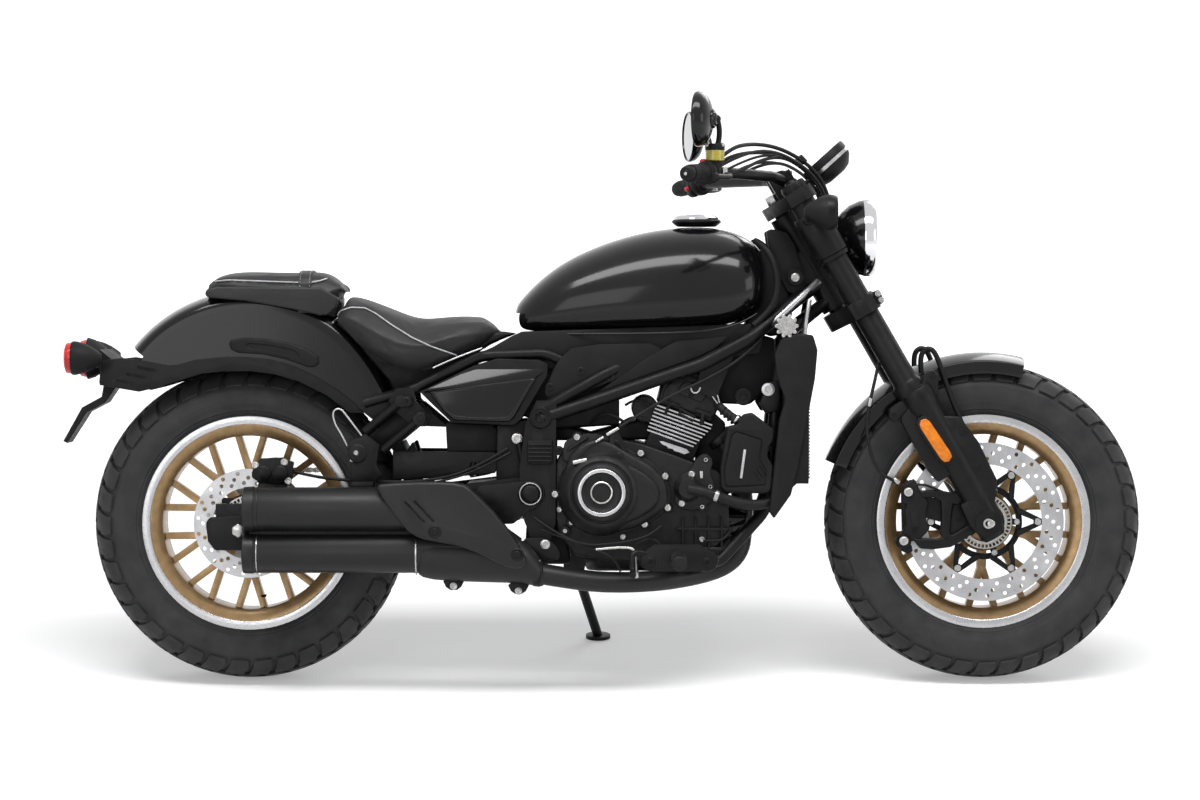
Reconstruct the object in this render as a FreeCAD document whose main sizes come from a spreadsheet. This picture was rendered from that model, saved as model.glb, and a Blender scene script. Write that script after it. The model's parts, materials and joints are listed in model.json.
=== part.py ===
"""Cruiser motorcycle, parked on its side stand, as separate pieces in millimetres.

Every piece is drawn on the upright motorcycle: x forward from the rear axle, y to the left,
z up from the ground. One placement then leans the whole motorcycle to the left on its stand.
"""
import FreeCAD, Part
import math
import os
import Sketcher
from FreeCAD import Placement, Rotation, Vector

os.makedirs("parts", exist_ok=True)
doc = FreeCAD.newDocument("CruiserMotorcycle")
sheet = doc.addObject("Spreadsheet::Sheet", "Sizes")
sub_parts = []


# Sizes and their formulas
class Size(float):
    """A number from the sheet, or one worked out from others, that remembers its formula."""

    def __new__(cls, value, formula=None):
        size = float.__new__(cls, value)
        size.formula = formula or repr(float(value))
        return size

    def __add__(self, other):
        return Size(float(self) + float(other), f"({self.formula} + {formula_of(other)})")

    def __radd__(self, other):
        return Size(float(other) + float(self), f"({formula_of(other)} + {self.formula})")

    def __sub__(self, other):
        return Size(float(self) - float(other), f"({self.formula} - {formula_of(other)})")

    def __rsub__(self, other):
        return Size(float(other) - float(self), f"({formula_of(other)} - {self.formula})")

    def __mul__(self, other):
        return Size(float(self) * float(other), f"({self.formula} * {formula_of(other)})")

    __rmul__ = __mul__

    def __truediv__(self, other):
        return Size(float(self) / float(other), f"({self.formula} / {formula_of(other)})")

    def __neg__(self):
        return Size(-float(self), f"(0 - {self.formula})")


def formula_of(number):
    return number.formula if isinstance(number, Size) else f"({float(number)!r})"


def cell(alias, value):
    """Write one driving dimension into the sheet and return it."""
    row = len(sheet_rows) + 1
    sheet_rows.append(alias)
    sheet.set(f"A{row}", alias)
    sheet.set(f"B{row}", str(value))
    sheet.setAlias(f"B{row}", alias)
    return Size(value, f"Sizes.{alias}")


def bind(item, name, size):
    """Give a property its value, and its formula where it comes from the sheet."""
    if isinstance(size, Size) and "Sizes." in size.formula:
        item.setExpression(name, size.formula)
    else:
        setattr(item, name, float(size))


def cosine(angle):
    return Size(math.cos(math.radians(angle)), f"cos({formula_of(angle)})")


sheet_rows = []

# Wheels and steering geometry
wheel_base = cell("wheel_base", 1485)
front_wheel_radius = cell("front_wheel_radius", 320)
front_tyre_width = cell("front_tyre_width", 130)
front_crown_rise = cell("front_crown_rise", 44)
front_rim_width = cell("front_rim_width", 98)
rear_wheel_radius = cell("rear_wheel_radius", 317)
rear_tyre_width = cell("rear_tyre_width", 150)
rear_crown_rise = cell("rear_crown_rise", 50)
rear_rim_width = cell("rear_rim_width", 118)
bead_radius = cell("bead_radius", 203)
rim_lip_height = cell("rim_lip_height", 11)
rim_lip_thickness = cell("rim_lip_thickness", 5)
rim_well_radius = cell("rim_well_radius", 176)
spoke_pairs = cell("spoke_pairs", 10)
spoke_meeting_radius = cell("spoke_meeting_radius", 106)
hub_radius = cell("hub_radius", 46)
front_hub_width = cell("front_hub_width", 116)
rear_hub_width = cell("rear_hub_width", 130)
axle_radius = cell("axle_radius", 10)
axle_bore = cell("axle_bore", 6)
running_gap = cell("running_gap", 0.5)
seat_gap = cell("seat_gap", 0.3)
front_disc_radius = cell("front_disc_radius", 160)
front_disc_inner = cell("front_disc_inner", 125)
rear_disc_radius = cell("rear_disc_radius", 110)
rear_disc_inner = cell("rear_disc_inner", 72)
disc_thickness = cell("disc_thickness", 5)
carrier_thickness = cell("carrier_thickness", 5)
rake = cell("rake", 30)
leg_offset = cell("leg_offset", 105)
clamp_offset = cell("clamp_offset", 40)
lean = cell("lean", 10.5)

# Fork and what stands on it, measured up the fork from the front axle
outer_tube_radius = cell("outer_tube_radius", 26)
stanchion_radius = cell("stanchion_radius", 20.5)
lower_radius = cell("lower_radius", 27)
outer_tube_foot = cell("outer_tube_foot", 300)
outer_tube_top = cell("outer_tube_top", 778)
lower_top = cell("lower_top", 62)
lower_foot = cell("lower_foot", 34)
lower_clamp_height = cell("lower_clamp_height", 500)
top_clamp_height = cell("top_clamp_height", 755)
clamp_thickness = cell("clamp_thickness", 34)
stem_radius = cell("stem_radius", 17)
head_tube_radius = cell("head_tube_radius", 29)
sleeve_radius = cell("sleeve_radius", 32)
bar_radius = cell("bar_radius", 11)
grip_radius = cell("grip_radius", 17)
bar_reach = cell("bar_reach", 405)
bar_rise = cell("bar_rise", 32)
grip_length = cell("grip_length", 81)
housing_length = cell("housing_length", 24)

# Tubes of the frame
main_tube_radius = cell("main_tube_radius", 14)
light_tube_radius = cell("light_tube_radius", 12)
seat_rail_radius = cell("seat_rail_radius", 11)
frame_half_width = cell("frame_half_width", 125)
pivot_x = cell("pivot_x", 570)
pivot_z = cell("pivot_z", 384)
swingarm_offset = cell("swingarm_offset", 102)
swingarm_width = cell("swingarm_width", 19)
pivot_bolt_radius = cell("pivot_bolt_radius", 9)
cross_tube_x = cell("cross_tube_x", 600)
cross_tube_z = cell("cross_tube_z", 482)
shock_top_x = cell("shock_top_x", 425)
shock_top_z = cell("shock_top_z", 633)
eye_radius = cell("eye_radius", 13)
spring_radius = cell("spring_radius", 26)
mudguard_radius = cell("mudguard_radius", 356)
mudguard_half_width = cell("mudguard_half_width", 72)
sprocket_radius = cell("sprocket_radius", 105)
front_sprocket_radius = cell("front_sprocket_radius", 38)
front_sprocket_x = cell("front_sprocket_x", 676)
chain_height = cell("chain_height", 13)
chain_width = cell("chain_width", 12)
chain_offset = cell("chain_offset", 86)
sprocket_thickness = cell("sprocket_thickness", 4)

# Bodywork
tank_half_width = cell("tank_half_width", 142)
seat_half_width = cell("seat_half_width", 148)
pillion_half_width = cell("pillion_half_width", 108)
fender_half_width = cell("fender_half_width", 96)
fender_wall = cell("fender_wall", 3)
rear_fender_radius = cell("rear_fender_radius", 305)
front_fender_radius = cell("front_fender_radius", 342)
front_fender_half_width = cell("front_fender_half_width", 74)
cover_offset = cell("cover_offset", 142)
cover_thickness = cell("cover_thickness", 16)
fender_centre_x = cell("fender_centre_x", 1.4)
fender_centre_z = cell("fender_centre_z", 484)
tank_low = cell("tank_low", 702)
tank_tunnel = cell("tank_tunnel", 62)
cap_seat_z = cell("cap_seat_z", 923.5)
tail_half_width = cell("tail_half_width", 60)

# Engine, cooling and exhaust
crankcase_half_width = cell("crankcase_half_width", 128)
clutch_cover_reach = cell("clutch_cover_reach", 190)
generator_cover_reach = cell("generator_cover_reach", 178)
cylinder_half_width = cell("cylinder_half_width", 105)
fin_pitch = cell("fin_pitch", 11)
radiator_half_width = cell("radiator_half_width", 140)
shroud_thickness = cell("shroud_thickness", 12)
engine_back = cell("engine_back", 620)
header_radius = cell("header_radius", 20)
muffler_radius = cell("muffler_radius", 46)
muffler_offset = cell("muffler_offset", 182)
stand_pivot_x = cell("stand_pivot_x", 655)
stand_pivot_y = cell("stand_pivot_y", 165)
stand_pivot_z = cell("stand_pivot_z", 222)
stand_leg_radius = cell("stand_leg_radius", 10)


# How the motorcycle stands
def crown_radius(width, rise):
    """Radius of a tyre's crown from its width and how far the crown rises over its shoulders."""
    return width * width / (8 * rise) + rise / 2


front_crown = crown_radius(front_tyre_width, front_crown_rise)
rear_crown = crown_radius(rear_tyre_width, rear_crown_rise)
parked_lift = front_crown * (1 - cosine(lean))
front_axle_z = front_wheel_radius
rear_axle_z = rear_wheel_radius - rear_crown + (rear_crown - parked_lift) / cosine(lean)
origin_x = cell("origin_x", 713.5)
origin_y = cell("origin_y", 172.5)
parked = Placement(Vector(-float(origin_x), -float(origin_y), float(parked_lift)),
                   Rotation(Vector(1, 0, 0), -float(lean)))
fork_frame = Placement(Vector(float(wheel_base), 0, float(front_axle_z)),
                       Rotation(Vector(0, 1, 0), -float(rake)))
upright = Placement()


def at(x, y, z):
    return Placement(Vector(float(x), float(y), float(z)), Rotation())


# Ways of making a piece
def new_body(label, frame=upright):
    """A sub-part's own body, leaned with the motorcycle."""
    body = member(label, frame)
    body.Placement = parked * frame
    return body


def member(name, frame=upright):
    """A body that will be joined to others in one sub-part."""
    body = doc.addObject("PartDesign::Body", name)
    body.Placement = frame
    return body


def sub_part(item, label=None):
    """Keep an object as a finished sub-part under its own label."""
    if label:
        item.Label = label
    sub_parts.append(item)
    return item


def sketch_on(body, role, height=0.0):
    """A sketch on an origin plane of its body, moved along the third axis to height."""
    plane = [feature for feature in body.Origin.OriginFeatures if feature.Role == role][0]
    sketch = body.newObject("Sketcher::SketchObject", "Outline")
    sketch.AttachmentSupport = [(plane, "")]
    sketch.MapMode = "FlatFace"
    away = -height if role == "XZ_Plane" else height
    if isinstance(away, Size):
        sketch.setExpression("AttachmentOffset.Base.z", away.formula)
    sketch.AttachmentOffset = at(0, 0, away)
    return sketch


def draw(sketch, corners):
    """Closed outline through corners (across, up) or (across, up, bow): the edge that leaves a
    corner bows outwards by bow, with the outline drawn anticlockwise."""
    count = len(corners)
    points = [Vector(float(corner[0]), float(corner[1]), 0) for corner in corners]
    first = sketch.GeometryCount
    edges = []
    for index, corner in enumerate(corners):
        start = points[index]
        end = points[(index + 1) % count]
        bow = float(corner[2]) if len(corner) > 2 else 0.0
        if bow == 0.0:
            edges.append(Part.LineSegment(start, end))
        else:
            edges.append(bowed_edge(start, end, bow))
    sketch.addGeometry(edges)
    starts = [end_number(sketch.Geometry[first + index], points[index]) for index in range(count)]
    limits = []
    for index in range(count):
        following = (index + 1) % count
        limits.append(Sketcher.Constraint("Coincident", first + index, 3 - starts[index],
                                          first + following, starts[following]))
    sketch.addConstraint(limits)
    for index, corner in enumerate(corners):
        for kind, value in (("DistanceX", corner[0]), ("DistanceY", corner[1])):
            place = sketch.addConstraint(Sketcher.Constraint(kind, -1, 1, first + index, starts[index],
                                                             float(value)))
            tie(sketch, place, value)
        if len(corner) > 2 and float(corner[2]) != 0.0:
            after = corners[(index + 1) % count]
            run = after[0] - corner[0]
            climb = after[1] - corner[1]
            bow = corner[2]
            if float(bow) < 0:
                bow = -1 * bow
            radius = (run * run + climb * climb) / (8 * bow) + bow / 2
            place = sketch.addConstraint(Sketcher.Constraint("Radius", first + index, float(radius)))
            tie(sketch, place, radius)
    return sketch


def bowed_edge(start, end, bow):
    """Arc from start to end that bows to the right of its way by bow, or to the left if negative."""
    chord = start.distanceToPoint(end)
    rise = abs(bow)
    radius = chord * chord / (8 * rise) + rise / 2
    outwards = Vector(end.y - start.y, start.x - end.x, 0).normalize() * math.copysign(1, bow)
    centre = (start + end) / 2 - outwards * (radius - rise)
    first, last = (start, end) if bow > 0 else (end, start)
    turn_from = math.atan2(first.y - centre.y, first.x - centre.x)
    turn_to = math.atan2(last.y - centre.y, last.x - centre.x)
    return Part.ArcOfCircle(Part.Circle(centre, Vector(0, 0, 1), radius), turn_from, turn_to)


def end_number(edge, point):
    """Which end of a sketch edge, 1 or 2, lies at the point."""
    return 1 if edge.StartPoint.distanceToPoint(point) < edge.EndPoint.distanceToPoint(point) else 2


def tie(sketch, place, value):
    if isinstance(value, Size) and "Sizes." in value.formula:
        sketch.setExpression(f"Constraints[{place}]", value.formula)


def circle(sketch, across, up, radius):
    """A round outline, held by its centre and radius."""
    geometry = sketch.addGeometry(Part.Circle(Vector(float(across), float(up), 0), Vector(0, 0, 1),
                                              float(radius)))
    for kind, value in (("DistanceX", across), ("DistanceY", up)):
        place = sketch.addConstraint(Sketcher.Constraint(kind, -1, 1, geometry, 3, float(value)))
        tie(sketch, place, value)
    place = sketch.addConstraint(Sketcher.Constraint("Radius", geometry, float(radius)))
    tie(sketch, place, radius)
    return sketch


def slab(body, role, corners, low, high):
    """Outline on an origin plane, made solid from low to high along the third axis."""
    start = high if role == "XZ_Plane" else low
    pad = body.newObject("PartDesign::Pad", "Slab")
    pad.Profile = draw(sketch_on(body, role, start), corners)
    bind(pad, "Length", high - low)
    return pad


def disc(body, role, across, up, radius, low, high):
    """Round bar across an origin plane, from low to high."""
    start = high if role == "XZ_Plane" else low
    pad = body.newObject("PartDesign::Pad", "Disc")
    pad.Profile = circle(sketch_on(body, role, start), across, up, radius)
    bind(pad, "Length", high - low)
    return pad


def hole(body, role, across, up, radius, low, high):
    """Round hole across an origin plane, from low to high."""
    start = low if role == "XZ_Plane" else high
    pocket = body.newObject("PartDesign::Pocket", "Bore")
    pocket.Profile = circle(sketch_on(body, role, start), across, up, radius)
    bind(pocket, "Length", high - low)
    return pocket


def cut_out(body, role, corners, low, high):
    """Outline cut through the piece from low to high."""
    start = low if role == "XZ_Plane" else high
    pocket = body.newObject("PartDesign::Pocket", "CutOut")
    pocket.Profile = draw(sketch_on(body, role, start), corners)
    bind(pocket, "Length", high - low)
    return pocket


def turned(body, role, corners, axis, angle=360.0):
    """Outline turned about one of its sketch axes."""
    sketch = draw(sketch_on(body, role), corners)
    turn = body.newObject("PartDesign::Revolution", "Turned")
    turn.Profile = sketch
    turn.ReferenceAxis = (sketch, [axis])
    turn.Angle = angle
    return turn


def loft(body, role, stations):
    """Smooth solid through outlines at given heights along the third axis."""
    sketches = [draw(sketch_on(body, role, height), corners) for height, corners in stations]
    solid = body.newObject("PartDesign::AdditiveLoft", "Loft")
    solid.Profile = sketches[0]
    solid.Sections = sketches[1:]
    return solid


def bent_wire(points, bend):
    """Straight runs through points, with each corner rounded by a tangent arc."""
    corners = [Vector(*[float(number) for number in point]) for point in points]
    edges = []
    start = corners[0]
    for before, corner, after in zip(corners, corners[1:], corners[2:]):
        back = (before - corner).normalize()
        onward = (after - corner).normalize()
        half_turn = (math.pi - back.getAngle(onward)) / 2
        room = 0.45 * min(before.distanceToPoint(corner), after.distanceToPoint(corner))
        reach = min(room, bend * math.tan(half_turn))
        entry = corner + back * reach
        leave = corner + onward * reach
        radius = reach / math.tan(half_turn)
        middle = (back + onward).normalize()
        centre = corner + middle * (radius / math.cos(half_turn))
        edges.append(Part.LineSegment(start, entry).toShape())
        edges.append(Part.Arc(entry, centre - middle * radius, leave).toShape())
        start = leave
    edges.append(Part.LineSegment(start, corners[-1]).toShape())
    return Part.Wire(edges)


def tube(name, points, radius, bend=60.0):
    """Round tube that follows points, swept as a solid."""
    path = doc.addObject("Part::Feature", name + "Path")
    path.Shape = bent_wire(points, bend)
    ring = doc.addObject("Part::Circle", name + "Ring")
    bind(ring, "Radius", radius)
    start = Vector(*[float(number) for number in points[0]])
    onward = Vector(*[float(number) for number in points[1]]) - start
    ring.Placement = Placement(start, Rotation(Vector(0, 0, 1), onward))
    swept = doc.addObject("Part::Sweep", name)
    swept.Sections = [ring]
    swept.Spine = (path, [])
    swept.Solid = True
    swept.Frenet = False
    return swept


def bar(name, start, end, radius):
    """Straight round bar from start to end."""
    first = Vector(*[float(number) for number in start])
    last = Vector(*[float(number) for number in end])
    rod = doc.addObject("Part::Cylinder", name)
    bind(rod, "Radius", radius)
    rod.Height = first.distanceToPoint(last)
    rod.Placement = Placement(first, Rotation(Vector(0, 0, 1), last - first))
    return rod


def joined(label, pieces, frame=upright):
    """Pieces joined into one sub-part."""
    whole = doc.addObject("Part::MultiFuse", label)
    whole.Shapes = pieces
    whole.Refine = True
    whole.Placement = parked * frame
    return sub_part(whole, label)


def cut_from(name, base, tool):
    """What is left of base once tool is taken away."""
    rest = doc.addObject("Part::Cut", name)
    rest.Base = base
    rest.Tool = tool
    return rest


def tyre(label, axle, radius, width, rise, rim_width):
    """Hollow tyre turned about the axle, with a round crown and bowed sidewalls."""
    body = new_body(label, axle)
    bead = rim_width / 2 - rim_lip_thickness
    shoulder = radius - rise
    lip = bead_radius + rim_lip_height + seat_gap
    outline = [
        (-1 * bead, bead_radius), (bead, bead_radius), (bead, lip, 4), (width / 2, shoulder, rise),
        (-1 * width / 2, shoulder, 4), (-1 * bead, lip),
    ]
    turned(body, "YZ_Plane", outline, "H_Axis")
    return sub_part(body)


def cast_wheel(label, axle, rim_width, hub_width):
    """Rim, spokes in pairs that meet near the hub, and hub, cast in one piece."""
    body = new_body(label, axle)
    edge = rim_width / 2
    lip = edge - rim_lip_thickness
    lip_radius = bead_radius + rim_lip_height
    well = edge - 12
    rim = [
        (-1 * edge, lip_radius - 17), (-1 * well, rim_well_radius), (well, rim_well_radius),
        (edge, lip_radius - 17), (edge, lip_radius), (lip, lip_radius), (lip, bead_radius),
        (-1 * lip, bead_radius), (-1 * lip, lip_radius), (-1 * edge, lip_radius),
    ]
    turned(body, "YZ_Plane", rim, "H_Axis")
    half_hub = hub_width / 2
    bore = axle_radius + running_gap
    barrel = [
        (-1 * half_hub, bore), (half_hub, bore), (half_hub, hub_radius), (half_hub - 16, hub_radius + 14),
        (half_hub - 24, hub_radius + 14), (half_hub - 34, hub_radius - 8),
        (34 - half_hub, hub_radius - 8),
        (24 - half_hub, hub_radius + 14), (16 - half_hub, hub_radius + 14), (-1 * half_hub, hub_radius),
    ]
    turned(body, "YZ_Plane", barrel, "H_Axis")
    spread = 9
    outer = rim_well_radius + 6
    inner = hub_radius - 14
    half_foot = 10
    half_tip = 7
    meeting = spoke_meeting_radius
    arms = [
        (-1 * half_foot, inner), (half_foot, inner), (9, meeting - 10),
        (outer * math.sin(math.radians(spread)) + half_tip, outer),
        (outer * math.sin(math.radians(spread)) - half_tip, outer), (0, meeting + 8),
        (half_tip - outer * math.sin(math.radians(spread)), outer),
        (-half_tip - outer * math.sin(math.radians(spread)), outer), (-9, meeting - 10),
    ]
    spoke = slab(body, "XZ_Plane", arms, -13.0, 13.0)
    around = body.newObject("PartDesign::PolarPattern", "Spokes")
    around.Originals = [spoke]
    around.Axis = (spoke.Profile[0], ["N_Axis"])
    around.Angle = 360
    bind(around, "Occurrences", spoke_pairs)
    body.Tip = around
    return sub_part(body)


def brake_disc(label, axle, outer_radius, inner_radius, outer_face, hub_face, arms):
    """Brake ring on a star-shaped carrier that is bolted to the hub."""
    body = new_body(label, axle)
    ring_inside = outer_face + disc_thickness
    sketch = sketch_on(body, "XZ_Plane", ring_inside)
    circle(sketch, 0.0, 0.0, outer_radius)
    circle(sketch, 0.0, 0.0, inner_radius)
    ring = body.newObject("PartDesign::Pad", "Ring")
    ring.Profile = sketch
    bind(ring, "Length", disc_thickness)
    sketch = sketch_on(body, "XZ_Plane", hub_face)
    circle(sketch, 0.0, 0.0, hub_radius + 10)
    circle(sketch, 0.0, 0.0, hub_radius - 18)
    plate = body.newObject("PartDesign::Pad", "Carrier")
    plate.Profile = sketch
    bind(plate, "Length", hub_face - outer_face)
    arm_outline = [(-7, hub_radius + 2), (7, hub_radius + 2), (9, inner_radius + 5),
                   (-9, inner_radius + 5)]
    arm = slab(body, "XZ_Plane", arm_outline, outer_face, hub_face)
    around = body.newObject("PartDesign::PolarPattern", "Arms")
    around.Originals = [arm]
    around.Axis = (arm.Profile[0], ["N_Axis"])
    around.Angle = 360
    around.Occurrences = arms
    body.Tip = around
    return sub_part(body)


def sprocket():
    """Toothed ring on a carrier at the rear wheel's left."""
    body = new_body("rear_sprocket", rear_axle)
    face = chain_offset - 2.5
    disc(body, "XZ_Plane", 0.0, 0.0, sprocket_radius, face, face + sprocket_thickness)
    disc(body, "XZ_Plane", 0.0, 0.0, hub_radius + 10, rear_hub_width / 2, face)
    hole(body, "XZ_Plane", 0.0, 0.0, axle_radius + 12, rear_hub_width / 2, face + sprocket_thickness)
    window = hole(body, "XZ_Plane", 0.0, hub_radius + 33, 15.0, face, face + sprocket_thickness)
    around = body.newObject("PartDesign::PolarPattern", "Windows")
    around.Originals = [window]
    around.Axis = (window.Profile[0], ["N_Axis"])
    around.Angle = 360
    around.Occurrences = 8
    body.Tip = around
    return sub_part(body)


def belt_outline(rear_radius, front_radius):
    """Outline of a closed loop drawn tight round both sprockets, on the motorcycle's side view."""
    run = float(front_sprocket_x)
    climb = float(pivot_z) - float(rear_axle_z)
    tilt = math.atan2(climb, run)
    wrap = math.acos((float(rear_radius) - float(front_radius)) / math.hypot(run, climb))
    corners = []
    for across, up, radius, turn, bow in (
            (run, float(pivot_z), front_radius, tilt - wrap, front_radius * (1 - math.cos(wrap))),
            (run, float(pivot_z), front_radius, tilt + wrap, 0.0),
            (0.0, float(rear_axle_z), rear_radius, tilt + wrap, rear_radius * (1 + math.cos(wrap))),
            (0.0, float(rear_axle_z), rear_radius, tilt - wrap, 0.0)):
        corners.append((across + float(radius) * math.cos(turn), up + float(radius) * math.sin(turn),
                        float(bow)))
    return corners


def drive_chain():
    """Chain around both sprockets, as one plain loop."""
    body = new_body("drive_chain")
    low = chain_offset - chain_width / 2
    high = chain_offset + chain_width / 2
    slab(body, "XZ_Plane", belt_outline(sprocket_radius + 1 + chain_height,
                                        front_sprocket_radius + 1 + chain_height),
         low, high)
    cut_out(body, "XZ_Plane", belt_outline(sprocket_radius + 1, front_sprocket_radius + 1), low, high)
    return sub_part(body)


def rear_caliper():
    """Brake caliper astride the rear disc, on a bracket that stands on the swingarm."""
    body = new_body("rear_caliper")
    slab(body, "XZ_Plane", [(19, 400), (80, 392), (92, 440), (70, 450), (24, 448)], rear_disc_face - 16,
         rear_disc_face + 17)
    cut_out(body, "XZ_Plane", [(0, 380), (100, 380), (100, 436), (0, 436)], rear_disc_face - 5,
            rear_disc_face + disc_thickness + 5)
    slab(body, "XZ_Plane", [(14, arm_top(14) + seat_gap + 0.02), (56, arm_top(56) + seat_gap + 0.02),
                            (80, 396),
                            (24, 404)], rear_disc_face - 26, rear_disc_face - 6)
    return sub_part(body)


front_axle = at(wheel_base, 0, front_axle_z)
rear_axle = at(0, 0, rear_axle_z)
front_disc_face = -1 * (front_hub_width / 2 + carrier_thickness + disc_thickness)
rear_disc_face = -1 * (rear_hub_width / 2 + carrier_thickness + disc_thickness)
tyre("front_tyre", front_axle, front_wheel_radius, front_tyre_width, front_crown_rise, front_rim_width)
tyre("rear_tyre", rear_axle, rear_wheel_radius, rear_tyre_width, rear_crown_rise, rear_rim_width)
cast_wheel("front_rim", front_axle, front_rim_width, front_hub_width)
cast_wheel("rear_rim", rear_axle, rear_rim_width, rear_hub_width)
brake_disc("front_disc", front_axle, front_disc_radius, front_disc_inner, front_disc_face,
           -1 * front_hub_width / 2, 6)
brake_disc("rear_disc", rear_axle, rear_disc_radius, rear_disc_inner, rear_disc_face,
           -1 * rear_hub_width / 2, 5)
sprocket()
drive_chain()


# Fork, bars and lamps
def sided(y):
    """The two sides as (name, offset): right is on the negative side."""
    return (("Right", -1 * y), ("Left", y))


def from_fork(forward, up):
    """Point given ahead of the legs and up the fork, as (x, z) on the motorcycle."""
    lean_back = math.radians(float(rake))
    return (float(wheel_base) + forward * math.cos(lean_back) - float(up) * math.sin(lean_back),
            float(front_axle_z) + forward * math.sin(lean_back) + float(up) * math.cos(lean_back))


def span(side, near, far):
    """Low and high y of a piece that lies between two distances from the middle."""
    return (near, far) if side > 0 else (-1 * far, -1 * near)


def level():
    """Placement inside the fork's frame that stands upright again, with its origin on the axle."""
    return Placement(Vector(), Rotation(Vector(0, 1, 0), float(rake)))


def fork_clamps():
    """Two plates that hold the legs, joined by the steering stem, and sleeves that carry the lamp."""
    plates = []
    for name, height, thick in (("LowerPlate", lower_clamp_height, clamp_thickness),
                                ("TopPlate", top_clamp_height, clamp_thickness - 8)):
        body = member(name)
        wide = leg_offset + 36
        slab(body, "XY_Plane", [
            (-1 * clamp_offset - 32, -30), (-26, -1 * wide + 8), (10, -1 * wide, 6),
            (34, -1 * leg_offset),
            (30, -1 * leg_offset + 36), (6, -34), (6, 34), (30, leg_offset - 36), (34, leg_offset, 6),
            (10, wide), (-26, wide - 8), (-1 * clamp_offset - 32, 30),
        ], height - thick / 2, height + thick / 2)
        for side, y in sided(leg_offset):
            hole(body, "XY_Plane", 0.0, y, outer_tube_radius, height - thick, height + thick)
        plates.append(body)
    stem = doc.addObject("Part::Cylinder", "Stem")
    bind(stem, "Radius", stem_radius)
    bind(stem, "Height", top_clamp_height - lower_clamp_height)
    stem.Placement = at(-1 * clamp_offset, 0, lower_clamp_height)
    for name, sign in (("Right", -1), ("Left", 1)):
        sleeve = doc.addObject("Part::Cylinder", "Sleeve" + name)
        bind(sleeve, "Radius", sleeve_radius)
        bind(sleeve, "Height", sleeve_high - sleeve_low)
        sleeve.Placement = at(0, sign * leg_offset, sleeve_low)
        ear = member("LampEar" + name)
        low, high = span(sign, lamp_radius + seat_gap, lamp_radius + seat_gap + 7)
        slab(ear, "XZ_Plane", [(0, sleeve_low + 4), (lamp_forward - 8, lamp_up - 11),
                               (lamp_forward + 6, lamp_up - 5),
                               (lamp_forward + 6, lamp_up + 8), (10, sleeve_low + 46),
                               (0, sleeve_low + 46)], low, high)
        solid = doc.addObject("Part::MultiFuse", "EarSolid" + name)
        solid.Shapes = [sleeve, ear]
        leg = doc.addObject("Part::Cylinder", "LegRoom" + name)
        bind(leg, "Radius", outer_tube_radius)
        bind(leg, "Height", sleeve_high)
        leg.Placement = at(0, sign * leg_offset, 20)
        plates.append(cut_from("LampHolder" + name, solid, leg))
    return joined("fork_clamps", plates + [stem], fork_frame)


def fork_outer_tubes():
    """Upper tubes of the fork, each with a thicker ring at its foot."""
    legs = []
    for side, y in sided(leg_offset):
        body = member("OuterTube" + side, at(0, y, 0))
        turned(body, "XZ_Plane", [
            (stanchion_radius, outer_tube_foot), (outer_tube_radius + 4, outer_tube_foot),
            (outer_tube_radius + 4, outer_tube_foot + 22), (outer_tube_radius, outer_tube_foot + 30),
            (outer_tube_radius, outer_tube_top), (outer_tube_radius - 5, outer_tube_top + 6),
            (0, outer_tube_top + 6), (0, outer_tube_top - 40), (stanchion_radius, outer_tube_top - 40),
        ], "V_Axis")
        legs.append(body)
    return joined("fork_outer_tubes", legs, fork_frame)


def stanchions():
    """Polished inner tubes of the fork."""
    legs = []
    for side, y in sided(leg_offset):
        leg = doc.addObject("Part::Cylinder", "Stanchion" + side)
        bind(leg, "Radius", stanchion_radius)
        bind(leg, "Height", outer_tube_foot + 120 - lower_top)
        leg.Placement = at(0, y, lower_top)
        legs.append(leg)
    return joined("stanchions", legs, fork_frame)


def fork_lowers():
    """Cast feet of the fork that clamp the axle, with the caliper's arm and the fender stays' lugs."""
    feet = []
    for side, y in sided(leg_offset):
        body = member("Foot" + side, at(0, y, 0))
        turned(body, "XZ_Plane", [
            (0, -1 * lower_foot), (lower_radius - 6, -1 * lower_foot), (lower_radius, 8 - lower_foot),
            (lower_radius, lower_top - 12), (lower_radius - 4, lower_top), (0, lower_top),
        ], "V_Axis")
        disc(body, "XZ_Plane", 0.0, 0.0, lower_radius - 2, -30.0, 30.0)
        reach = leg_offset - front_hub_width / 2 - 2
        low, high = (0.0, reach) if y < 0 else (-1 * reach, 0.0)
        disc(body, "XZ_Plane", 0.0, 0.0, axle_radius + 6, low, high)
        hole(body, "XZ_Plane", 0.0, 0.0, axle_radius, -90.0, 90.0)
        feet.append(body)
        lug = member("StayLug" + side, level())
        low, high = span(y, stay_offset + stay_radius + seat_gap, leg_offset - 6)
        slab(lug, "XZ_Plane", [(-22, 20), (14, 22), (22, 32), (14, 42), (-26, 42)], low, high)
        feet.append(lug)
    arm = member("CaliperArm", level())
    slab(arm, "XZ_Plane", [(-14, -18), (-14, 30), (-60, 48), (caliper_x + 13 + seat_gap, 50),
                           (caliper_x + 7.6 + seat_gap, 10), (-60, -8)], -1 * leg_offset + 15,
                           -1 * leg_offset + 27)
    return joined("fork_lowers", feet + [arm], fork_frame)


def axle(label, frame, half_length):
    """Hollow axle across a wheel."""
    body = new_body(label, frame)
    disc(body, "XZ_Plane", 0.0, 0.0, axle_radius, -1 * half_length, half_length)
    hole(body, "XZ_Plane", 0.0, 0.0, axle_bore, -1 * half_length, half_length)
    return sub_part(body)


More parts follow.
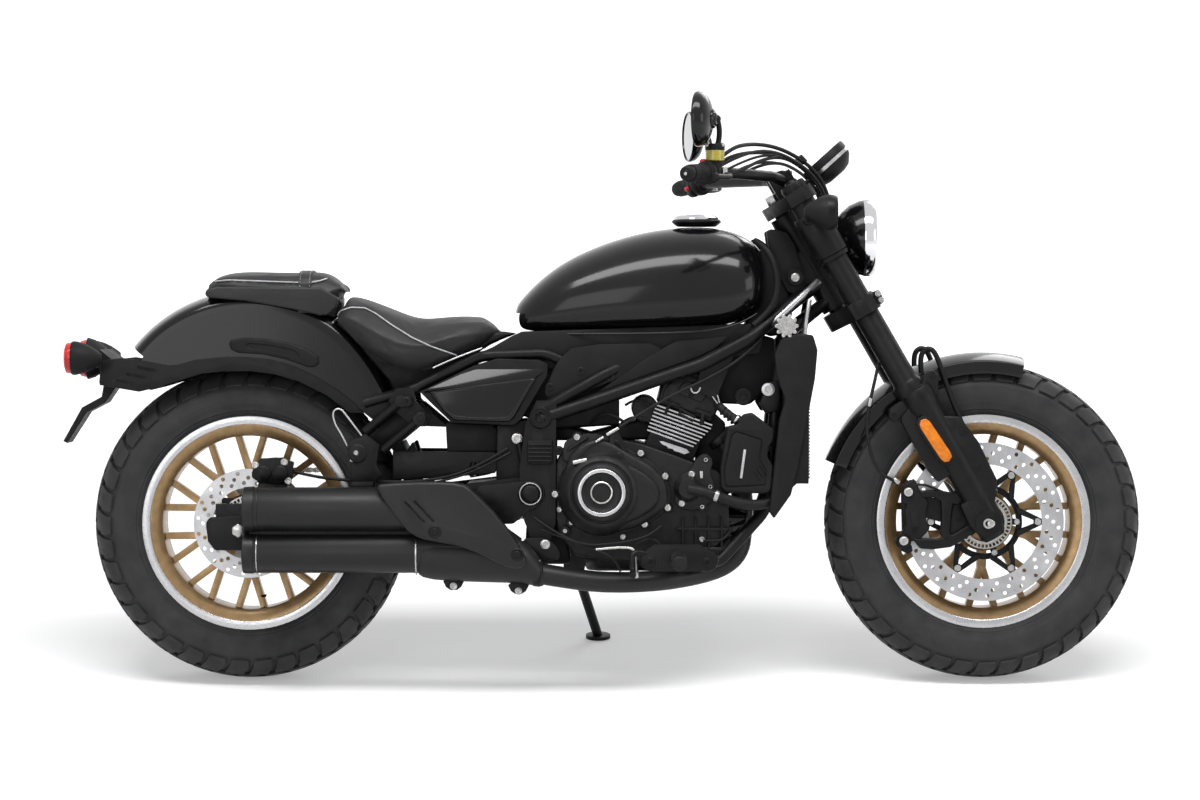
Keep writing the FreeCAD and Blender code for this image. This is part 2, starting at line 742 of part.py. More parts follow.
def handlebar():
    """Wide bar swept back to the grips, held by two risers."""
    bend_y = bar_reach - grip_length - housing_length - 10
    side = [(bar_x, 60, bar_z), (bar_x - 25, 115, bar_z + 6), (bar_x - 147, bend_y, bar_z + 8),
            (bar_x - 201, bar_reach, bar_z)]
    right = [(x, -1 * y, z) for x, y, z in reversed(side)]
    rod = tube("BarTube", right + side, bar_radius, 50)
    risers = []
    for name, y in sided(42):
        riser = member("Riser" + name, fork_frame)
        low = top_clamp_height + clamp_thickness / 2 - 4
        slab(riser, "XY_Plane", [(-34, y - 14), (14, y - 14), (14, y + 14), (-34, y + 14)], low,
             low + bar_rise + 14)
        risers.append(riser)
    return joined("handlebar", [rod] + risers)


def bar_point(y):
    """Point on the grip's stretch of the bar, at a distance y from the middle."""
    bend_y = float(bar_reach - grip_length - housing_length - 10)
    share = (float(y) - bend_y) / (float(bar_reach) - bend_y)
    return (bar_x - 147 - 54 * share, float(y), bar_z + 8 - 8 * share)


def hand_controls():
    """Grips, switch housings with mirror perches, levers, and the fluid box on the right."""
    pieces = []
    inside = bar_reach - grip_length - housing_length
    for name, sign in (("Right", -1), ("Left", 1)):
        def on_side(y, ahead=0.0, above=0.0):
            point = bar_point(y)
            return (point[0] + ahead, sign * point[1], point[2] + above)
        middle = on_side(bar_reach - grip_length)
        sleeve = doc.addObject("Part::MultiFuse", "Sleeve" + name)
        sleeve.Shapes = [bar("Grip" + name, middle, on_side(bar_reach - 1), grip_radius),
                         bar("Housing" + name, on_side(inside), middle, grip_radius + 6),
                         bar("Perch" + name, on_side(inside + 8, 8, 0),
                             on_side(inside + 8, 8, perch_height), 9)]
        core = bar("GripCore" + name, on_side(inside - 30), on_side(bar_reach + 20), bar_radius)
        lever = tube("Lever" + name, [on_side(inside + 12, 24, -6), on_side(inside + 30, 52, -8),
                                      on_side(bar_reach - 5, 50, -6)], 6, 30)
        pieces += [cut_from("Control" + name, sleeve, core), lever]
    box = member("FluidBox", at(bar_point(inside)[0] + 36, -1 * inside - 6, bar_z + 26))
    disc(box, "XY_Plane", 0.0, 0.0, 19.0, -4.0, 26.0)
    slab(box, "XY_Plane", [(-24, -18), (14, -18), (14, 4), (-24, 4)], -18.0, 2.0)
    return joined("hand_controls", pieces + [box])


def mirrors():
    """Round mirrors on bent stems that stand on the perches."""
    pieces = []
    foot = bar_point(bar_reach - grip_length - housing_length + 8)
    foot_x = foot[0] + 8
    foot_z = foot[2] + perch_height + float(seat_gap)
    for name, sign in (("Right", -1), ("Left", 1)):
        y = sign * foot[1]
        stem = tube("Stem" + name, [(foot_x, y, foot_z), (foot_x, y, foot_z + 12),
                                    (foot_x + 12, y - sign * 8, foot_z + 40),
                                    (foot_x - 1, y + sign * 22, foot_z + 78),
                                    (foot_x - 24, y + sign * 28, foot_z + 78)],
                    5, 30)
        head = member("Mirror" + name, Placement(Vector(foot_x - 25, y + sign * 28, foot_z + 77),
                                                 Rotation(Vector(0, 0, 1), sign * -12)))
        turned(head, "XZ_Plane", [(-6, 0), (-6, 49), (-8, 50), (-8, 53), (0, 53), (0, 0)], "H_Axis")
        pieces += [stem, head]
    return joined("mirrors", pieces)


def headlamp():
    """Round lamp bowl with its ring."""
    body = new_body("headlamp", at(lamp_x, 0, lamp_z))
    turned(body, "XZ_Plane", [
        (-66, 0), (0, 0), (0, lamp_radius - 11), (16, lamp_radius - 11), (16, lamp_radius - 1),
        (-14, lamp_radius),
        (-34, lamp_radius - 7), (-58, lamp_radius - 32), (-66, lamp_radius - 56)], "H_Axis")
    return sub_part(body)


def headlamp_lens():
    """Shallow domed lens in the lamp's ring."""
    body = new_body("headlamp_lens", at(lamp_x, 0, lamp_z))
    edge = lamp_radius - 11 - seat_gap
    turned(body, "XZ_Plane", [(seat_gap, 0), (22, 0, 2), (11, edge), (seat_gap, edge)], "H_Axis")
    return sub_part(body)


def round_signal(name, x, y, z, facing):
    """Round turn signal that faces forwards (1) or backwards (-1)."""
    body = member(name, at(x, y, z))
    outline = [(-36, 0), (24, 0), (24, 30), (20, 34), (10, 35), (-4, 32), (-24, 19), (-36, 10)]
    if facing < 0:
        outline = [(-1 * across, up) for across, up in outline][::-1]
    turned(body, "XZ_Plane", outline, "H_Axis")
    return body


def front_signals():
    """Front turn signals on short stalks from the sleeves on the fork."""
    pieces = []
    for name, sign in (("Right", -1), ("Left", 1)):
        x, z = from_fork(0, sleeve_high - 16)
        lamp = round_signal("FrontSignal" + name, x + 16, sign * 196, z + 14, 1)
        start = sign * float(leg_offset + sleeve_radius + seat_gap)
        stalk = bar("FrontStalk" + name, (x, start, z), (x, sign * 180, z), 7)
        pieces += [lamp, stalk]
    return joined("front_signals", pieces)


def instrument():
    """Round gauge ahead of the bar, tilted towards the rider, on a tongue from the top plate."""
    seat = top_clamp_height + clamp_thickness / 2 - 4 + seat_gap
    body = member("Gauge", Placement(Vector(90, 0, float(top_clamp_height) + 27),
                                     Rotation(Vector(0, 1, 0), -12)))
    turned(body, "XZ_Plane", [(0, -26), (34, -26), (50, -8), (53, 14), (48, 18), (0, 18)], "V_Axis")
    tongue = member("GaugeTongue")
    slab(tongue, "XZ_Plane", [(-30, seat), (5, seat), (48, seat - 5), (70, seat + 8), (52, seat + 20),
                              (5, seat + 9), (-30, seat + 7)], -18.0, 18.0)
    return joined("instrument", [body, tongue], fork_frame)


def arc_shell(label, frame, radius, half_width, depth, wall, sweep, crown=18):
    """Shell over a wheel: a crowned channel turned through part of a circle."""
    body = new_body(label, frame)
    edge = radius - depth
    shoulder = radius - crown
    inner = half_width - wall
    turn = turned(body, "YZ_Plane", [
        (-1 * half_width, edge), (-1 * inner, edge), (-1 * inner, shoulder - wall / 2,
                                                      -1 * (crown - wall / 2)),
        (inner, shoulder - wall / 2), (inner, edge), (half_width, edge), (half_width, shoulder, crown),
        (-1 * half_width, shoulder),
    ], "H_Axis", sweep)
    turn.Midplane = True
    return body


def front_fender():
    """Short fender over the front wheel."""
    frame = Placement(Vector(float(wheel_base), 0, float(front_axle_z)), Rotation(Vector(0, 1, 0), -27.4))
    return sub_part(arc_shell("front_fender", frame, front_fender_radius, front_fender_half_width, 43.0,
                              fender_wall, 83.0))


def fender_stays():
    """Bent stays between the fork feet and the front fender."""
    pieces = []
    for name, y in sided(stay_offset):
        x = float(wheel_base)
        z = float(front_axle_z)
        pieces.append(tube("FenderStay" + name, [(x - 123, y, z + 342), (x - 90, y, z + 335),
                                                 (x - 45, y, z + 270),
                                                 (x + 49, y, z + 80), (x + 12, y, z + 32)], stay_radius,
                                                 30))
    return joined("fender_stays", pieces)


def front_caliper():
    """Brake caliper astride the front disc."""
    body = new_body("front_caliper", front_axle)
    slab(body, "XZ_Plane", [(caliper_x - 56, -36), (caliper_x, -44), (caliper_x + 14, 60),
                            (caliper_x - 18, 112),
                            (caliper_x - 54, 100)], front_disc_face - 32, front_disc_face + 13)
    cut_out(body, "XZ_Plane", [(caliper_x - 44, -60), (caliper_x + 72, -60), (caliper_x + 72, 130),
                               (caliper_x - 44, 130)], front_disc_face - 5,
                               front_disc_face + disc_thickness + 5)
    return sub_part(body)


lamp_radius = cell("lamp_radius", 77)
lamp_forward = cell("lamp_forward", 82.6)
lamp_up = cell("lamp_up", 615.1)
sleeve_low = cell("sleeve_low", 620)
sleeve_high = cell("sleeve_high", 716)
caliper_x = cell("caliper_x", -132)
stay_radius = cell("stay_radius", 4.5)
stay_offset = front_fender_half_width + seat_gap + stay_radius
perch_height = 25.0
bar_x, bar_z = from_fork(-9.3, top_clamp_height + clamp_thickness / 2 - 4 + bar_rise)
lamp_x, lamp_z = from_fork(float(lamp_forward), lamp_up)
fork_clamps()
fork_outer_tubes()
stanchions()
fork_lowers()
axle("front_axle", front_axle, leg_offset + 36)
handlebar()
hand_controls()
mirrors()
headlamp()
headlamp_lens()
front_signals()
instrument()
front_fender()
fender_stays()
front_caliper()


# Frame and rear suspension
def steering_point(height):
    """Point on the steering axis at a height up the fork."""
    lean_back = math.radians(float(rake))
    x = float(wheel_base) - float(clamp_offset) * math.cos(lean_back) - height * math.sin(lean_back)
    z = float(front_axle_z) - float(clamp_offset) * math.sin(lean_back) + height * math.cos(lean_back)
    return (x, 0.0, z)


def tube_path(points, sign):
    """Tube points on one side, from points given as (x, distance from the middle, z)."""
    return [(x, sign * float(y), z) for x, y, z in points]


def tunnel_height(x):
    """Height of the tank tunnel's sloping ceiling."""
    return 738 + (x - 850) * 92 / 190


def main_frame():
    """Steering head, tubes above and beside the engine, down tubes, seat rails, plates and mounts."""
    head_low = float(lower_clamp_height + clamp_thickness / 2) + 5
    head_high = float(top_clamp_height - clamp_thickness / 2)
    head = bar("HeadTube", steering_point(head_low), steering_point(head_high), head_tube_radius)
    head_bore = bar("HeadBore", steering_point(head_low - 20), steering_point(head_high + 20),
                    stem_radius + running_gap)
    upper = steering_point(head_low + 120)
    lower = steering_point(head_low + 62)
    front = steering_point(head_low + 20)
    wide = frame_half_width
    beside = crankcase_half_width + seat_gap + light_tube_radius
    rail = fender_half_width + seat_gap + seat_rail_radius
    pieces = [head]
    for name, sign in (("Right", -1), ("Left", 1)):
        pieces.append(tube("EngineTube" + name, tube_path([
            (592, wide, 530), (690, wide, 562), (800, wide, 600), (915, wide, 640), (1010, 118, 690),
            (1100, 66, 764), (lower[0], 8, lower[2])], sign), main_tube_radius, 120))
        pieces.append(tube("BackboneTube" + name, tube_path([
            (588, wide, 546), (736, 118, 628), (850, 44, 672), (upper[0], 10, upper[2])], sign),
            light_tube_radius, 120))
        pieces.append(tube("DownTube" + name, tube_path([
            (front[0] - 4, 10, front[2]), (1074, 94, 690), (1052, 94, 450), (1048, 94, 352),
            (944, beside, 240),
            (900, beside, 250)], sign), light_tube_radius, 80))
        pieces.append(tube("SeatRail" + name, tube_path([
            (700, 106, 618), (600, 108, 660), (470, 110, 655), (335, rail, 588), (236, rail, 560)], sign),
            seat_rail_radius, 80))
        plate = member("PivotPlate" + name)
        low, high = span(sign, frame_half_width - 13, frame_half_width + 10)
        slab(plate, "XZ_Plane", [
            (552, 340), (570, 292), (engine_back - 10, 288), (engine_back, 320), (engine_back, 470),
            (622, 566),
            (582, 566), (560, 520), (548, 430)], low, high)
        pieces.append(plate)
        hanger = member("Hanger" + name)
        low, high = span(sign, head_half_width + seat_gap, frame_half_width - 6)
        slab(hanger, "XZ_Plane", [(900, 588), (940, 566), (980, 664), (915, 640)], low, high)
        pieces.append(hanger)
        strut_plate = member("StrutPlate" + name)
        low, high = span(sign, 104, strut_plate_face)
        slab(strut_plate, "XZ_Plane", [(286, 566), (300, 544), (334, 514), (360, 514), (368, 536),
                                       (340, 566),
                                       (336, 592), (300, 590)], low, high)
        pieces.append(strut_plate)
        gusset = member("HeadGusset" + name)
        low, high = span(sign, 10, 36)
        slab(gusset, "XZ_Plane", [(1064, 760), (1078, 744), (lower[0] - 6, lower[2]),
                                  (upper[0] - 12, upper[2] + 10),
                                  (1070, 850)], low, high)
        pieces.append(gusset)
        for height in (456.0, 606.0):
            tab = member("RadiatorTab" + name)
            low, high = span(sign, 86, 102)
            slab(tab, "XZ_Plane", [(1056, height - 6), (core_back - seat_gap, height - 6),
                                   (core_back - seat_gap, height + 6), (1056, height + 6)], low, high)
            pieces.append(tab)
    pieces.append(bar("CrossTube", (cross_tube_x, -1 * wide, cross_tube_z),
                      (cross_tube_x, wide, cross_tube_z),
                      light_tube_radius))
    pieces.append(bar("ShockTube", (shock_top_x, -110, shock_top_z), (shock_top_x, 110, shock_top_z),
                      light_tube_radius - 2))
    mount = member("TankMount")
    slab(mount, "XZ_Plane", [(960, 744), (1000, 768), (1000, tunnel_height(1000) - 0.34),
                             (960, tunnel_height(960) - 0.34)], -34.0, 34.0)
    solid = doc.addObject("Part::MultiFuse", "FrameSolid")
    solid.Shapes = pieces + [mount]
    pivot = bar("PivotBore", (pivot_x, -200, pivot_z), (pivot_x, 200, pivot_z), pivot_bolt_radius)
    bores = doc.addObject("Part::MultiFuse", "FrameBores")
    bores.Shapes = [head_bore, pivot]
    frame = cut_from("main_frame", solid, bores)
    frame.Placement = parked
    return sub_part(frame, "main_frame")


def swingarm():
    """Two tapered arms joined by a cross member and a tube ahead of the wheel."""
    pieces = []
    near = swingarm_offset - swingarm_width / 2
    far = swingarm_offset + swingarm_width / 2
    for name, sign in (("Right", -1), ("Left", 1)):
        arm = member("Arm" + name)
        low, high = span(sign, near, far)
        slab(arm, "XZ_Plane", [
            (-62, 284), (8, 284), (60, 296), (500, 340), (pivot_x, pivot_z - 30, 26),
            (pivot_x + 30, pivot_z),
            (pivot_x, pivot_z + 30), (480, 404), (60, arm_top(60)), (8, arm_top(8)), (-62, arm_top(8))],
            low, high)
        pieces.append(arm)
    brace = member("Brace")
    slab(brace, "XZ_Plane", [(440, 338), (500, 344), (500, 402), (440, 396)], -1 * swingarm_offset,
         swingarm_offset)
    pieces.append(brace)
    reach = mudguard_radius + seat_gap + 8
    tilt = math.radians(6)
    x = reach * math.cos(tilt)
    z = rear_axle_z + reach * math.sin(tilt)
    pieces.append(bar("MudguardTube", (x, -1 * swingarm_offset, z), (x, swingarm_offset, z), 8))
    whole = doc.addObject("Part::MultiFuse", "SwingarmSolid")
    whole.Shapes = pieces
    bores = doc.addObject("Part::MultiFuse", "SwingarmBores")
    bores.Shapes = [bar("ArmAxleBore", (0, -200, rear_axle_z), (0, 200, rear_axle_z), axle_radius),
                    bar("ArmPivotBore", (pivot_x, -200, pivot_z), (pivot_x, 200, pivot_z),
                        pivot_bolt_radius)]
    arm = cut_from("swingarm", whole, bores)
    arm.Placement = parked
    return sub_part(arm, "swingarm")


def arm_top(x):
    """Height of the swingarm's upper edge near the axle."""
    return 358 - (x - 8) * 6 / 52


def inner_mudguard():
    """Short curved guard between the wheel and the engine."""
    middle = 16.0
    frame = Placement(Vector(0, 0, float(rear_axle_z)), Rotation(Vector(0, 1, 0), 90 - middle))
    return sub_part(arc_shell("inner_mudguard", frame, mudguard_radius, mudguard_half_width, 30.0,
                              fender_wall, 24.0, 6))


def shock():
    """Spring and damper between the swingarm's cross member and the tube under the seat."""
    eye_width = 24.0
    low = Vector(468, 0, 398.8) + Vector(-0.0995, 0, 0.995) * float(eye_radius + seat_gap)
    top_tube = Vector(shock_top_x, 0, shock_top_z)
    along = (low - top_tube).normalize()
    high = top_tube + along * float(eye_radius + seat_gap + light_tube_radius - 2)
    long = low.distanceToPoint(high)
    spine = Placement(low, Rotation(Vector(0, 0, 1), high - low))
    body = member("Spring", spine)
    coil = spring_radius
    turned(body, "XZ_Plane", [
        (0, 0), (10, 0), (10, 26), (coil, 26), (coil, 34), (coil - 4, 40), (coil, 46), (coil - 4, 54),
        (coil, 62),
        (coil - 4, 70), (coil, 78), (coil - 4, 86), (coil, 94), (coil - 4, 102), (coil, 110),
        (coil - 4, 118),
        (coil, 126), (coil, 140), (20, 140), (20, long - 18), (10, long - 12), (10, long), (0, long)],
        "V_Axis")
    eyes = [bar("EyeLow", (low.x, -12, low.z), (low.x, 12, low.z), eye_radius),
            bar("EyeHigh", (high.x, -12, high.z), (high.x, 12, high.z), eye_radius)]
    return joined("shock", [body] + eyes)


def swingarm_pivot():
    """Bolt through the pivot plates and the swingarm, with a cap at each end."""
    body = new_body("swingarm_pivot", at(pivot_x, 0, pivot_z))
    face = frame_half_width + 10
    disc(body, "XZ_Plane", 0.0, 0.0, pivot_bolt_radius, -1 * face, face)
    disc(body, "XZ_Plane", 0.0, 0.0, 16.0, -1 * face - 7, -1 * face)
    disc(body, "XZ_Plane", 0.0, 0.0, 16.0, face, face + 7)
    return sub_part(body)


head_half_width = cell("head_half_width", 102)
radiator_back = cell("radiator_back", 1088)
core_back = radiator_back + 2
strut_plate_face = cell("strut_plate_face", 122)
main_frame()
swingarm()
swingarm_pivot()
inner_mudguard()
shock()
rear_caliper()
axle("rear_axle", rear_axle, swingarm_offset + swingarm_width / 2 + 14)


# Bodywork
def dome(half_width, low, widest, high, crown, foot=0.8, shoulder=0.62):
    """Cross-section that is flat below, with bowed sides and a crowned top."""
    top = high - crown
    return [(-foot * half_width, low), (foot * half_width, low, 4), (half_width, widest, 6),
            (shoulder * half_width, top, crown), (-shoulder * half_width, top, 6),
            (-1 * half_width, widest, 4)]


def fuel_tank():
    """Teardrop tank lofted along the motorcycle, with a tunnel for the backbone tubes."""
    body = new_body("fuel_tank")
    half = tank_half_width
    stations = [
        (536, dome(half * 0.45, tank_low, 722, 742, 6)),
        (580, dome(half * 0.62, tank_low, 742, 806, 14)),
        (660, dome(half * 0.80, tank_low, 758, 857, 22)),
        (770, dome(half * 0.95, tank_low, 774, 899, 26)),
        (890, dome(half, tank_low, 786, 920, 26)),
        (980, dome(half * 0.94, tank_low + 14, 796, 914, 24)),
        (1036, dome(half * 0.66, tank_low + 62, 806, 868, 16)),
    ]
    loft(body, "YZ_Plane", [(float(x), section) for x, section in stations])
    disc(body, "XY_Plane", 905.0, 0.0, 46.0, cap_seat_z - 34, cap_seat_z)
    cut_out(body, "XZ_Plane", [(500, 600), (1100, 600), (1100, 862), (1040, tunnel_height(1040)),
                               (850, tunnel_height(850)), (500, tunnel_height(850))], -1 * tank_tunnel,
                               tank_tunnel)
    return sub_part(body)


def tank_cap():
    """Flat filler cap on the tank."""
    body = new_body("tank_cap", at(905, 0, cap_seat_z))
    turned(body, "XZ_Plane", [(0, seat_gap), (42, seat_gap), (42, 13), (36, 19), (0, 21)], "V_Axis")
    return sub_part(body)


def over_fender(body):
    """Hollow under a seat where the rear fender passes through."""
    pocket = body.newObject("PartDesign::Pocket", "FenderRoom")
    sketch = sketch_on(body, "XZ_Plane", -1 * fender_half_width - 3)
    pocket.Profile = circle(sketch, fender_centre_x, fender_centre_z, rear_fender_radius + seat_gap)
    bind(pocket, "Length", 2 * fender_half_width + 6)
    return pocket


def rider_seat():
    """Scooped single seat, wide behind and narrow at the tank."""
    body = new_body("rider_seat")
    half = seat_half_width
    stations = [
        (172, dome(half * 0.66, 716, 724, 738, 5)),
        (200, dome(half * 0.80, 700, 730, 769, 9)),
        (240, dome(half * 0.91, 668, 712, 764, 11)),
        (290, dome(half * 0.98, 638, 688, 745, 12)),
        (345, dome(half, 626, 676, 727, 12)),
        (410, dome(half * 0.93, 648, 690, 730, 11)),
        (470, dome(half * 0.72, 674, 702, 729, 9)),
        (502, dome(half * 0.54, 688, 704, 719, 6)),
        (514, dome(half * 0.44, 692, 700, 707, 3)),
    ]
    loft(body, "YZ_Plane", [(float(x), section) for x, section in stations])
    over_fender(body)
    return sub_part(body)


def pillion_seat():
    """Flat pad on the rear fender."""
    body = new_body("pillion_seat")
    half = pillion_half_width
    stations = [
        (-84, dome(half * 0.64, 778, 786, 794, 3)),
        (-66, dome(half * 0.84, 772, 790, 810, 5)),
        (-30, dome(half * 0.96, 769, 792, 819, 6)),
        (40, dome(half, 764, 790, 820, 6)),
        (110, dome(half, 755, 786, 820, 6)),
        (160, dome(half * 0.96, 745, 778, 816, 6)),
        (185, dome(half * 0.90, 777, 786, 799, 4)),
        (200, dome(half * 0.80, 776, 780, 785, 1.5)),
    ]
    loft(body, "YZ_Plane", [(float(x), section) for x, section in stations])
    over_fender(body)
    return sub_part(body)


def rear_fender():
    """Deep fender over the rear wheel, under both seats."""
    middle = 78.0
    frame = Placement(Vector(float(fender_centre_x), 0, float(fender_centre_z)),
                      Rotation(Vector(0, 1, 0), 90 - middle))
    return sub_part(arc_shell("rear_fender", frame, rear_fender_radius, fender_half_width, 100.0,
                              fender_wall, 126.0, 20))


def fender_bands():
    """Long side stays that carry the tail, one each side of the fender."""
    pieces = []
    for name, sign in (("Right", -1), ("Left", 1)):
        body = member("FenderBand" + name)
        low, high = span(sign, fender_half_width + seat_gap, fender_half_width + seat_gap + 8)
        slab(body, "XZ_Plane", [
            (-294, 600), (-275, 590), (-210, 583, 4), (-140, 607, 6), (-20, 627, 8), (90, 606, 8),
            (210, 534),
            (236, 546), (150, 612, -6), (30, 650, -6), (-90, 648), (-155, 638), (-294, 648)], low, high)
        pieces.append(body)
    return joined("fender_bands", pieces)


def tail_lamp():
    """Tail lamp behind the tail bracket."""
    body = new_body("tail_lamp")
    slab(body, "XZ_Plane", [(-350, 622), (tail_face - seat_gap, 606), (tail_face - seat_gap, 668),
                            (-350, 692)],
         -1 * tail_half_width + 8, tail_half_width - 8)
    return sub_part(body)


def plate_bracket():
    """Bracket between the tail stays, with the holder of the licence plate below it."""
    body = new_body("plate_bracket")
    slab(body, "XZ_Plane", [(tail_face, 596), (-236, 590), (-230, 604), (-262, 640), (tail_face, 668)],
         -1 * fender_half_width, fender_half_width)
    slab(body, "XZ_Plane", [(tail_face, 596), (tail_face + 26, 593), (tail_face + 4, 560), (-330, 540),
                            (-370, 478),
                            (-378, 482), (-340, 550), (tail_face - 4, 572)], -1 * plate_half_width + 54,
         plate_half_width - 54)
    return sub_part(body)


def rear_signals():
    """Rear turn signals on stalks beside the tail lamp."""
    pieces = []
    for name, sign in (("Right", -1), ("Left", 1)):
        lamp = round_signal("RearSignal" + name, -326, sign * 150, 640, -1)
        start = tail_half_width - 8 + seat_gap
        stalk = bar("RearStalk" + name, (-322, sign * start, 640), (-322, sign * 140, 640), 7)
        pieces += [lamp, stalk]
    return joined("rear_signals", pieces)


def side_covers():
    """Covers under the rider's seat, one each side, with pegs that push into the air box."""
    pieces = []
    for name, sign in (("Right", -1), ("Left", 1)):
        body = member("SideCover" + name)
        near = cover_offset - cover_thickness
        low, high = span(sign, near, cover_offset)
        slab(body, "XZ_Plane", [
            (357, 584), (380, 556), (421, 532), (530, 532), (550, 548), (590, 612), (604, 642),
            (520, 649),
            (481, 647), (420, 618)], low, high)
        low, high = span(sign, air_box_half_width + seat_gap, near + 2)
        disc(body, "XZ_Plane", 520.0, 596.0, 7.0, low, high)
        pieces.append(body)
    return joined("side_covers", pieces)


def engine_box():
    """Air box and electrics between the seat and the engine, standing on the cross tube."""
    body = new_body("air_box")
    foot = cross_tube_z + light_tube_radius + seat_gap
    slab(body, "XZ_Plane", [(626, 508), (748, 516), (748, 618), (706, 676), (560, 676), (490, 640),
                            (470, 566),
                            (cross_tube_x - 9, 520), (cross_tube_x - 7, foot), (cross_tube_x + 7, foot),
                            (cross_tube_x + 9, 512)],
         -1 * air_box_half_width, air_box_half_width)
    return sub_part(body)


def frame_covers():
    """Panels that fill the space between the tank and the engine tubes."""
    pieces = []
    for name, sign in (("Right", -1), ("Left", 1)):
        body = member("FrameCover" + name)
        low, high = span(sign, frame_half_width - 14, frame_half_width - 2)
        clear = main_tube_radius + seat_gap
        first = beside_line((690, 562), (800, 600), clear)
        second = beside_line((800, 600), (915, 640), clear)
        third = beside_line((915, 640), (1010, 690), clear)
        slab(body, "XZ_Plane", [
            (first[0][0] + 16, first[0][1] + 5.5), second[0], (second[1][0] - 6, second[1][1] - 2.1),
            (third[0][0] + 30, third[0][1] + 15.8), (966, 695), (862, 686), (800, 650)], low, high)
        pieces.append(body)
    return joined("frame_covers", pieces)


def beside_line(start, end, distance):
    """The line from start to end moved sideways and up by a distance."""
    run = end[0] - start[0]
    climb = end[1] - start[1]
    long = math.hypot(run, climb)
    shift = (-climb / long * float(distance), run / long * float(distance))
    return ((start[0] + shift[0], start[1] + shift[1]), (end[0] + shift[0], end[1] + shift[1]))


tail_face = cell("tail_face", -296)
plate_half_width = cell("plate_half_width", 92)
air_box_half_width = cell("air_box_half_width", 90)
fuel_tank()
tank_cap()
rider_seat()
pillion_seat()
rear_fender()
fender_bands()
tail_lamp()
plate_bracket()
rear_signals()
side_covers()
engine_box()
frame_covers()


# Engine, cooling and exhaust
def tilted(forward, up):
    """Point beside the cylinders, which lean forward, as (x, z)."""
    turn = math.radians(cylinder_lean)
    return (cylinder_x + forward * math.cos(turn) + up * math.sin(turn),
            cylinder_z - forward * math.sin(turn) + up * math.cos(turn))


def crankcase():
    """Crankcase and gearbox in one casting, with a slot for the chain on the left."""
    body = new_body("crankcase")
    half = crankcase_half_width
    back = engine_back + seat_gap
    slab(body, "XZ_Plane", [
        (back + 6, 300), (660, 256), (730, 244), (900, 244), (928, 258), (968, 300), (966, 400),
        (945, 424),
        tilted(58, -45), tilted(-58, -45), (760, 486), (700, 492), (640, 476), (back, 440), (back, 330)],
        -1 * half, half)
    reach = front_sprocket_radius + chain_height + 14
    cut_out(body, "XZ_Plane", [
        (engine_back - 20, pivot_z - reach), (front_sprocket_x, pivot_z - reach, reach * 0.9),
        (front_sprocket_x, pivot_z + reach), (engine_back - 20, pivot_z + reach)],
        chain_offset - chain_width / 2 - 4, half)
    disc(body, "XZ_Plane", front_sprocket_x, pivot_z, front_sprocket_radius,
         chain_offset - chain_width / 2 - 5,
         chain_offset + chain_width / 2)
    return sub_part(body)


def clutch_cover():
    """Right cover: a round clutch housing run forward over the crankshaft end."""
    body = new_body("clutch_cover")
    near = -1 * crankcase_half_width
    far = -1 * clutch_cover_reach
    slab(body, "XZ_Plane", [(690, 305), (800, 312), (850, 350, 10), (850, 432, 8), (780, 470),
                            (680, 466, 24),
                            (650, 340, 10)], far + 24, near)
    disc(body, "XZ_Plane", 713.0, 386.0, 70.0, far + 8, far + 24)
    disc(body, "XZ_Plane", 713.0, 386.0, 47.0, far, far + 8)
    return sub_part(body)


def generator_cover():
    """Left cover over the generator, with the sprocket cover behind it."""
    body = new_body("generator_cover")
    near = crankcase_half_width
    far = generator_cover_reach
    slab(body, "XZ_Plane", [(640, 330), (700, 300), (840, 300), (930, 340), (930, 420), (860, 460),
                            (700, 450),
                            (640, 420)], near, far - 22)
    disc(body, "XZ_Plane", 860.0, 382.0, 68.0, far - 22, far)
    return sub_part(body)


def cylinder_block():
    """Finned cylinder block, leaning forward."""
    frame = Placement(Vector(cylinder_x, 0, cylinder_z), Rotation(Vector(0, 1, 0), cylinder_lean))
    body = new_body("cylinder_block", frame)
    half = cylinder_half_width
    slab(body, "XY_Plane", [(-50, -1 * half + 6), (50, -1 * half + 6), (50, half - 6), (-50, half - 6)],
         -45.0, 42.0)
    fin = slab(body, "XY_Plane", [(-58, -1 * half), (58, -1 * half), (58, half), (-58, half)], -38.0,
               -34.0)
    row = body.newObject("PartDesign::LinearPattern", "Fins")
    row.Originals = [fin]
    row.Direction = (fin.Profile[0], ["N_Axis"])
    bind(row, "Length", 5 * (fin_pitch + 2))
    row.Occurrences = 6
    body.Tip = row
    return sub_part(body)


def cylinder_head():
    """Cylinder head with its cover."""
    frame = Placement(Vector(cylinder_x, 0, cylinder_z), Rotation(Vector(0, 1, 0), cylinder_lean))
    body = new_body("cylinder_head", frame)
    slab(body, "XZ_Plane", [(-58, 42), (58, 42), (62, 82), (48, 118), (30, 128), (-30, 128), (-48, 118),
                            (-62, 82)],
         -1 * head_half_width, head_half_width)
    return sub_part(body)


def radiator():
    """Radiator core with its side tanks, in front of the down tubes, and its filler neck."""
    body = new_body("radiator")
    half = radiator_half_width
    back = radiator_back
    slab(body, "XZ_Plane", [(core_back, 404), (back + 36, 404), (back + 36, 646), (core_back, 646)],
         -1 * half + 14,
         half - 14)
    slab(body, "XZ_Plane", [(back, 400), (back + 38, 400), (back + 38, 650), (back, 650)], -1 * half,
         -1 * half + 14)
    slab(body, "XZ_Plane", [(back, 400), (back + 38, 400), (back + 38, 650), (back, 650)], half - 14,
         half)
    return sub_part(body)


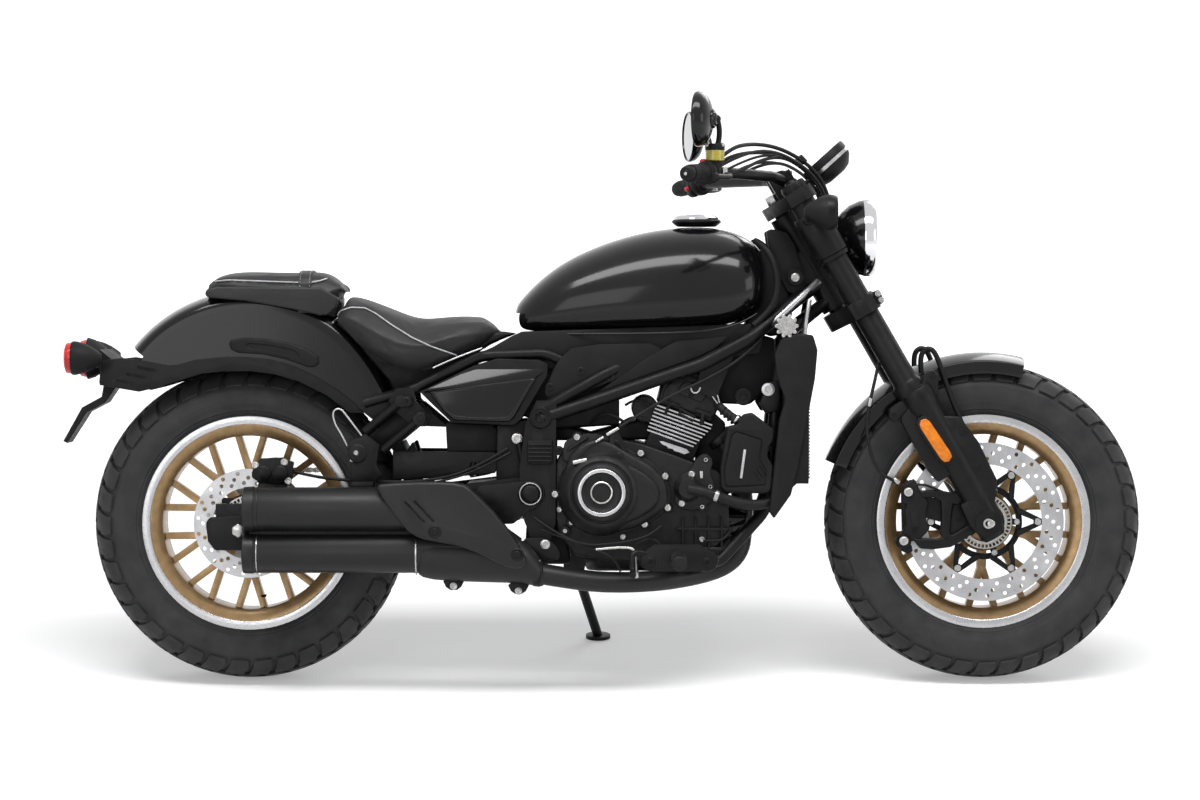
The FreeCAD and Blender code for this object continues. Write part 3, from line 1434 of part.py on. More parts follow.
def radiator_shrouds():
    """Blade-shaped covers at the radiator's sides."""
    pieces = []
    for name, sign in (("Right", -1), ("Left", 1)):
        body = member("Shroud" + name)
        near = radiator_half_width + seat_gap
        low, high = span(sign, near, near + shroud_thickness)
        slab(body, "XZ_Plane", [
            (1046, 345), (1056, 330), (1090, 378), (1106, 440), (1122, 529), (1138, 610), (1143, 667),
            (1134, 697),
            (1100, 701), (1070, 690), (1056, 660), (1060, 618), (1078, 568), (1066, 529), (1056, 429)],
            low, high)
        pieces.append(body)
    return joined("radiator_shrouds", pieces)


def coolant_box():
    """Cover ahead of the engine on the right, resting against the crankcase."""
    body = new_body("coolant_box")
    slab(body, "XZ_Plane", [(966.3, 400.3), (985, 379), (1032, 379), (1050, 480), (1040, 528),
                            (977, 528), (953, 504),
                            (945.3, 424.3)], -150.0, -112.0)
    return sub_part(body)


def exhaust_header():
    """Two pipes from the cylinder head that run down and back into one collector."""
    port = tilted(65, 72)
    pieces = []
    for name, y in (("Right", -44), ("Left", 44)):
        end_y = -128 if name == "Right" else -84
        pieces.append(tube("Header" + name, [
            (port[0], y, port[1]), (1000, y, port[1] - 36), (1006, y * 0.9 - 8, 400), (996, y - 12, 262),
            (930, y * 0.6 - 40, 217), (760, end_y - 10, 211), (640, end_y - 34, 214)], header_radius, 80))
    y, z = lower_muffler
    collector = member("Collector", at(0, y, z))
    turned(collector, "XZ_Plane", [
        (muffler_nose + seat_gap, 0), (668, 0), (668, 18), (648, 40), (580, 40),
        (muffler_nose + seat_gap, 30)], "H_Axis")
    pieces.append(collector)
    return joined("exhaust_header", pieces)


def mufflers():
    """Two long plain mufflers, the upper one bent down at its nose towards the collector."""
    y, z = lower_muffler
    lower = member("LowerMuffler", at(3, y, z))
    radius = muffler_radius - 6
    long = muffler_nose - 3
    turned(lower, "XZ_Plane", [
        (16, 0), (long, 0), (long, 30), (long - 30, radius), (6, radius), (0, radius - 4),
        (0, radius - 12),
        (16, radius - 14)], "H_Axis")
    y, z = upper_muffler
    upper = member("UpperMuffler", at(5, y, z))
    radius = muffler_radius - 2
    turned(upper, "XZ_Plane", [
        (16, 0), (405, 0), (405, radius - 4), (395, radius), (6, radius), (0, radius - 4),
        (0, radius - 12),
        (16, radius - 14)], "H_Axis")
    bend = tube("MufflerBend", [(400, y, z), (452, y, z - 12), (505, y + 2, z - 62),
                                (531, y + 6, z - 81)],
                muffler_radius - 14, 60)
    return joined("mufflers", [upper, bend, lower])


def heat_shield():
    """Shield over the front of the upper muffler."""
    body = new_body("heat_shield")
    low = -1 * muffler_offset - muffler_radius - 6
    slab(body, "XZ_Plane", [
        (261, 399), (276, 372), (306, 340), (343, 294), (394, 283), (532, 243), (552, 250), (558, 268),
        (520, 320),
        (463, 389), (440, 404)], low, low + 4 - seat_gap)
    return sub_part(body)


def rear_hangers():
    """Rods from the strut plates to a block on each side, which carries the mufflers on the right."""
    pieces = []
    inside = strut_plate_face + seat_gap
    for name, sign in (("Right", -1), ("Left", 1)):
        block = member("HangerBlock" + name)
        low, high = span(sign, inside, inside + 22)
        slab(block, "XZ_Plane", [(212, 404), (262, 404), (262, 436), (268, 478), (240, 500), (212, 478)],
             low, high)
        pieces.append(block)
        for index, (x, z) in enumerate(((312, 565), (348, 528))):
            y = sign * float(inside + 10)
            pieces.append(bar("HangerRod" + name + str(index), (x, y, z), (x - 74, y, z - 62), 9))
            pieces.append(bar("HangerBolt" + name + str(index), (x, sign * float(inside), z),
                              (x, y + sign * 13, z), 12))
    y, z = upper_muffler
    saddle = member("MufflerSaddle")
    low, high = span(-1, inside, inside + 60)
    slab(saddle, "XZ_Plane", [(216, z + muffler_radius - 2 + seat_gap),
                              (258, z + muffler_radius - 2 + seat_gap),
                              (258, z + muffler_radius + 8), (216, z + muffler_radius + 8)], low, high)
    return joined("rear_hangers", pieces + [saddle])


def foot_controls():
    """Footpegs with their brackets on the crankcase, the brake pedal and the shift lever."""
    pieces = []
    for name, sign in (("Right", -1), ("Left", 1)):
        plate = member("PegPlate" + name)
        face = 202.0 if sign < 0 else 166.0
        low, high = span(sign, face - 10, face)
        slab(plate, "XZ_Plane", [(800, 240), (812, 228), (910, 228), (924, 240), (924, 272), (905, 282),
                                 (816, 282),
                                 (800, 270)], low, high)
        peg = bar("Peg" + name, (861, sign * (face - 2), 255), (861, sign * (face + 92), 262), 13)
        hanger = member("PegHanger" + name)
        low, high = span(sign, crankcase_half_width + seat_gap, face - 9)
        slab(hanger, "XZ_Plane", [(842, 252), (882, 252), (882, 276), (842, 276)], low, high)
        arm = tube("Pedal" + name, [(806, sign * (face - 5), 262), (772, sign * (face + 4), 269),
                                    (774, sign * (face + 14), 228), (774, sign * (face + 52), 224)], 6,
                                    12)
        pieces += [plate, peg, hanger, arm]
    return joined("foot_controls", pieces)


def side_stand():
    """Side stand: a leg from the pivot to a foot that lies flat on the ground."""
    ground_tilt = Rotation(Vector(1, 0, 0), float(lean))
    tilt = math.radians(float(lean))
    foot_z = stand_foot_y * math.tan(tilt) - float(parked_lift) / math.cos(tilt)
    foot = Vector(stand_foot_x, stand_foot_y, foot_z)
    pad = doc.addObject("Part::Cylinder", "StandPad")
    pad.Radius = 26
    pad.Height = 7
    pad.Placement = Placement(foot, ground_tilt)
    pivot = Vector(stand_pivot_x, stand_pivot_y, stand_pivot_z)
    ankle = foot + ground_tilt.multVec(Vector(0, 0, 4))
    leg = bar("StandLeg", tuple(pivot), tuple(ankle), stand_leg_radius)
    knuckle = doc.addObject("Part::Cylinder", "StandKnuckle")
    knuckle.Radius = 19
    knuckle.Height = 22
    axis = stand_axis()
    knuckle.Placement = Placement(pivot - axis * 11, Rotation(Vector(0, 0, 1), axis))
    solid = doc.addObject("Part::MultiFuse", "StandSolid")
    solid.Shapes = [pad, leg, knuckle]
    bore = doc.addObject("Part::Cylinder", "StandBore")
    bore.Radius = 6 + float(running_gap)
    bore.Height = 60
    bore.Placement = Placement(pivot - axis * 30, Rotation(Vector(0, 0, 1), axis))
    whole = cut_from("side_stand", solid, bore)
    whole.Placement = parked
    return sub_part(whole, "side_stand")


def stand_axis():
    """Axis that carries the leg from the ground to level along the motorcycle."""
    foot_z = stand_foot_y * math.tan(math.radians(float(lean)))
    along_leg = Vector(stand_foot_x - float(stand_pivot_x), stand_foot_y - float(stand_pivot_y),
                       foot_z - float(stand_pivot_z)).normalize()
    return along_leg.cross(Vector(-1, 0, 0)).normalize()


def stand_bracket():
    """Bracket on the crankcase with the pin that the side stand turns on."""
    axis = stand_axis()
    pivot = Vector(stand_pivot_x, stand_pivot_y, stand_pivot_z)
    turn = Rotation(Vector(0, 0, 1), axis)
    pin = doc.addObject("Part::Cylinder", "StandPin")
    pin.Radius = 6
    pin.Height = 36
    pin.Placement = Placement(pivot - axis * 20, turn)
    cap = doc.addObject("Part::Cylinder", "StandPinHead")
    cap.Radius = 10
    cap.Height = 5
    cap.Placement = Placement(pivot + axis * 11.5, turn)
    plate = doc.addObject("Part::Cylinder", "StandPlate")
    plate.Radius = 22
    plate.Height = 10
    plate.Placement = Placement(pivot - axis * 21.5, turn)
    arm = member("StandArm")
    slab(arm, "XZ_Plane", [(632, 200), (672, 200), (690, 244), (690, 300), (640, 300)], 128.0, 140.0)
    return joined("stand_bracket", [pin, cap, plate, arm])


cylinder_x = 864.0
cylinder_z = 501.0
cylinder_lean = 20.0
upper_muffler = (-1 * muffler_offset - 4, 351.0)
lower_muffler = (-1 * muffler_offset + 6, 264.0)
muffler_nose = cell("muffler_nose", 553)
stand_foot_x = 705.0
stand_foot_y = 300.0
crankcase()
clutch_cover()
generator_cover()
cylinder_block()
cylinder_head()
radiator()
radiator_shrouds()
coolant_box()
exhaust_header()
mufflers()
heat_shield()
rear_hangers()
foot_controls()
side_stand()
stand_bracket()

# The finished document, checked and written
def write_parts():
    """Recompute, check every object, and write one file for each sub-part."""
    doc.recompute()
    for item in doc.Objects:
        if "Invalid" in item.State or "Error" in item.State:
            owner = item.getParentGeoFeatureGroup()
            raise RuntimeError(f"{item.Label} of {owner.Label if owner else 'the document'} did not build")
    for item in sub_parts:
        if item.Shape.isNull() or not item.Shape.isValid():
            raise RuntimeError(f"{item.Label} has no sound shape")
        item.Shape.exportStep(f"parts/{item.Label}.step")


write_parts()
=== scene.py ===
"""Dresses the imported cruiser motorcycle: finishes, tyres, wheels, seats, lamps, engine and trim.

Pieces are made on the upright motorcycle in millimetres: x forward from the rear axle, y to the left,
z up from the ground. `park` then leans each finished piece over with the motorcycle.
"""
import bpy
import json
import math
from mathutils import Matrix, Vector

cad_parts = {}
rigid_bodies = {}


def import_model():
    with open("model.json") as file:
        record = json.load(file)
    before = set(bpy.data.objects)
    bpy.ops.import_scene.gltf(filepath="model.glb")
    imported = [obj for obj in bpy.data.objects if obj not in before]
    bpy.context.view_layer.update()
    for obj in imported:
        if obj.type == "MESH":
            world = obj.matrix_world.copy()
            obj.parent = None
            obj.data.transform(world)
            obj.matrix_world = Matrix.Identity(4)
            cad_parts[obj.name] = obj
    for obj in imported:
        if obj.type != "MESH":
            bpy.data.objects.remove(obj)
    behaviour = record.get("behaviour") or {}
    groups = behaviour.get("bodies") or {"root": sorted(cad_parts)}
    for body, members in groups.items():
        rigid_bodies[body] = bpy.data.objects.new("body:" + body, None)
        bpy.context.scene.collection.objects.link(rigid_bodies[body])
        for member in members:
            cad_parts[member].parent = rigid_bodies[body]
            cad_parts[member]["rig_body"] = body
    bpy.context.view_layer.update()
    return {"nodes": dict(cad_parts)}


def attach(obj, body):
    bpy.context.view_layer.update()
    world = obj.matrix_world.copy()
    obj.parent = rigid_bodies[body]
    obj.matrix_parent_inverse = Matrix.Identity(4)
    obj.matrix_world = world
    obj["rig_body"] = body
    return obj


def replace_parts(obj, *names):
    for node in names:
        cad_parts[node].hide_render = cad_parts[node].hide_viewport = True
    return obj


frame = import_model()

LEAN = math.radians(10.5)
RAKE = math.radians(30)
MM = 0.001
WELD = 0.02 * MM
FINE_WELD = 0.01 * MM
SIDES = ((-1, "right"), (1, "left"))
parked = Matrix.Translation((-0.7135, -0.1725, 0.001172)) @ Matrix.Rotation(-LEAN, 4, "X")
upright = Matrix.Identity(4)
fork = Matrix.Translation((1.485, 0, 0.320)) @ Matrix.Rotation(-RAKE, 4, "Y")
front_hub = Matrix.Translation((1.485, 0, 0.320))
rear_hub = Matrix.Translation((0, 0, 0.31719))
cylinder = Matrix.Translation((0.864, 0, 0.501)) @ Matrix.Rotation(math.radians(20), 4, "Y")


# Finishes
NOISE = "ShaderNodeTexNoise"
CELLS = "ShaderNodeTexVoronoi"
WAVES = "ShaderNodeTexWave"


def pattern(paint, kind, scale, detail=None):
    """A noise, cell or wave pattern laid out in the piece's own space."""
    nodes = paint.node_tree.nodes
    place = nodes.get("Place") or nodes.new("ShaderNodeTexCoord")
    place.name = "Place"
    texture = nodes.new(kind)
    texture.inputs["Scale"].default_value = scale
    if detail is not None:
        texture.inputs["Detail"].default_value = detail
    paint.node_tree.links.new(place.outputs["Object"], texture.inputs["Vector"])
    return texture


def drift(paint, socket, scale, detail, stops):
    """Lets a value of the surface drift between two colours or greys."""
    tree = paint.node_tree
    node = tree.nodes.new("ShaderNodeValToRGB")
    tree.links.new(pattern(paint, NOISE, scale, detail).outputs["Fac"], node.inputs["Fac"])
    for element, (place, colour) in zip(node.color_ramp.elements, stops):
        element.position = place
        element.color = (*colour, 1)
    tree.links.new(node.outputs["Color"], tree.nodes["Principled BSDF"].inputs[socket])


def emboss(paint, kind, scale, detail, strength, depth):
    """Raises the surface by a pattern, on top of what raises it already."""
    tree = paint.node_tree
    bump = tree.nodes.new("ShaderNodeBump")
    bump.inputs["Strength"].default_value = strength
    bump.inputs["Distance"].default_value = depth
    normal = tree.nodes["Principled BSDF"].inputs["Normal"]
    if normal.is_linked:
        tree.links.new(normal.links[0].from_socket, bump.inputs["Normal"])
    height = "Distance" if kind == CELLS else "Fac"
    tree.links.new(pattern(paint, kind, scale, detail).outputs[height], bump.inputs["Height"])
    tree.links.new(bump.outputs["Normal"], normal)


def finish(name, slot, colour, metal, rough, tones=None, gloss=None, grain=(), **more):
    """A surface with its own colour, metal and gloss; its tone and gloss drift and its grain is raised."""
    paint = bpy.data.materials.new(name)
    paint.use_nodes = True
    inputs = paint.node_tree.nodes["Principled BSDF"].inputs
    inputs["Base Color"].default_value = (*colour, 1)
    inputs["Metallic"].default_value = metal
    inputs["Roughness"].default_value = rough
    for setting, value in {"coat_rough": 0.05, **more}.items():
        inputs[SETTINGS[setting]].default_value = value
    if tones:
        dark, light, scale = tones
        drift(paint, "Base Color", scale, 4.0, [(0.3, dark), (0.7, light)])
    if gloss:
        low, high, scale = gloss
        drift(paint, "Roughness", scale, 3.0, [(0.35, (low,) * 3), (0.68, (high,) * 3)])
    for layer in grain:
        emboss(paint, *layer)
    return paint


SETTINGS = {"coat": "Coat Weight", "coat_rough": "Coat Roughness", "coat_ior": "Coat IOR",
    "sheen": "Sheen Weight",
            "gleam": "Specular IOR Level", "through": "Transmission Weight", "ior": "IOR"}
# Deep black lacquer under a clear coat
GLOSS = finish("gloss_black", "gloss_black", (0.003, 0.003, 0.0035), 0.0, 0.3,
               ((0.002, 0.002, 0.0024), (0.004, 0.004, 0.0046), 6.0), (0.26, 0.36, 9.0),
               [(NOISE, 900.0, 1.0, 0.03, 0.0001)], coat=1.0, coat_rough=0.12, coat_ior=1.32, gleam=0.04)
# Powder coat with a fine pebbled skin
SATIN = finish("satin_black", "satin_black", (0.005, 0.005, 0.0055), 0.0, 0.42,
               ((0.0035, 0.0035, 0.004), (0.0065, 0.0065, 0.007), 30.0), (0.34, 0.5, 60.0),
               [(NOISE, 700.0, 2.0, 0.12, 0.0002)], gleam=0.16)
# Black engine paint over sand-cast metal
ENGINE = finish("engine_black", "engine_black", (0.009, 0.009, 0.0095), 0.0, 0.5,
                ((0.006, 0.006, 0.0065), (0.012, 0.012, 0.0125), 45.0), (0.38, 0.6, 80.0),
                [(NOISE, 420.0, 5.0, 0.25, 0.0003)], gleam=0.2)
# Moulded plastic with a leather-like grain
PLASTIC = finish("black_plastic", "black_plastic", (0.007, 0.007, 0.0075), 0.0, 0.55,
                 ((0.005, 0.005, 0.0055), (0.009, 0.009, 0.0095), 20.0), (0.46, 0.62, 30.0),
                 [(CELLS, 600.0, None, 0.1, 0.0002)], gleam=0.15)
# Heat-proof matt coating of the mufflers
MUFFLER = finish("muffler_black", "satin_black", (0.009, 0.009, 0.0095), 0.0, 0.4,
                 ((0.007, 0.007, 0.0075), (0.011, 0.011, 0.0115), 9.0), (0.36, 0.48, 14.0),
                 [(NOISE, 1200.0, 2.0, 0.08, 0.0001)], gleam=0.26)
# Bronze wheel paint with metal flake
BRONZE = finish("bronze", "bronze", (0.27, 0.172, 0.08), 0.7, 0.36,
                ((0.23, 0.146, 0.067), (0.31, 0.2, 0.095), 55.0), (0.3, 0.42, 120.0),
                [(CELLS, 1500.0, None, 0.06, 0.0001)], coat=0.2, coat_rough=0.15, gleam=0.3)
# Rim lip turned bright on a lathe
LIP = finish("machined_lip", "alloy", (0.44, 0.44, 0.45), 1.0, 0.28,
             ((0.4, 0.4, 0.41), (0.48, 0.48, 0.49), 12.0), (0.22, 0.34, 90.0))
# Ground steel of the brake discs; also a painted highlight on the coolant box's rib and the right-side head
# braces
DISC_STEEL_AND_HIGHLIGHT = finish("disc_steel_and_painted_highlight", "bright_steel", (0.42, 0.42, 0.43), 1.0, 0.34,
              ((0.36, 0.36, 0.37), (0.47, 0.47, 0.48), 25.0), (0.27, 0.42, 60.0),
              [(NOISE, 1400.0, 1.0, 0.05, 0.0001)])
# Zinc-plated bolts and fittings
STEEL = finish("bright_steel", "bright_steel", (0.4, 0.39, 0.38), 1.0, 0.3,
               ((0.32, 0.32, 0.31), (0.46, 0.45, 0.44), 80.0), (0.2, 0.4, 140.0))
# Hard chrome of the fork tubes
CHROME = finish("chrome", "chrome", (0.62, 0.62, 0.64), 1.0, 0.08,
                ((0.58, 0.58, 0.6), (0.66, 0.66, 0.68), 10.0), (0.05, 0.12, 40.0))
# Tyre rubber, a little dusty in its pores
TYRE = finish("tyre_rubber", "tyre", (0.026, 0.026, 0.027), 0.0, 0.6,
              ((0.02, 0.02, 0.021), (0.032, 0.032, 0.033), 22.0), (0.5, 0.72, 35.0),
              [(NOISE, 500.0, 6.0, 0.15, 0.0004)], sheen=0.03, gleam=0.2)
# Rubber of the grips, hoses and cables
RUBBER = finish("soft_rubber", "rubber", (0.008, 0.008, 0.0085), 0.0, 0.55,
                ((0.006, 0.006, 0.0065), (0.011, 0.011, 0.0115), 60.0), (0.45, 0.65, 70.0),
                [(NOISE, 350.0, 3.0, 0.1, 0.0003)], sheen=0.01, gleam=0.18)
# Grained seat leatherette
SEAT = finish("seat_cover", "leather", (0.013, 0.013, 0.0135), 0.0, 0.5,
              ((0.010, 0.010, 0.0105), (0.017, 0.017, 0.0175), 14.0), (0.42, 0.58, 20.0),
              [(CELLS, 420.0, None, 0.28, 0.0006), (NOISE, 60.0, 4.0, 0.12, 0.0012)], sheen=0.04, gleam=0.25)
# Pale cord sewn into the seat's seams
PIPING = finish("seat_piping", "leather", (0.42, 0.42, 0.43), 0.0, 0.55,
                ((0.34, 0.34, 0.35), (0.5, 0.5, 0.51), 90.0), None,
                [(WAVES, 700.0, None, 0.2, 0.0003)], sheen=0.1, gleam=0.3)
# Clear moulded lens
LENS = finish("clear_lens", "lens", (0.92, 0.93, 0.95), 0.0, 0.04, None, (0.02, 0.06, 30.0),
              [(WAVES, 60.0, None, 0.15, 0.001)], through=0.85, ior=1.49)
# Dark moulded lens of the signals
SMOKED = finish("smoked_lens", "black_plastic", (0.22, 0.21, 0.2), 0.0, 0.08,
                ((0.16, 0.155, 0.15), (0.3, 0.29, 0.28), 60.0), None,
                [(CELLS, 180.0, None, 0.3, 0.001)], coat=0.5, coat_rough=0.02)
# Red prism plastic of the tail lamp
RED = finish("lamp_red", "lamp_red", (0.5, 0.006, 0.008), 0.0, 0.15,
             ((0.36, 0.005, 0.008), (0.62, 0.02, 0.02), 70.0), None,
             [(CELLS, 220.0, None, 0.35, 0.0012)], coat=0.2, gleam=0.3)
# Amber prism reflector
AMBER = finish("reflector_amber", "lamp_red", (0.66, 0.18, 0.002), 0.0, 0.25,
               ((0.58, 0.14, 0.001), (0.74, 0.22, 0.003), 120.0), None,
               [(CELLS, 500.0, None, 0.4, 0.001)], coat=0.2, gleam=0.3)
# Silvered glass
MIRROR = finish("mirror_glass", "chrome", (0.4, 0.41, 0.42), 1.0, 0.03, None, (0.02, 0.05, 12.0))
# Straw-coloured fluid seen through its box
FLUID = finish("brake_fluid", "black_plastic", (0.4, 0.33, 0.02), 0.0, 0.15,
               ((0.34, 0.28, 0.015), (0.46, 0.39, 0.03), 50.0), coat=0.3)
# Red moulded switch
SWITCH = finish("switch_red", "rubber", (0.55, 0.02, 0.03), 0.0, 0.4,
                ((0.45, 0.015, 0.02), (0.62, 0.03, 0.04), 60.0))


# Ways of making a piece
def moved(x, y, z):
    """A move in millimetres."""
    return Matrix.Translation(Vector((x, y, z)) * MM)


def tipped(degrees, axis="Y"):
    """A turn about an axis through the origin."""
    return Matrix.Rotation(math.radians(degrees), 4, axis)


def alone(piece):
    """Leave only this piece selected."""
    bpy.ops.object.select_all(action="DESELECT")
    piece.select_set(True)
    bpy.context.view_layer.objects.active = piece
    return piece


def newest(name):
    """Name the piece that was made last."""
    piece = bpy.context.object
    piece.name = name
    return piece


def leave_edit():
    """Go back from a piece's mesh to the piece."""
    bpy.ops.object.mode_set(mode="OBJECT")


def shaped(piece, kind, **settings):
    """Change a piece by one modifier with these settings, for good."""
    change = piece.modifiers.new(kind, kind)
    for setting, value in settings.items():
        setattr(change, setting, value)
    bpy.ops.object.modifier_apply(modifier=change.name)
    return piece


def soften(piece, edge, steps=2, angle=35):
    """Round the sharp edges by a few tenths to a few millimetres."""
    return shaped(alone(piece), "BEVEL", width=edge * MM, segments=steps, limit_method="ANGLE",
                  angle_limit=math.radians(angle), harden_normals=False)


def park(piece, coat, body="chassis", place=upright, smooth=40):
    """Lean a finished piece with the motorcycle, give it its finish and hang it on its body."""
    alone(piece)
    piece.matrix_world = parked @ place @ piece.matrix_world
    bpy.ops.object.transform_apply(location=True, rotation=True, scale=True)
    bpy.ops.object.shade_smooth_by_angle(angle=math.radians(smooth))
    piece.data.materials.clear()
    piece.data.materials.append(coat)
    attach(piece, body)
    return piece


def steer(piece, coat, place=upright, smooth=40):
    """Park a piece that turns with the steering."""
    return park(piece, coat, "steering", place, smooth)


def trace(corners):
    """Line drawn through the corners, in millimetres; it stays selected in edit mode."""
    bpy.ops.object.select_all(action="DESELECT")
    bpy.ops.mesh.primitive_plane_add(size=MM)
    bpy.ops.object.mode_set(mode="EDIT")
    bpy.ops.mesh.select_all(action="SELECT")
    bpy.ops.mesh.merge(type="CENTER")
    bpy.ops.transform.translate(value=Vector(corners[0]) * MM)
    for before, after in zip(corners, corners[1:]):
        step = (Vector(after) - Vector(before)) * MM
        bpy.ops.mesh.extrude_vertices_move(TRANSFORM_OT_translate={"value": step})
    bpy.ops.mesh.select_all(action="SELECT")


def open_up(piece):
    """Edit a piece with all of its mesh selected."""
    alone(piece)
    bpy.ops.object.mode_set(mode="EDIT")
    bpy.ops.mesh.select_all(action="SELECT")


def weld(reach=WELD):
    """Merge corners that lie this close together."""
    bpy.ops.mesh.select_all(action="SELECT")
    bpy.ops.mesh.remove_doubles(threshold=reach)


def face_out():
    """Point all faces outwards and leave edit mode."""
    bpy.ops.mesh.select_all(action="SELECT")
    bpy.ops.mesh.normals_make_consistent(inside=False)
    leave_edit()


def close_up():
    """Merge doubles and point the faces outwards, then leave edit mode."""
    weld()
    face_out()


def slab(name, corners, thick, edge, steps):
    """Flat outline raised by its thickness, with its edges rounded."""
    trace(corners)
    bpy.ops.mesh.edge_face_add()
    bpy.ops.mesh.extrude_region_move(TRANSFORM_OT_translate={"value": Vector(thick) * MM})
    close_up()
    piece = newest(name)
    return soften(piece, edge, steps) if edge else piece


def plate(name, outline, near, far, edge=1.0, steps=2):
    """Plate cut to an outline in the side view, between two distances across the motorcycle."""
    low, high = sorted((near, far))
    return slab(name, [(x, low, z) for x, z in outline], (0, high - low, 0), edge, steps)


def slab_up(name, outline, low, high, edge=1.0, steps=2):
    """Plate cut to an outline seen from above, from low to high."""
    return slab(name, [(x, y, low) for x, y in outline], (0, 0, high - low), edge, steps)


def turned(name, profile, axis="Y", centre=(0, 0, 0), steps=48):
    """Profile of (along, radius) turned about an axis through centre; a radius of 0.01 closes its end."""
    start = Vector(centre)
    spine, out = {"X": ((1, 0, 0), (0, 0, 1)), "Y": ((0, 1, 0), (1, 0, 0)), "Z": ((0, 0, 1),
        (1, 0, 0))}[axis]
    trace([start + Vector(spine) * along + Vector(out) * radius for along, radius in profile])
    bpy.ops.mesh.spin(steps=steps, angle=2 * math.pi, center=start * MM, axis=spine)
    close_up()
    return newest(name)


def lathed(name, profile, axis="Y", centre=(0, 0, 0), steps=48):
    """Profile turned about an axis, with both of its ends closed flat."""
    (first, _), (last, _) = profile[0], profile[-1]
    return turned(name, [(first, 0.01), *profile, (last, 0.01)], axis, centre, steps)


def on_side(side, points):
    """Points whose distances across are counted outwards on one side."""
    return [(x, side * y, z) for x, y, z in points]


def rod(name, start, end, radius, tip=None, sides=16, edge=0.0):
    """Round bar or tapered rod between two points."""
    first = Vector(start) * MM
    last = Vector(end) * MM
    turn = (last - first).to_track_quat("Z", "Y").to_euler()
    bpy.ops.object.select_all(action="DESELECT")
    bpy.ops.mesh.primitive_cone_add(vertices=sides, radius1=radius * MM, radius2=(tip or radius) * MM,
        depth=(last - first).length, location=(first + last) / 2, rotation=turn)
    piece = newest(name)
    bpy.ops.object.transform_apply(location=True, rotation=True, scale=True)
    return soften(piece, edge) if edge else piece


def pipe(name, points, radius, sides=4, smooth=12):
    """Smooth tube along points, as a mesh."""
    line = bpy.data.curves.new(name, "CURVE")
    line.dimensions = "3D"
    line.bevel_depth = radius * MM
    line.bevel_resolution = sides
    line.use_fill_caps = True
    run = line.splines.new("NURBS")
    run.points.add(len(points) - 1)
    for point, place in zip(run.points, points):
        point.co = (*(Vector(place) * MM), 1)
    run.order_u = 3
    run.use_endpoint_u = True
    run.resolution_u = smooth
    piece = bpy.data.objects.new(name, line)
    bpy.context.scene.collection.objects.link(piece)
    alone(piece)
    bpy.ops.object.convert(target="MESH")
    return newest(name)


def twin_of(piece, move):
    """A copy of a piece with its own mesh, moved by a matrix."""
    alone(piece)
    bpy.ops.object.duplicate()
    twin = bpy.context.object
    twin.data.transform(move)
    return twin


def copies(piece, count, centre=(0, 0, 0)):
    """Copy a piece evenly round an axis that runs across the motorcycle, and join the copies."""
    hub = Vector(centre) * MM
    twins = [twin_of(piece, Matrix.Translation(hub) @ Matrix.Rotation(2 * math.pi * index / count, 4, "Y")
                     @ Matrix.Translation(-hub)) for index in range(1, count)]
    return join([piece] + twins)


def spread(piece, spots):
    """The piece at the first spot, copied to the other spots."""
    twins = [twin_of(piece, Matrix.Translation((Vector(spot) - Vector(spots[0])) * MM))
        for spot in spots[1:]]
    return [piece] + twins


def mirrored(piece):
    """The same piece on the other side of the motorcycle."""
    twin = twin_of(piece, Matrix.Scale(-1, 4, (0, 1, 0)))
    twin.data.flip_normals()
    return twin


def join(pieces, name=None):
    """Make one piece of several."""
    bpy.ops.object.select_all(action="DESELECT")
    for piece in pieces:
        piece.select_set(True)
    bpy.context.view_layer.objects.active = pieces[0]
    if len(pieces) > 1:
        bpy.ops.object.join()
    if name:
        pieces[0].name = name
    return bpy.context.object


def carve(piece, tool):
    """Cut one piece with another and throw the tool away."""
    shaped(alone(piece), "BOOLEAN", operation="DIFFERENCE", object=tool, solver="EXACT")
    bpy.data.objects.remove(tool)
    return piece


def copy_of(node, name):
    """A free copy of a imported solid."""
    source = frame["nodes"][node]
    piece = source.copy()
    piece.data = source.data.copy()
    piece.parent = None
    for key in list(piece.keys()):
        del piece[key]
    bpy.context.scene.collection.objects.link(piece)
    piece.name = name
    return alone(piece)


def dressed(node, coat, edge=1.2, steps=2, angle=35, smooth=40):
    """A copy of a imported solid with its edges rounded, shown in the solid's place."""
    piece = copy_of(node, node + "_dressed")
    bpy.ops.mesh.customdata_custom_splitnormals_clear()
    open_up(piece)
    weld(FINE_WELD)
    bpy.ops.mesh.dissolve_limited(angle_limit=math.radians(1.5))
    leave_edit()
    soften(piece, edge, steps, angle)
    bpy.ops.object.shade_smooth_by_angle(angle=math.radians(smooth))
    piece.data.materials.clear()
    piece.data.materials.append(coat)
    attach(piece, frame["nodes"][node]["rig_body"])
    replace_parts(piece, node)
    return piece


def bolt(name, x, y, z, radius=6.0, height=4.0, side=-1, coat=STEEL, body="chassis", place=upright):
    """Socket-head bolt whose head points out to one side."""
    head = turned(name, [(0, 0.01), (0, radius * 0.55), (side * -2.2, radius * 0.5),
        (side * -2.2, radius * 0.45), (0.0, radius * 0.56), (side * 0.4, radius * 0.62),
        (side * 0.4, radius * 0.85), (0, radius), (side * -height, radius)], "Y", (x, y, z), 20)
    return park(head, coat, body, place)


# Wheels
FRONT_WHEEL = ("front_wheel", front_hub)
REAR_WHEEL = ("rear_wheel", rear_hub)


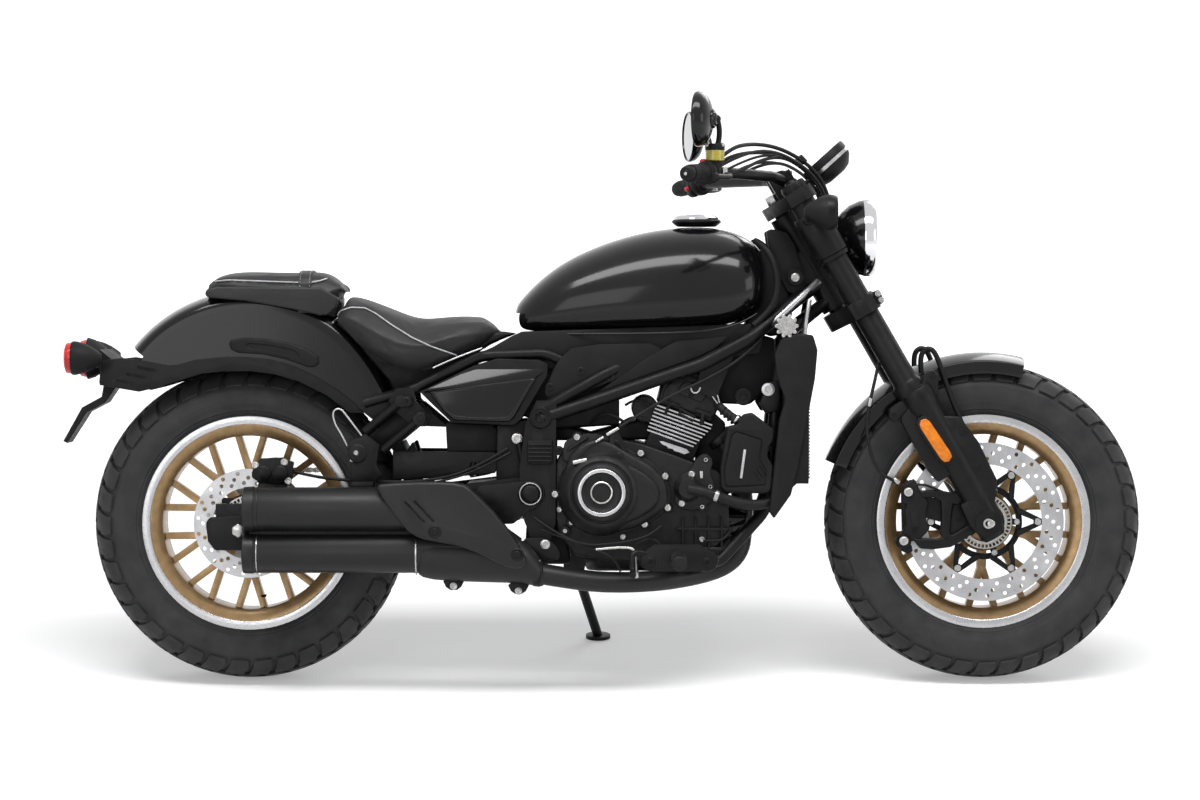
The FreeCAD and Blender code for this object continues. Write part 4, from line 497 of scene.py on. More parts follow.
def tread_block(name, crown, low, high, sweep, lean, tread):
    """One block of tread: a strip of the crown cut slantwise, then thickened and rounded."""
    profile = [low + (high - low) * step / 4 for step in range(5)]
    trace([(crown(across), across, 0) for across in profile])
    bpy.ops.mesh.spin(steps=3, angle=math.radians(sweep), center=(0, 0, 0), axis=(0, 1, 0))
    weld(FINE_WELD)
    leave_edit()
    block = newest(name)
    middle = crown((low + high) / 2) * MM
    turn = 1 if sum(vertex.co.z for vertex in block.data.vertices) > 0 else -1
    block.data.transform(tipped(turn * sweep / 2))
    for side in (-1, 1):
        open_up(block)
        reach = side * middle * math.sin(math.radians(sweep * 0.4))
        bpy.ops.mesh.bisect(plane_co=(middle, (low + high) / 2 * MM, reach), plane_no=(0,
            -side * math.sin(lean), side * math.cos(lean)), clear_outer=True)
        leave_edit()
    shaped(block, "SOLIDIFY", thickness=tread * MM, offset=1)
    open_up(block)
    face_out()
    reach = max(Vector((vertex.co.x, 0, vertex.co.z)).length for vertex in block.data.vertices)
    if reach < crown((low + high) / 2) * MM + 0.5 * tread * MM:
        block.data.transform(Matrix.Scale(1 + tread * MM / middle, 4, (1, 0, 0)))
    return soften(block, 0.8, 1, 40)


def tyre(name, radius, width, rise, rim_width, wheel, count):
    """Carcass with ringed sidewalls and rows of slanted tread blocks."""
    half = width / 2
    bead = rim_width / 2 - 4
    tread = 6

    def crown(across):
        return radius - tread - rise * (1 - math.sqrt(max(0, 1 - (across / half) ** 2)))

    side = [(bead - 4, 203), (bead + 1, 205), (bead + 2.5, 216), (half - 11, 221), (half - 8.5, 223),
        (half - 8, 226), (half - 5.5, 228), (half - 2.2, 240), (half - 1.2, 242), (half - 1.1, 245),
        (half, 247.5), (half, radius - rise - 12), (half - 0.8, radius - rise - 4),
        (half - 0.4, radius - rise + 1)]
    upper = [(across, crown(across)) for across in (half - 1.5, half - 5, half - 11, half - 20, half - 32,
        16, 0)]
    outline = side + upper + [(-across, high) for across, high in reversed(side + upper[:-1])]
    carcass = turned(name, outline, "Y", (0, 0, 0), 96)
    rows = []
    step = 360 / count
    edge = half - 3.5
    for low, high, lean, shift in ((-edge, -half * 0.5, -0.5, 0), (-half * 0.45, -half * 0.14, 0.55, 0.5),
            (-half * 0.09, half * 0.09, -0.3, 0.2), (half * 0.14, half * 0.45, 0.55, 0.1),
            (half * 0.5, edge, -0.5, 0.6)):
        block = tread_block(name + "_block", crown, low, high, step, lean, tread)
        block.data.transform(tipped(step * shift))
        rows.append(copies(block, count))
    whole = join([carcass, join(rows)], name)
    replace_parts(park(whole, TYRE, *wheel, 30), name.replace("_rubber", "_tyre"))


def rim_lips(name, rim_width, wheel):
    """Bright turned ring on each edge of the rim."""
    edge = rim_width / 2
    ring = [(edge - 3.9, 216.5), (edge + 0.6, 216), (edge + 1.2, 214.5), (edge + 1.2, 201.5),
        (edge + 0.6, 200), (edge - 0.9, 198.5), (edge - 3.9, 198.5)]
    one = turned(name, ring, "Y", (0, 0, 0), 96)
    park(join([one, mirrored(one)], name), LIP, *wheel, 30)


def drilled_disc(name, outer, inner, low, high, rows, count, wheel):
    """Brake ring with staggered rows of holes: one sector filled round its holes, then copied."""
    sweep = 2 * math.pi / count

    def on_ring(radius, share):
        return (radius * math.cos(sweep * share), low, radius * math.sin(sweep * share))

    shares = (-0.5, -0.25, 0, 0.25, 0.5)
    outline = [on_ring(outer, share) for share in shares] + [on_ring(inner, share)
        for share in reversed(shares)]
    trace(outline + outline[:1])
    for index, row in enumerate(rows):
        share = (index + 0.5) / len(rows) - 0.5
        bpy.ops.mesh.primitive_circle_add(vertices=12, radius=4.2 * MM, location=Vector(on_ring(row,
            share)) * MM, rotation=(math.pi / 2, 0, 0))
    weld()
    bpy.ops.mesh.fill(use_beauty=True)
    leave_edit()
    whole = copies(newest(name), count)
    open_up(whole)
    weld(0.05 * MM)
    bpy.ops.mesh.extrude_region_move(TRANSFORM_OT_translate={"value": (0, (high - low) * MM, 0)})
    close_up()
    return park(whole, DISC_STEEL_AND_HIGHLIGHT, *wheel, 30)


def carrier(name, reach, hub, low, high, arms, wheel):
    """Black carrier: ring on hub spokes, and forked tabs with rivets that reach the brake ring."""
    ring = hub + 8
    parts = [turned(name, [(low, hub), (high, hub), (high, ring + 4), (low, ring + 4)], "Y", (0, 0, 0), 60)]
    for way in (-1, 1):
        strut = plate("strut", [(ring - 10, way * 31), (ring + 1, way * 27), (reach - 2, way * 9),
            (reach - 3, way * 2), (reach - 12, way * 3), (ring - 7, way * 17)], low, high, 1.0, 1)
        parts.append(copies(strut, arms))
    seat = lathed("seat", [(low, 9), (high, 9)], "Y", (reach - 4, 0, 0), 20)
    parts.append(copies(seat, arms))
    inner = plate("spoke", [(24, -8), (hub + 2, -6), (hub + 2, 6), (24, 8)], low, high, 1.2, 1)
    parts.append(copies(inner, 5))
    park(join(parts, name), SATIN, *wheel)
    rivet = lathed(name + "_rivet", [(low - 2, 3.4), (low - 1.2, 3.6), (low - 1.2, 6.4), (low - 0.4, 7.2),
        (high, 7.2)], "Y", (reach - 4, 0, 0), 20)
    park(copies(rivet, arms), STEEL, *wheel)
    hub_bolt = lathed(name + "_bolt", [(low - 3.4, 2.6), (low - 4, 3), (low - 4, 5), (low - 3, 6),
        (high, 6)], "Y", (hub + 1, 0, 0), 18)
    park(copies(hub_bolt, 5), STEEL, *wheel)


def wheels():
    """Both wheels: tyres, rims with bright lips, brake discs on carriers, sensor rings and valves."""
    tyre("front_rubber", 320, 130, 44, 98, FRONT_WHEEL, 40)
    tyre("rear_rubber", 317, 150, 50, 118, REAR_WHEEL, 38)
    dressed("front_rim", BRONZE, 2.0, 2, 38)
    dressed("rear_rim", BRONZE, 2.0, 2, 38)
    rim_lips("front_rim_lips", 98, FRONT_WHEEL)
    rim_lips("rear_rim_lips", 118, REAR_WHEEL)
    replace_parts(drilled_disc("front_brake_ring", 160, 116, -68, -63, (150, 139, 127), 26, FRONT_WHEEL),
        "front_disc")
    carrier("front_carrier", 112, 64, -66.5, -61, 6, FRONT_WHEEL)
    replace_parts(drilled_disc("rear_brake_ring", 110, 72, -75, -70, (102, 92, 82), 20, REAR_WHEEL),
        "rear_disc")
    carrier("rear_carrier", 78, 40, -74, -69, 5, REAR_WHEEL)
    tone_ring("front_tone_ring", 40, 46, -72, FRONT_WHEEL)
    tone_ring("rear_tone_ring", 38, 47, -79, REAR_WHEEL)
    for name, wheel, across in (("front_valve", FRONT_WHEEL, -8), ("rear_valve", REAR_WHEEL, -10)):
        stem = lathed(name, [(0, 3), (3, 3.4), (5, 3.4), (6, 2.4), (22, 2.4), (24, 5), (28, 7)], "Z",
            (14, across, -178), 16)
        stem.data.transform(tipped(-4))
        park(stem, RUBBER, *wheel)


def tone_ring(name, inner, outer, across, wheel):
    """Slotted ring that the wheel-speed sensor reads."""
    ring = turned(name, [(across, inner), (across + 3, inner), (across + 3, outer), (across, outer)], "Y",
        (0, 0, 0), 60)
    tooth = plate("tooth", [(outer - 0.5, -1.4), (outer + 6, -1.4), (outer + 6, 1.4), (outer - 0.5, 1.4)],
        across, across + 3, 0, 1)
    rim = turned(name, [(across, outer + 6), (across + 3, outer + 6), (across + 3, outer + 9),
        (across, outer + 9)], "Y", (0, 0, 0), 60)
    park(join([ring, copies(tooth, 40), rim], name), STEEL, *wheel)


wheels()


# Front end
def fork_castings():
    """Wide lower legs with fins, guards, ears, bolts and reflectors on their seats."""
    for side, tag in SIDES:
        def leg_plate(name, outline, near, far, edge):
            return plate(name, outline, side * near, side * far, edge)

        leg = lathed("leg", [(-14, 22), (-10, 27.5), (40, 29), (150, 30), (262, 31), (268, 34), (300, 34),
            (304, 32), (306, 27)], "Z", (8, side * 105, 0), 40)
        fin = leg_plate("fin", [(-44, 120), (-50, 150), (-48, 262), (-44, 270), (20, 296), (20, 120)],
            92, 122, 3)
        guard = leg_plate("guard", [(10, 24), (38, 34), (60, 66), (66, 150), (58, 214), (30, 232), (8, 228)],
            99, 127, 4)
        ear = leg_plate("ear", [(-62, 268), (-66, 282), (-56, 296), (20, 304), (44, 322), (60, 322),
            (64, 306), (44, 272)], 94, 116, 4)
        foot = leg_plate("foot", [(-20, -28), (22, -28), (34, 0), (36, 60), (-30, 60), (-34, 10)],
            84, 128, 6)
        steer(join([leg, fin, guard, ear, foot], "fork_casting_" + tag), SATIN, fork)
        for forward, up, across in ((48, 184, 128), (42, 108, 128), (-56, 282, 117), (54, 312, 117)):
            bolt(f"fork_bolt_{up}_{side + 1}", forward, side * across, up, 6.5, 4, side, SATIN, "steering",
                fork)
        amber = leg_plate("fork_reflector_" + tag, [(-18, 160), (-14, 150), (-6, 147), (4, 152), (6, 162),
            (1, 236), (-4, 245), (-13, 247), (-20, 241), (-22, 232)], 126, 139, 1.6)
        steer(amber, AMBER, fork)
        seat = leg_plate(f"reflector_seat_{side + 1}", [(-23, 158), (-16, 144), (-4, 141), (9, 150),
            (11, 162), (5, 240), (-2, 251), (-15, 253), (-25, 246), (-27, 232)], 119, 135.6, 1.5)
        steer(seat, SATIN, fork)


def fender_brace():
    """Round-bar loop that carries the front fender, on both sides."""
    for side in (-1, 1):
        loop = pipe(f"fender_brace_{side + 1}", on_side(side, [(1505, 84, 378), (1478, 86, 430),
            (1440, 86, 510), (1408, 86, 590), (1385, 84, 662), (1368, 80, 672), (1352, 78, 655),
            (1356, 76, 620)]), 5.5)
        steer(loop, SATIN)
    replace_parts(loop, "fender_stays")


fork_castings()
fender_brace()


# Seats
def cushion(node, name, cap, passes):
    """Seat foam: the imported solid's shape, shrunk, blown up by cloth pressure and smoothed."""
    pad = copy_of(node, name)
    open_up(pad)
    weld()
    leave_edit()
    bpy.ops.mesh.customdata_custom_splitnormals_clear()
    pad.data.remesh_voxel_size = 0.0055
    bpy.ops.object.voxel_remesh()
    shaped(pad, "DISPLACE", strength=-0.002, mid_level=0)
    shaped(pad, "SMOOTH", factor=0.5, iterations=passes)
    rest = [vertex.co.copy() for vertex in pad.data.vertices]
    cloth = pad.modifiers.new("cloth", "CLOTH")
    cloth.settings.use_pressure = True
    cloth.settings.uniform_pressure_force = 4
    cloth.settings.quality = 5
    cloth.settings.effector_weights.gravity = 0
    for step in range(1, 21):
        bpy.context.scene.frame_set(step)
    bpy.ops.object.modifier_apply(modifier="cloth")
    bpy.context.scene.frame_set(1)
    for vertex, start in zip(pad.data.vertices, rest):
        shift = vertex.co - start
        if shift.length > cap:
            vertex.co = start + shift * (cap / shift.length)
    shaped(pad, "SUBSURF", levels=1, render_levels=1)
    bpy.ops.object.shade_smooth()
    pad.data.materials.clear()
    pad.data.materials.append(SEAT)
    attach(pad, "chassis")
    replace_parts(pad, node)
    return pad


def on_surface(pad, x, z, side, proud):
    """Where the pad's flank lies at a point of the side view, a little proud of it."""
    tool = parked.to_3x3()
    start = parked @ Vector((x * MM, side * 0.4, z * MM))
    hit, place, normal, _ = pad.ray_cast(start, tool @ Vector((0, -side, 0)))
    if not hit:
        return None
    return place + normal * proud * MM


def seam(name, pad, line, side, radius):
    """Piping sewn along a line of the pad's flank, with the cover drawn in beside it."""
    route = []
    for (x1, z1), (x2, z2) in zip(line, line[1:]):
        for step in range(4):
            share = step / 4
            spot = on_surface(pad, x1 + (x2 - x1) * share, z1 + (z2 - z1) * share, side, radius * 0.35)
            if spot:
                route.append(spot)
    draw_in(pad, route, 0.011, 0.0022)
    leaned = parked.inverted()
    cord = pipe(name, [(leaned @ spot) / MM for spot in route], radius, 3, 6)
    return park(cord, PIPING)


def draw_in(pad, route, width, depth):
    """Pull the cover in along a seam."""
    for vertex in pad.data.vertices:
        near = min((vertex.co - spot).length for spot in route)
        if near < width:
            vertex.co -= vertex.normal * depth * (1 - near / width) ** 2


def seats():
    """Rider's and pillion's pads with piping, strap, pans and rolls."""
    rider = cushion("rider_seat", "rider_pad", 0.006, 6)
    pillion = cushion("pillion_seat", "pillion_pad", 0.006, 3)
    rider_line = [(176, 728), (187, 745), (209, 752), (236, 751), (258, 740), (294, 715), (334, 691),
        (370, 675), (401, 664), (428, 654)]
    pillion_line = [(-66, 804), (-38, 807), (47, 804), (101, 802), (128, 802), (147, 806), (164, 812)]
    for side in (-1, 1):
        seam(f"rider_piping_{side + 1}", rider, rider_line, side, 1.5)
        seam(f"pillion_piping_{side + 1}", pillion, pillion_line, side, 1.5)
    strap(pillion)
    park(plate("rider_seat_pan", [(168, 716), (206, 684), (251, 641), (284, 604), (298, 572), (332, 583),
        (492, 681), (540, 700), (512, 704), (420, 690), (330, 668), (250, 700), (190, 730)], -74, 74, 6, 3),
        PLASTIC)
    park(plate("pillion_base", [(-88, 778), (-60, 784), (0, 779), (60, 770), (110, 757), (150, 738),
        (176, 730), (186, 764), (176, 790), (60, 796), (-60, 796), (-84, 789)], -74, 74, 6, 3), PLASTIC)
    roll = [(-84, 778), (-78, 772), (0, 765), (91, 749), (148, 736), (162, 737), (178, 752), (184, 772),
        (150, 792), (-60, 794), (-82, 786)]
    for side in (-1, 1):
        park(plate(f"pillion_roll_{side + 1}", roll, side * 70, side * 104, 7, 3), SEAT, smooth=60)


def on_top(pad, x, y, proud):
    """Where the pad's top lies above a point of the plan, a little proud of it."""
    start = parked @ Vector((x * MM, y * MM, 1.0))
    hit, place, normal, _ = pad.ray_cast(start, parked.to_3x3() @ Vector((0, 0, -1)))
    return parked.inverted() @ (place + normal * proud * MM) / MM if hit else None


def strap(pad):
    """Flat strap over the pillion pad, folded at its edges, with two stitched rows."""
    turn = parked.inverted()
    half = []
    for across in (0, 20, 40, 58, 72, 84):
        half.append(on_top(pad, 116, -across, 2.2))
    for level in (806, 797, 788, 778, 769):
        spot = on_surface(pad, 116, level, -1, 2.2)
        if spot:
            half.append((turn @ spot) / MM)
    half = [spot for spot in half if spot]
    half.sort(key=lambda spot: -spot.y + (820 - spot.z) * 0.4)
    for spot in half:
        spot.x = 116
    half.append(Vector((116, half[-1].y + 1.5, 752)))
    half.append(Vector((116, half[-1].y + 4, 742)))
    run = [Vector((116, -spot.y, spot.z)) for spot in reversed(half[1:])] + half
    trace([(p.x - 13, p.y, p.z) for p in run])
    bpy.ops.mesh.extrude_region_move(TRANSFORM_OT_translate={"value": (0.026, 0, 0)})
    bpy.ops.mesh.select_all(action="SELECT")
    bpy.ops.mesh.subdivide(number_cuts=1)
    leave_edit()
    band = newest("pillion_strap")
    shaped(band, "SOLIDIFY", thickness=3.4 * MM, offset=0)
    soften(band, 1.0, 2, 50)
    rows = []
    for offset in (-9.5, 9.5):
        for start, end in zip(run, run[1:]):
            length = (end - start).length
            count = max(1, int(length / 5.5))
            for index in range(count):
                spot = start + (end - start) * ((index + 0.5) / count)
                away = (end - start).normalized().cross(Vector((1, 0, 0))) * 1.9
                if away.y * spot.y < 0 or (abs(spot.y) < 60 and away.z < 0):
                    away = -away
                half = (end - start).normalized() * 1.7
                shift = Vector((offset, 0, 0)) + away
                rows.append(rod("stitch", spot + shift - half, spot + shift + half, 0.45, sides=5))
    park(join(rows, "strap_stitches"), PIPING)
    park(band, SEAT, smooth=60)


# Tank, fenders and side covers
def section(half, low, widest, high, points=14):
    """Rounded cross-section of the tank, from low to high and widest in between."""
    ring = []
    for index in range(points):
        turn = 2 * math.pi * (index + 0.5) / points - math.pi / 2
        across = math.cos(turn)
        up = math.sin(turn)
        if up > 0:
            y = half * math.copysign(abs(across) ** 0.92, across)
            z = widest + (high - widest) * abs(up) ** 0.94
        else:
            y = half * math.copysign(abs(across) ** 0.55, across)
            z = widest - (widest - low) * abs(up) ** 0.7
        ring.append((y, z))
    return ring


def lofted(name, stations, levels=2):
    """Closed skin drawn through cross-sections given as (x, [(y, z)...])."""
    rings = []
    for x, ring in stations:
        trace([(x, y, z) for y, z in ring + ring[:1]])
        weld(FINE_WELD)
        leave_edit()
        rings.append(bpy.context.object)
    skin = join(rings, name)
    open_up(skin)
    bpy.ops.mesh.bridge_edge_loops()
    bpy.ops.mesh.select_all(action="DESELECT")
    bpy.ops.mesh.select_mode(type="EDGE")
    bpy.ops.mesh.select_non_manifold()
    bpy.ops.mesh.edge_face_add()
    bpy.ops.mesh.select_mode(type="VERT")
    face_out()
    return shaped(skin, "SUBSURF", levels=levels, render_levels=levels)


def tank():
    """Teardrop tank with its tunnel, bottom flange, front trim, filler ring and cap."""
    stations = [(537, section(30, 716, 729, 740)), (538, section(44, 708, 730, 752)),
        (544, section(62, 702, 732, 764)), (560, section(80, 700, 736, 783)), (588, section(98, 699, 744,
        812)), (640, section(116, 699, 755, 852)), (720, section(133, 700, 768, 888)),
        (800, section(142, 701, 776, 911)), (880, section(145, 704, 782, 921)),
        (950, section(141, 709, 788, 919)), (1000, section(130, 724, 794, 903)),
        (1030, section(108, 744, 800, 880)), (1044, section(70, 766, 806, 852))]
    skin = lofted("tank_shell", stations)
    tunnel = plate("tunnel", [(500, 600), (1100, 600), (1100, 862), (1040, 836), (850, 742), (700, 741),
        (500, 741)], -60, 60, 0)
    carve(skin, tunnel)
    soften(skin, 0.8, 1, 50)
    park(skin, GLOSS, smooth=50)
    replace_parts(skin, "fuel_tank")
    flange = pipe("tank_flange", [(556, -62, 702), (600, -90, 699.5), (700, -117, 699.5), (820, -131, 700),
        (920, -131, 704), (990, -119, 718), (1024, -98, 740)], 2.4, 3, 8)
    park(join([flange, mirrored(flange)], "tank_flange"), GLOSS)
    trims = []
    for side in (-1, 1):
        trims.append(pipe("trim", on_side(side, [(1022, 60, 886), (1036, 78, 880), (1056, 92, 850),
            (1066, 98, 812), (1062, 102, 770), (1044, 106, 738), (1016, 112, 716)]), 7, 4, 10))
    park(join(trims, "tank_front_trim"), PLASTIC)
    park(turned("filler_ring", [(-6, 40), (2, 50), (5, 50), (8, 47), (8, 40)], "Z", (905, 0, 923), 64),
        SATIN)
    cap = lathed("filler_cap", [(4, 45), (8, 46.5), (13, 46), (17, 41), (18.5, 36), (18.5, 20), (16.5, 18)],
        "Z", (905, 0, 921), 64)
    flap = slab_up("flap", [(884, -7), (922, -9), (926, 0), (922, 9), (884, 7)], 935, 941.5, 1.5)
    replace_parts(park(join([cap, flap], "filler_cap"), CHROME), "tank_cap")


def bent_plate(name, outline, low, high, edge, bend):
    """Plate whose outline bulges outwards towards its middle, by moving its outer face's inner ring."""
    piece = plate(name, outline, low, high, 0)
    alone(piece)
    bpy.ops.object.mode_set(mode="EDIT")
    bpy.ops.mesh.select_mode(type="FACE")
    bpy.ops.mesh.select_all(action="DESELECT")
    leave_edit()
    outer = high if abs(high) > abs(low) else low
    for face in piece.data.polygons:
        face.select = abs(face.center.y - outer * MM) < 0.0001 and abs(face.normal.y) > 0.9
    bpy.ops.object.mode_set(mode="EDIT")
    bpy.ops.mesh.inset(thickness=bend[0] * MM, depth=bend[1] * MM)
    bpy.ops.mesh.select_mode(type="VERT")
    leave_edit()
    return soften(piece, edge, 2, 12)


def side_cover_skins():
    """Side covers: satin back, glossy lower panel, tilted upper facet and a fine raised border."""
    outline = [(348, 584), (372, 560), (413, 521), (536, 516), (552, 528), (604, 616), (605, 640),
        (585, 648), (503, 650), (456, 636)]
    ring = [(376, 584), (400, 546), (421, 532), (522, 530), (532, 538), (573, 606)]
    for side, tag in SIDES:
        back = plate("side_cover_" + tag, outline, side * 112, side * 131, 4)
        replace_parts(park(back, SATIN), "side_covers")
        lower = [(366, 586), (398, 542), (418, 526), (526, 523), (538, 532), (582, 612)]
        park(bent_plate("cover_panel_" + tag, lower, side * 129, side * 141, 3, (5, 3)), GLOSS)
        upper = [(356, 584), (372, 594), (430, 622), (500, 646), (586, 645), (603, 637), (598, 626),
            (576, 610)]
        facet = plate("cover_facet_" + tag, upper, side * 128, side * 143.5, 3)
        hinge = moved(0, side * 143.5, 592)
        facet.data.transform(hinge @ tipped(side * 19, "X") @ hinge.inverted())
        park(facet, GLOSS)
        park(pipe("cover_border_" + tag, [(x, side * 143.6, z) for x, z in ring], 1.3, 2, 2), MUFFLER)


def rear_fender_skin():
    """Rear fender: a smooth spun crown with rolled edges, and the deep skirts below it."""
    arch = [(-95.5, 264), (-95.5, 274), (-93.5, 282), (-88, 288.5), (-78, 293.5), (-55, 299.5), (-28, 303.6),
        (0, 305)]
    arch = arch + [(-across, high) for across, high in reversed(arch[:-1])]
    first = math.radians(15)
    x0, z0 = 1.4, 484
    trace([(x0 + reach * math.cos(first), across, z0 + reach * math.sin(first)) for across, reach in arch])
    bpy.ops.mesh.spin(steps=72, angle=math.radians(126), center=Vector((x0, 0, z0)) * MM, axis=(0, 1, 0))
    close_up()
    skin = newest("rear_fender_skin")
    shaped(skin, "SOLIDIFY", thickness=3 * MM, offset=-1)
    skirt = [(x0 + 270 * math.cos(math.radians(a)), z0 + 270 * math.sin(math.radians(a))) for a in range(15,
        142, 6)]
    skirt += [(-216, 640), (-182, 604), (-143, 611), (-90, 627), (-47, 632), (10, 632), (56, 626),
        (106, 611), (160, 584), (206, 549), (236, 540)]
    sides = [plate("skirt", skirt, side * 92.4, side * 95.3, 0) for side in (-1, 1)]
    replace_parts(park(join([skin] + sides, "rear_fender_skin"), GLOSS, smooth=50), "rear_fender")


def fender_trims():
    """Both fenders, and the rear one's slotted tail bands, oval pads and bolts."""
    dressed("front_fender", GLOSS, 3.0, 3, 30, 60)
    rear_fender_skin()
    band = [(-292, 646), (-249, 651), (-220, 647), (-159, 636), (-139, 637), (-105, 647), (-47, 653),
        (-5, 653), (41, 649), (87, 637), (133, 616), (175, 591), (214, 561), (236, 540), (206, 541),
        (160, 576), (106, 603), (56, 618), (10, 624), (-47, 624), (-90, 619), (-143, 603), (-182, 591),
        (-216, 583), (-281, 594), (-296, 600)]
    for side, tag in SIDES:
        stay = plate("fender_band_" + tag, band, side * 96.4, side * 106, 1.2)
        for x, z in ((-200, 628), (-222, 614.5), (-243, 602)):
            slot = plate("slot", [(x - 19, z + 5.2), (x - 15, z + 6.6), (x + 16, z + 0.8), (x + 19, z - 2.6),
                (x + 15, z - 5), (x - 16, z + 0.8)], side * 101, side * 112, 0)
            carve(stay, slot)
        park(stay, SATIN)
        if side < 0:
            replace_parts(stay, "fender_bands")
        pad = [(-36, 680), (-32, 687), (-5, 692), (41, 689), (87, 681), (125, 667), (143, 654), (145, 641),
            (137, 633), (124, 632), (79, 648), (33, 658), (-17, 661), (-32, 668)]
        oval = bent_plate("fender_pad_" + tag, pad, side * 95.4, side * 101.5, 1.6, (4, 1.5))
        groove = [(-3, 676), (4, 681), (49, 677), (95, 667), (106, 658), (103, 650), (68, 660), (10, 669)]
        carve(oval, plate("groove", groove, side * 101, side * 112, 0))
        soften(oval, 0.5, 1, 50)
        park(oval, PLASTIC)
        for x, z in ((-17, 675), (125, 649)):
            bolt(f"pad_bolt_{tag}_{x + 17}", x, side * 102, z, 6.5, 3.5, side, SATIN)


def tail():
    """Tail lamp with its cup and ridged lens, the floor ahead of it, and signals with ridged lenses."""
    park(lathed("tail_lamp_cup", [(-296, 24), (-318, 38), (-330, 42), (-333, 42), (-333, 38), (-326, 36)],
        "X", (0, 0, 649), 48), PLASTIC)
    lens = turned("tail_lens", [(-328, 0.01), (-328, 37.5), (-338, 38), (-346, 36), (-350, 30),
        (-350.5, 0.01)], "X", (0, 0, 649), 48)
    park(lens, RED)
    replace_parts(lens, "tail_lamp")
    ribs = [turned("rib", [(-351, 8 + 9 * index), (-352, 9 + 9 * index), (-351, 10 + 9 * index)], "X",
        (0, 0, 649), 40) for index in range(3)]
    park(join(ribs, "tail_lens_ribs"), RED)
    park(plate("tail_floor", [(-306, 638), (-168, 634), (-168, 628), (-306, 630)], -74, 74, 2), PLASTIC)
    for side, tag in SIDES:
        shell = turned("rear_signal_" + tag, [(-286, 0.01), (-286, 9), (-292, 14), (-304, 22), (-318, 29),
            (-334, 33.5), (-341, 33.8), (-344, 32.5), (-344, 29), (-338, 0.01)], "X", (0, side * 150, 651),
            48)
        stalk = rod("stalk", (-318, side * 92, 648), (-318, side * 130, 650), 9, 10, 24, 2)
        park(join([shell, stalk], "rear_signal_" + tag), PLASTIC)
        park(turned("rear_signal_lens_" + tag, [(-340, 0.01), (-340, 30.5), (-351, 31), (-355, 29),
            (-356.5, 24), (-357.4, 0.01)], "X", (0, side * 150, 651), 48), RED)
        ridges = [turned("ridge", [(at, reach - 0.8), (at - 1.4, reach), (at, reach + 0.8)], "X",
            (0, side * 150, 651), 40) for at, reach in ((-357.2, 7), (-357, 14), (-356.4, 21))]
        park(join(ridges, "rear_signal_ridges_" + tag), RED)
    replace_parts(bpy.data.objects["rear_signal_right"], "rear_signals")


seats()
tank()
side_cover_skins()
fender_trims()
tail()


# Engine
def eased(outline, rounds=2):
    """An outline with its corners cut round."""
    for _ in range(rounds):
        ring = []
        for (x1, z1), (x2, z2) in zip(outline, outline[1:] + outline[:1]):
            ring.append((x1 * 0.75 + x2 * 0.25, z1 * 0.75 + z2 * 0.25))
            ring.append((x1 * 0.25 + x2 * 0.75, z1 * 0.25 + z2 * 0.75))
        outline = ring
    return outline


def grown(outline, margin):
    """An outline moved outwards from its middle."""
    x0 = sum(x for x, _ in outline) / len(outline)
    z0 = sum(z for _, z in outline) / len(outline)
    ring = []
    for x, z in outline:
        reach = math.hypot(x - x0, z - z0)
        share = (reach + margin) / reach
        ring.append((x0 + (x - x0) * share, z0 + (z - z0) * share))
    return ring


def clutch_side():
    """Right engine cover: flange, domed casting, front lobe, stepped cap and its bright ring."""
    cover = [(634, 381), (636, 425), (652, 466), (690, 492), (730, 487), (765, 464), (817, 436), (844, 400),
        (846, 360), (822, 336), (776, 309), (713, 301), (662, 320), (640, 348)]
    flange = plate("flange", eased(grown(cover, 5)), -142, -126, 1.5)
    casting = soften(plate("casting", eased(cover), -164, -126, 0), 12, 5, 60)
    lobe = [(720, 452), (775, 438), (818, 410), (830, 380), (822, 356), (786, 330), (735, 316)]
    lobe = soften(plate("lobe", eased(lobe), -173, -150, 0), 9, 4, 60)
    dome = lathed("dome", [(-140, 88), (-156, 86), (-165, 80), (-173, 73), (-178, 69), (-181, 64.5),
        (-181.5, 62.5), (-180, 61), (-180, 59.5), (-183.5, 58), (-187.5, 53.5), (-190, 50), (-190, 48),
        (-186.5, 47.6), (-186.5, 40), (-184, 38.5), (-181.8, 31), (-181.8, 23.4), (-184.6, 22.6),
        (-185.4, 21.2), (-184.6, 19.4), (-183.2, 18.6)], "Y", (712, 0, 384), 80)
    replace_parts(park(join([flange, casting, lobe, dome], "clutch_casting"), ENGINE, smooth=45),
        "clutch_cover")
    park(turned("clutch_ring", [(-186, 40.2), (-190.6, 40.6), (-191.4, 41.8), (-191.2, 46.2), (-190.4, 47.3),
        (-186, 47.4), (-186, 40.2)], "Y", (712, 0, 384), 80), LIP)
    park(turned("clutch_inner_ring", [(-184, 18.9), (-186.4, 19.3), (-186.8, 20.8), (-186, 22.1),
        (-184, 22.3), (-184, 18.9)], "Y", (712, 0, 384), 64), STEEL)
    bosses("cover_bosses", [(663, 493), (790, 461), (839, 415), (844, 352), (872, 361), (892, 419),
        (619, 379), (639, 306), (798, 319), (727, 479), (920, 448), (929, 394), (651, 322), (740, 300),
        (913, 354)], 9.5, -144, -112)
    bolts("cover_bolts", [(663, -143, 493), (790, -143, 461), (839, -143, 415), (844, -143, 352),
        (872, -143, 361), (892, -143, 419), (619, -143, 379), (798, -143, 319)], 6.6, 6)
    bolts("cover_small_bolts", [(639, -143, 306), (727, -143, 479), (920, -143, 448), (929, -143, 394),
        (651, -143, 322), (913, -143, 354), (913, -130, 288), (628, -130, 348), (755, -143, 294)], 4.6, 5)
    bolts("cover_dark_bolts", [(740, -143, 300), (627, -134, 466)], 8, 4, coat=SATIN)


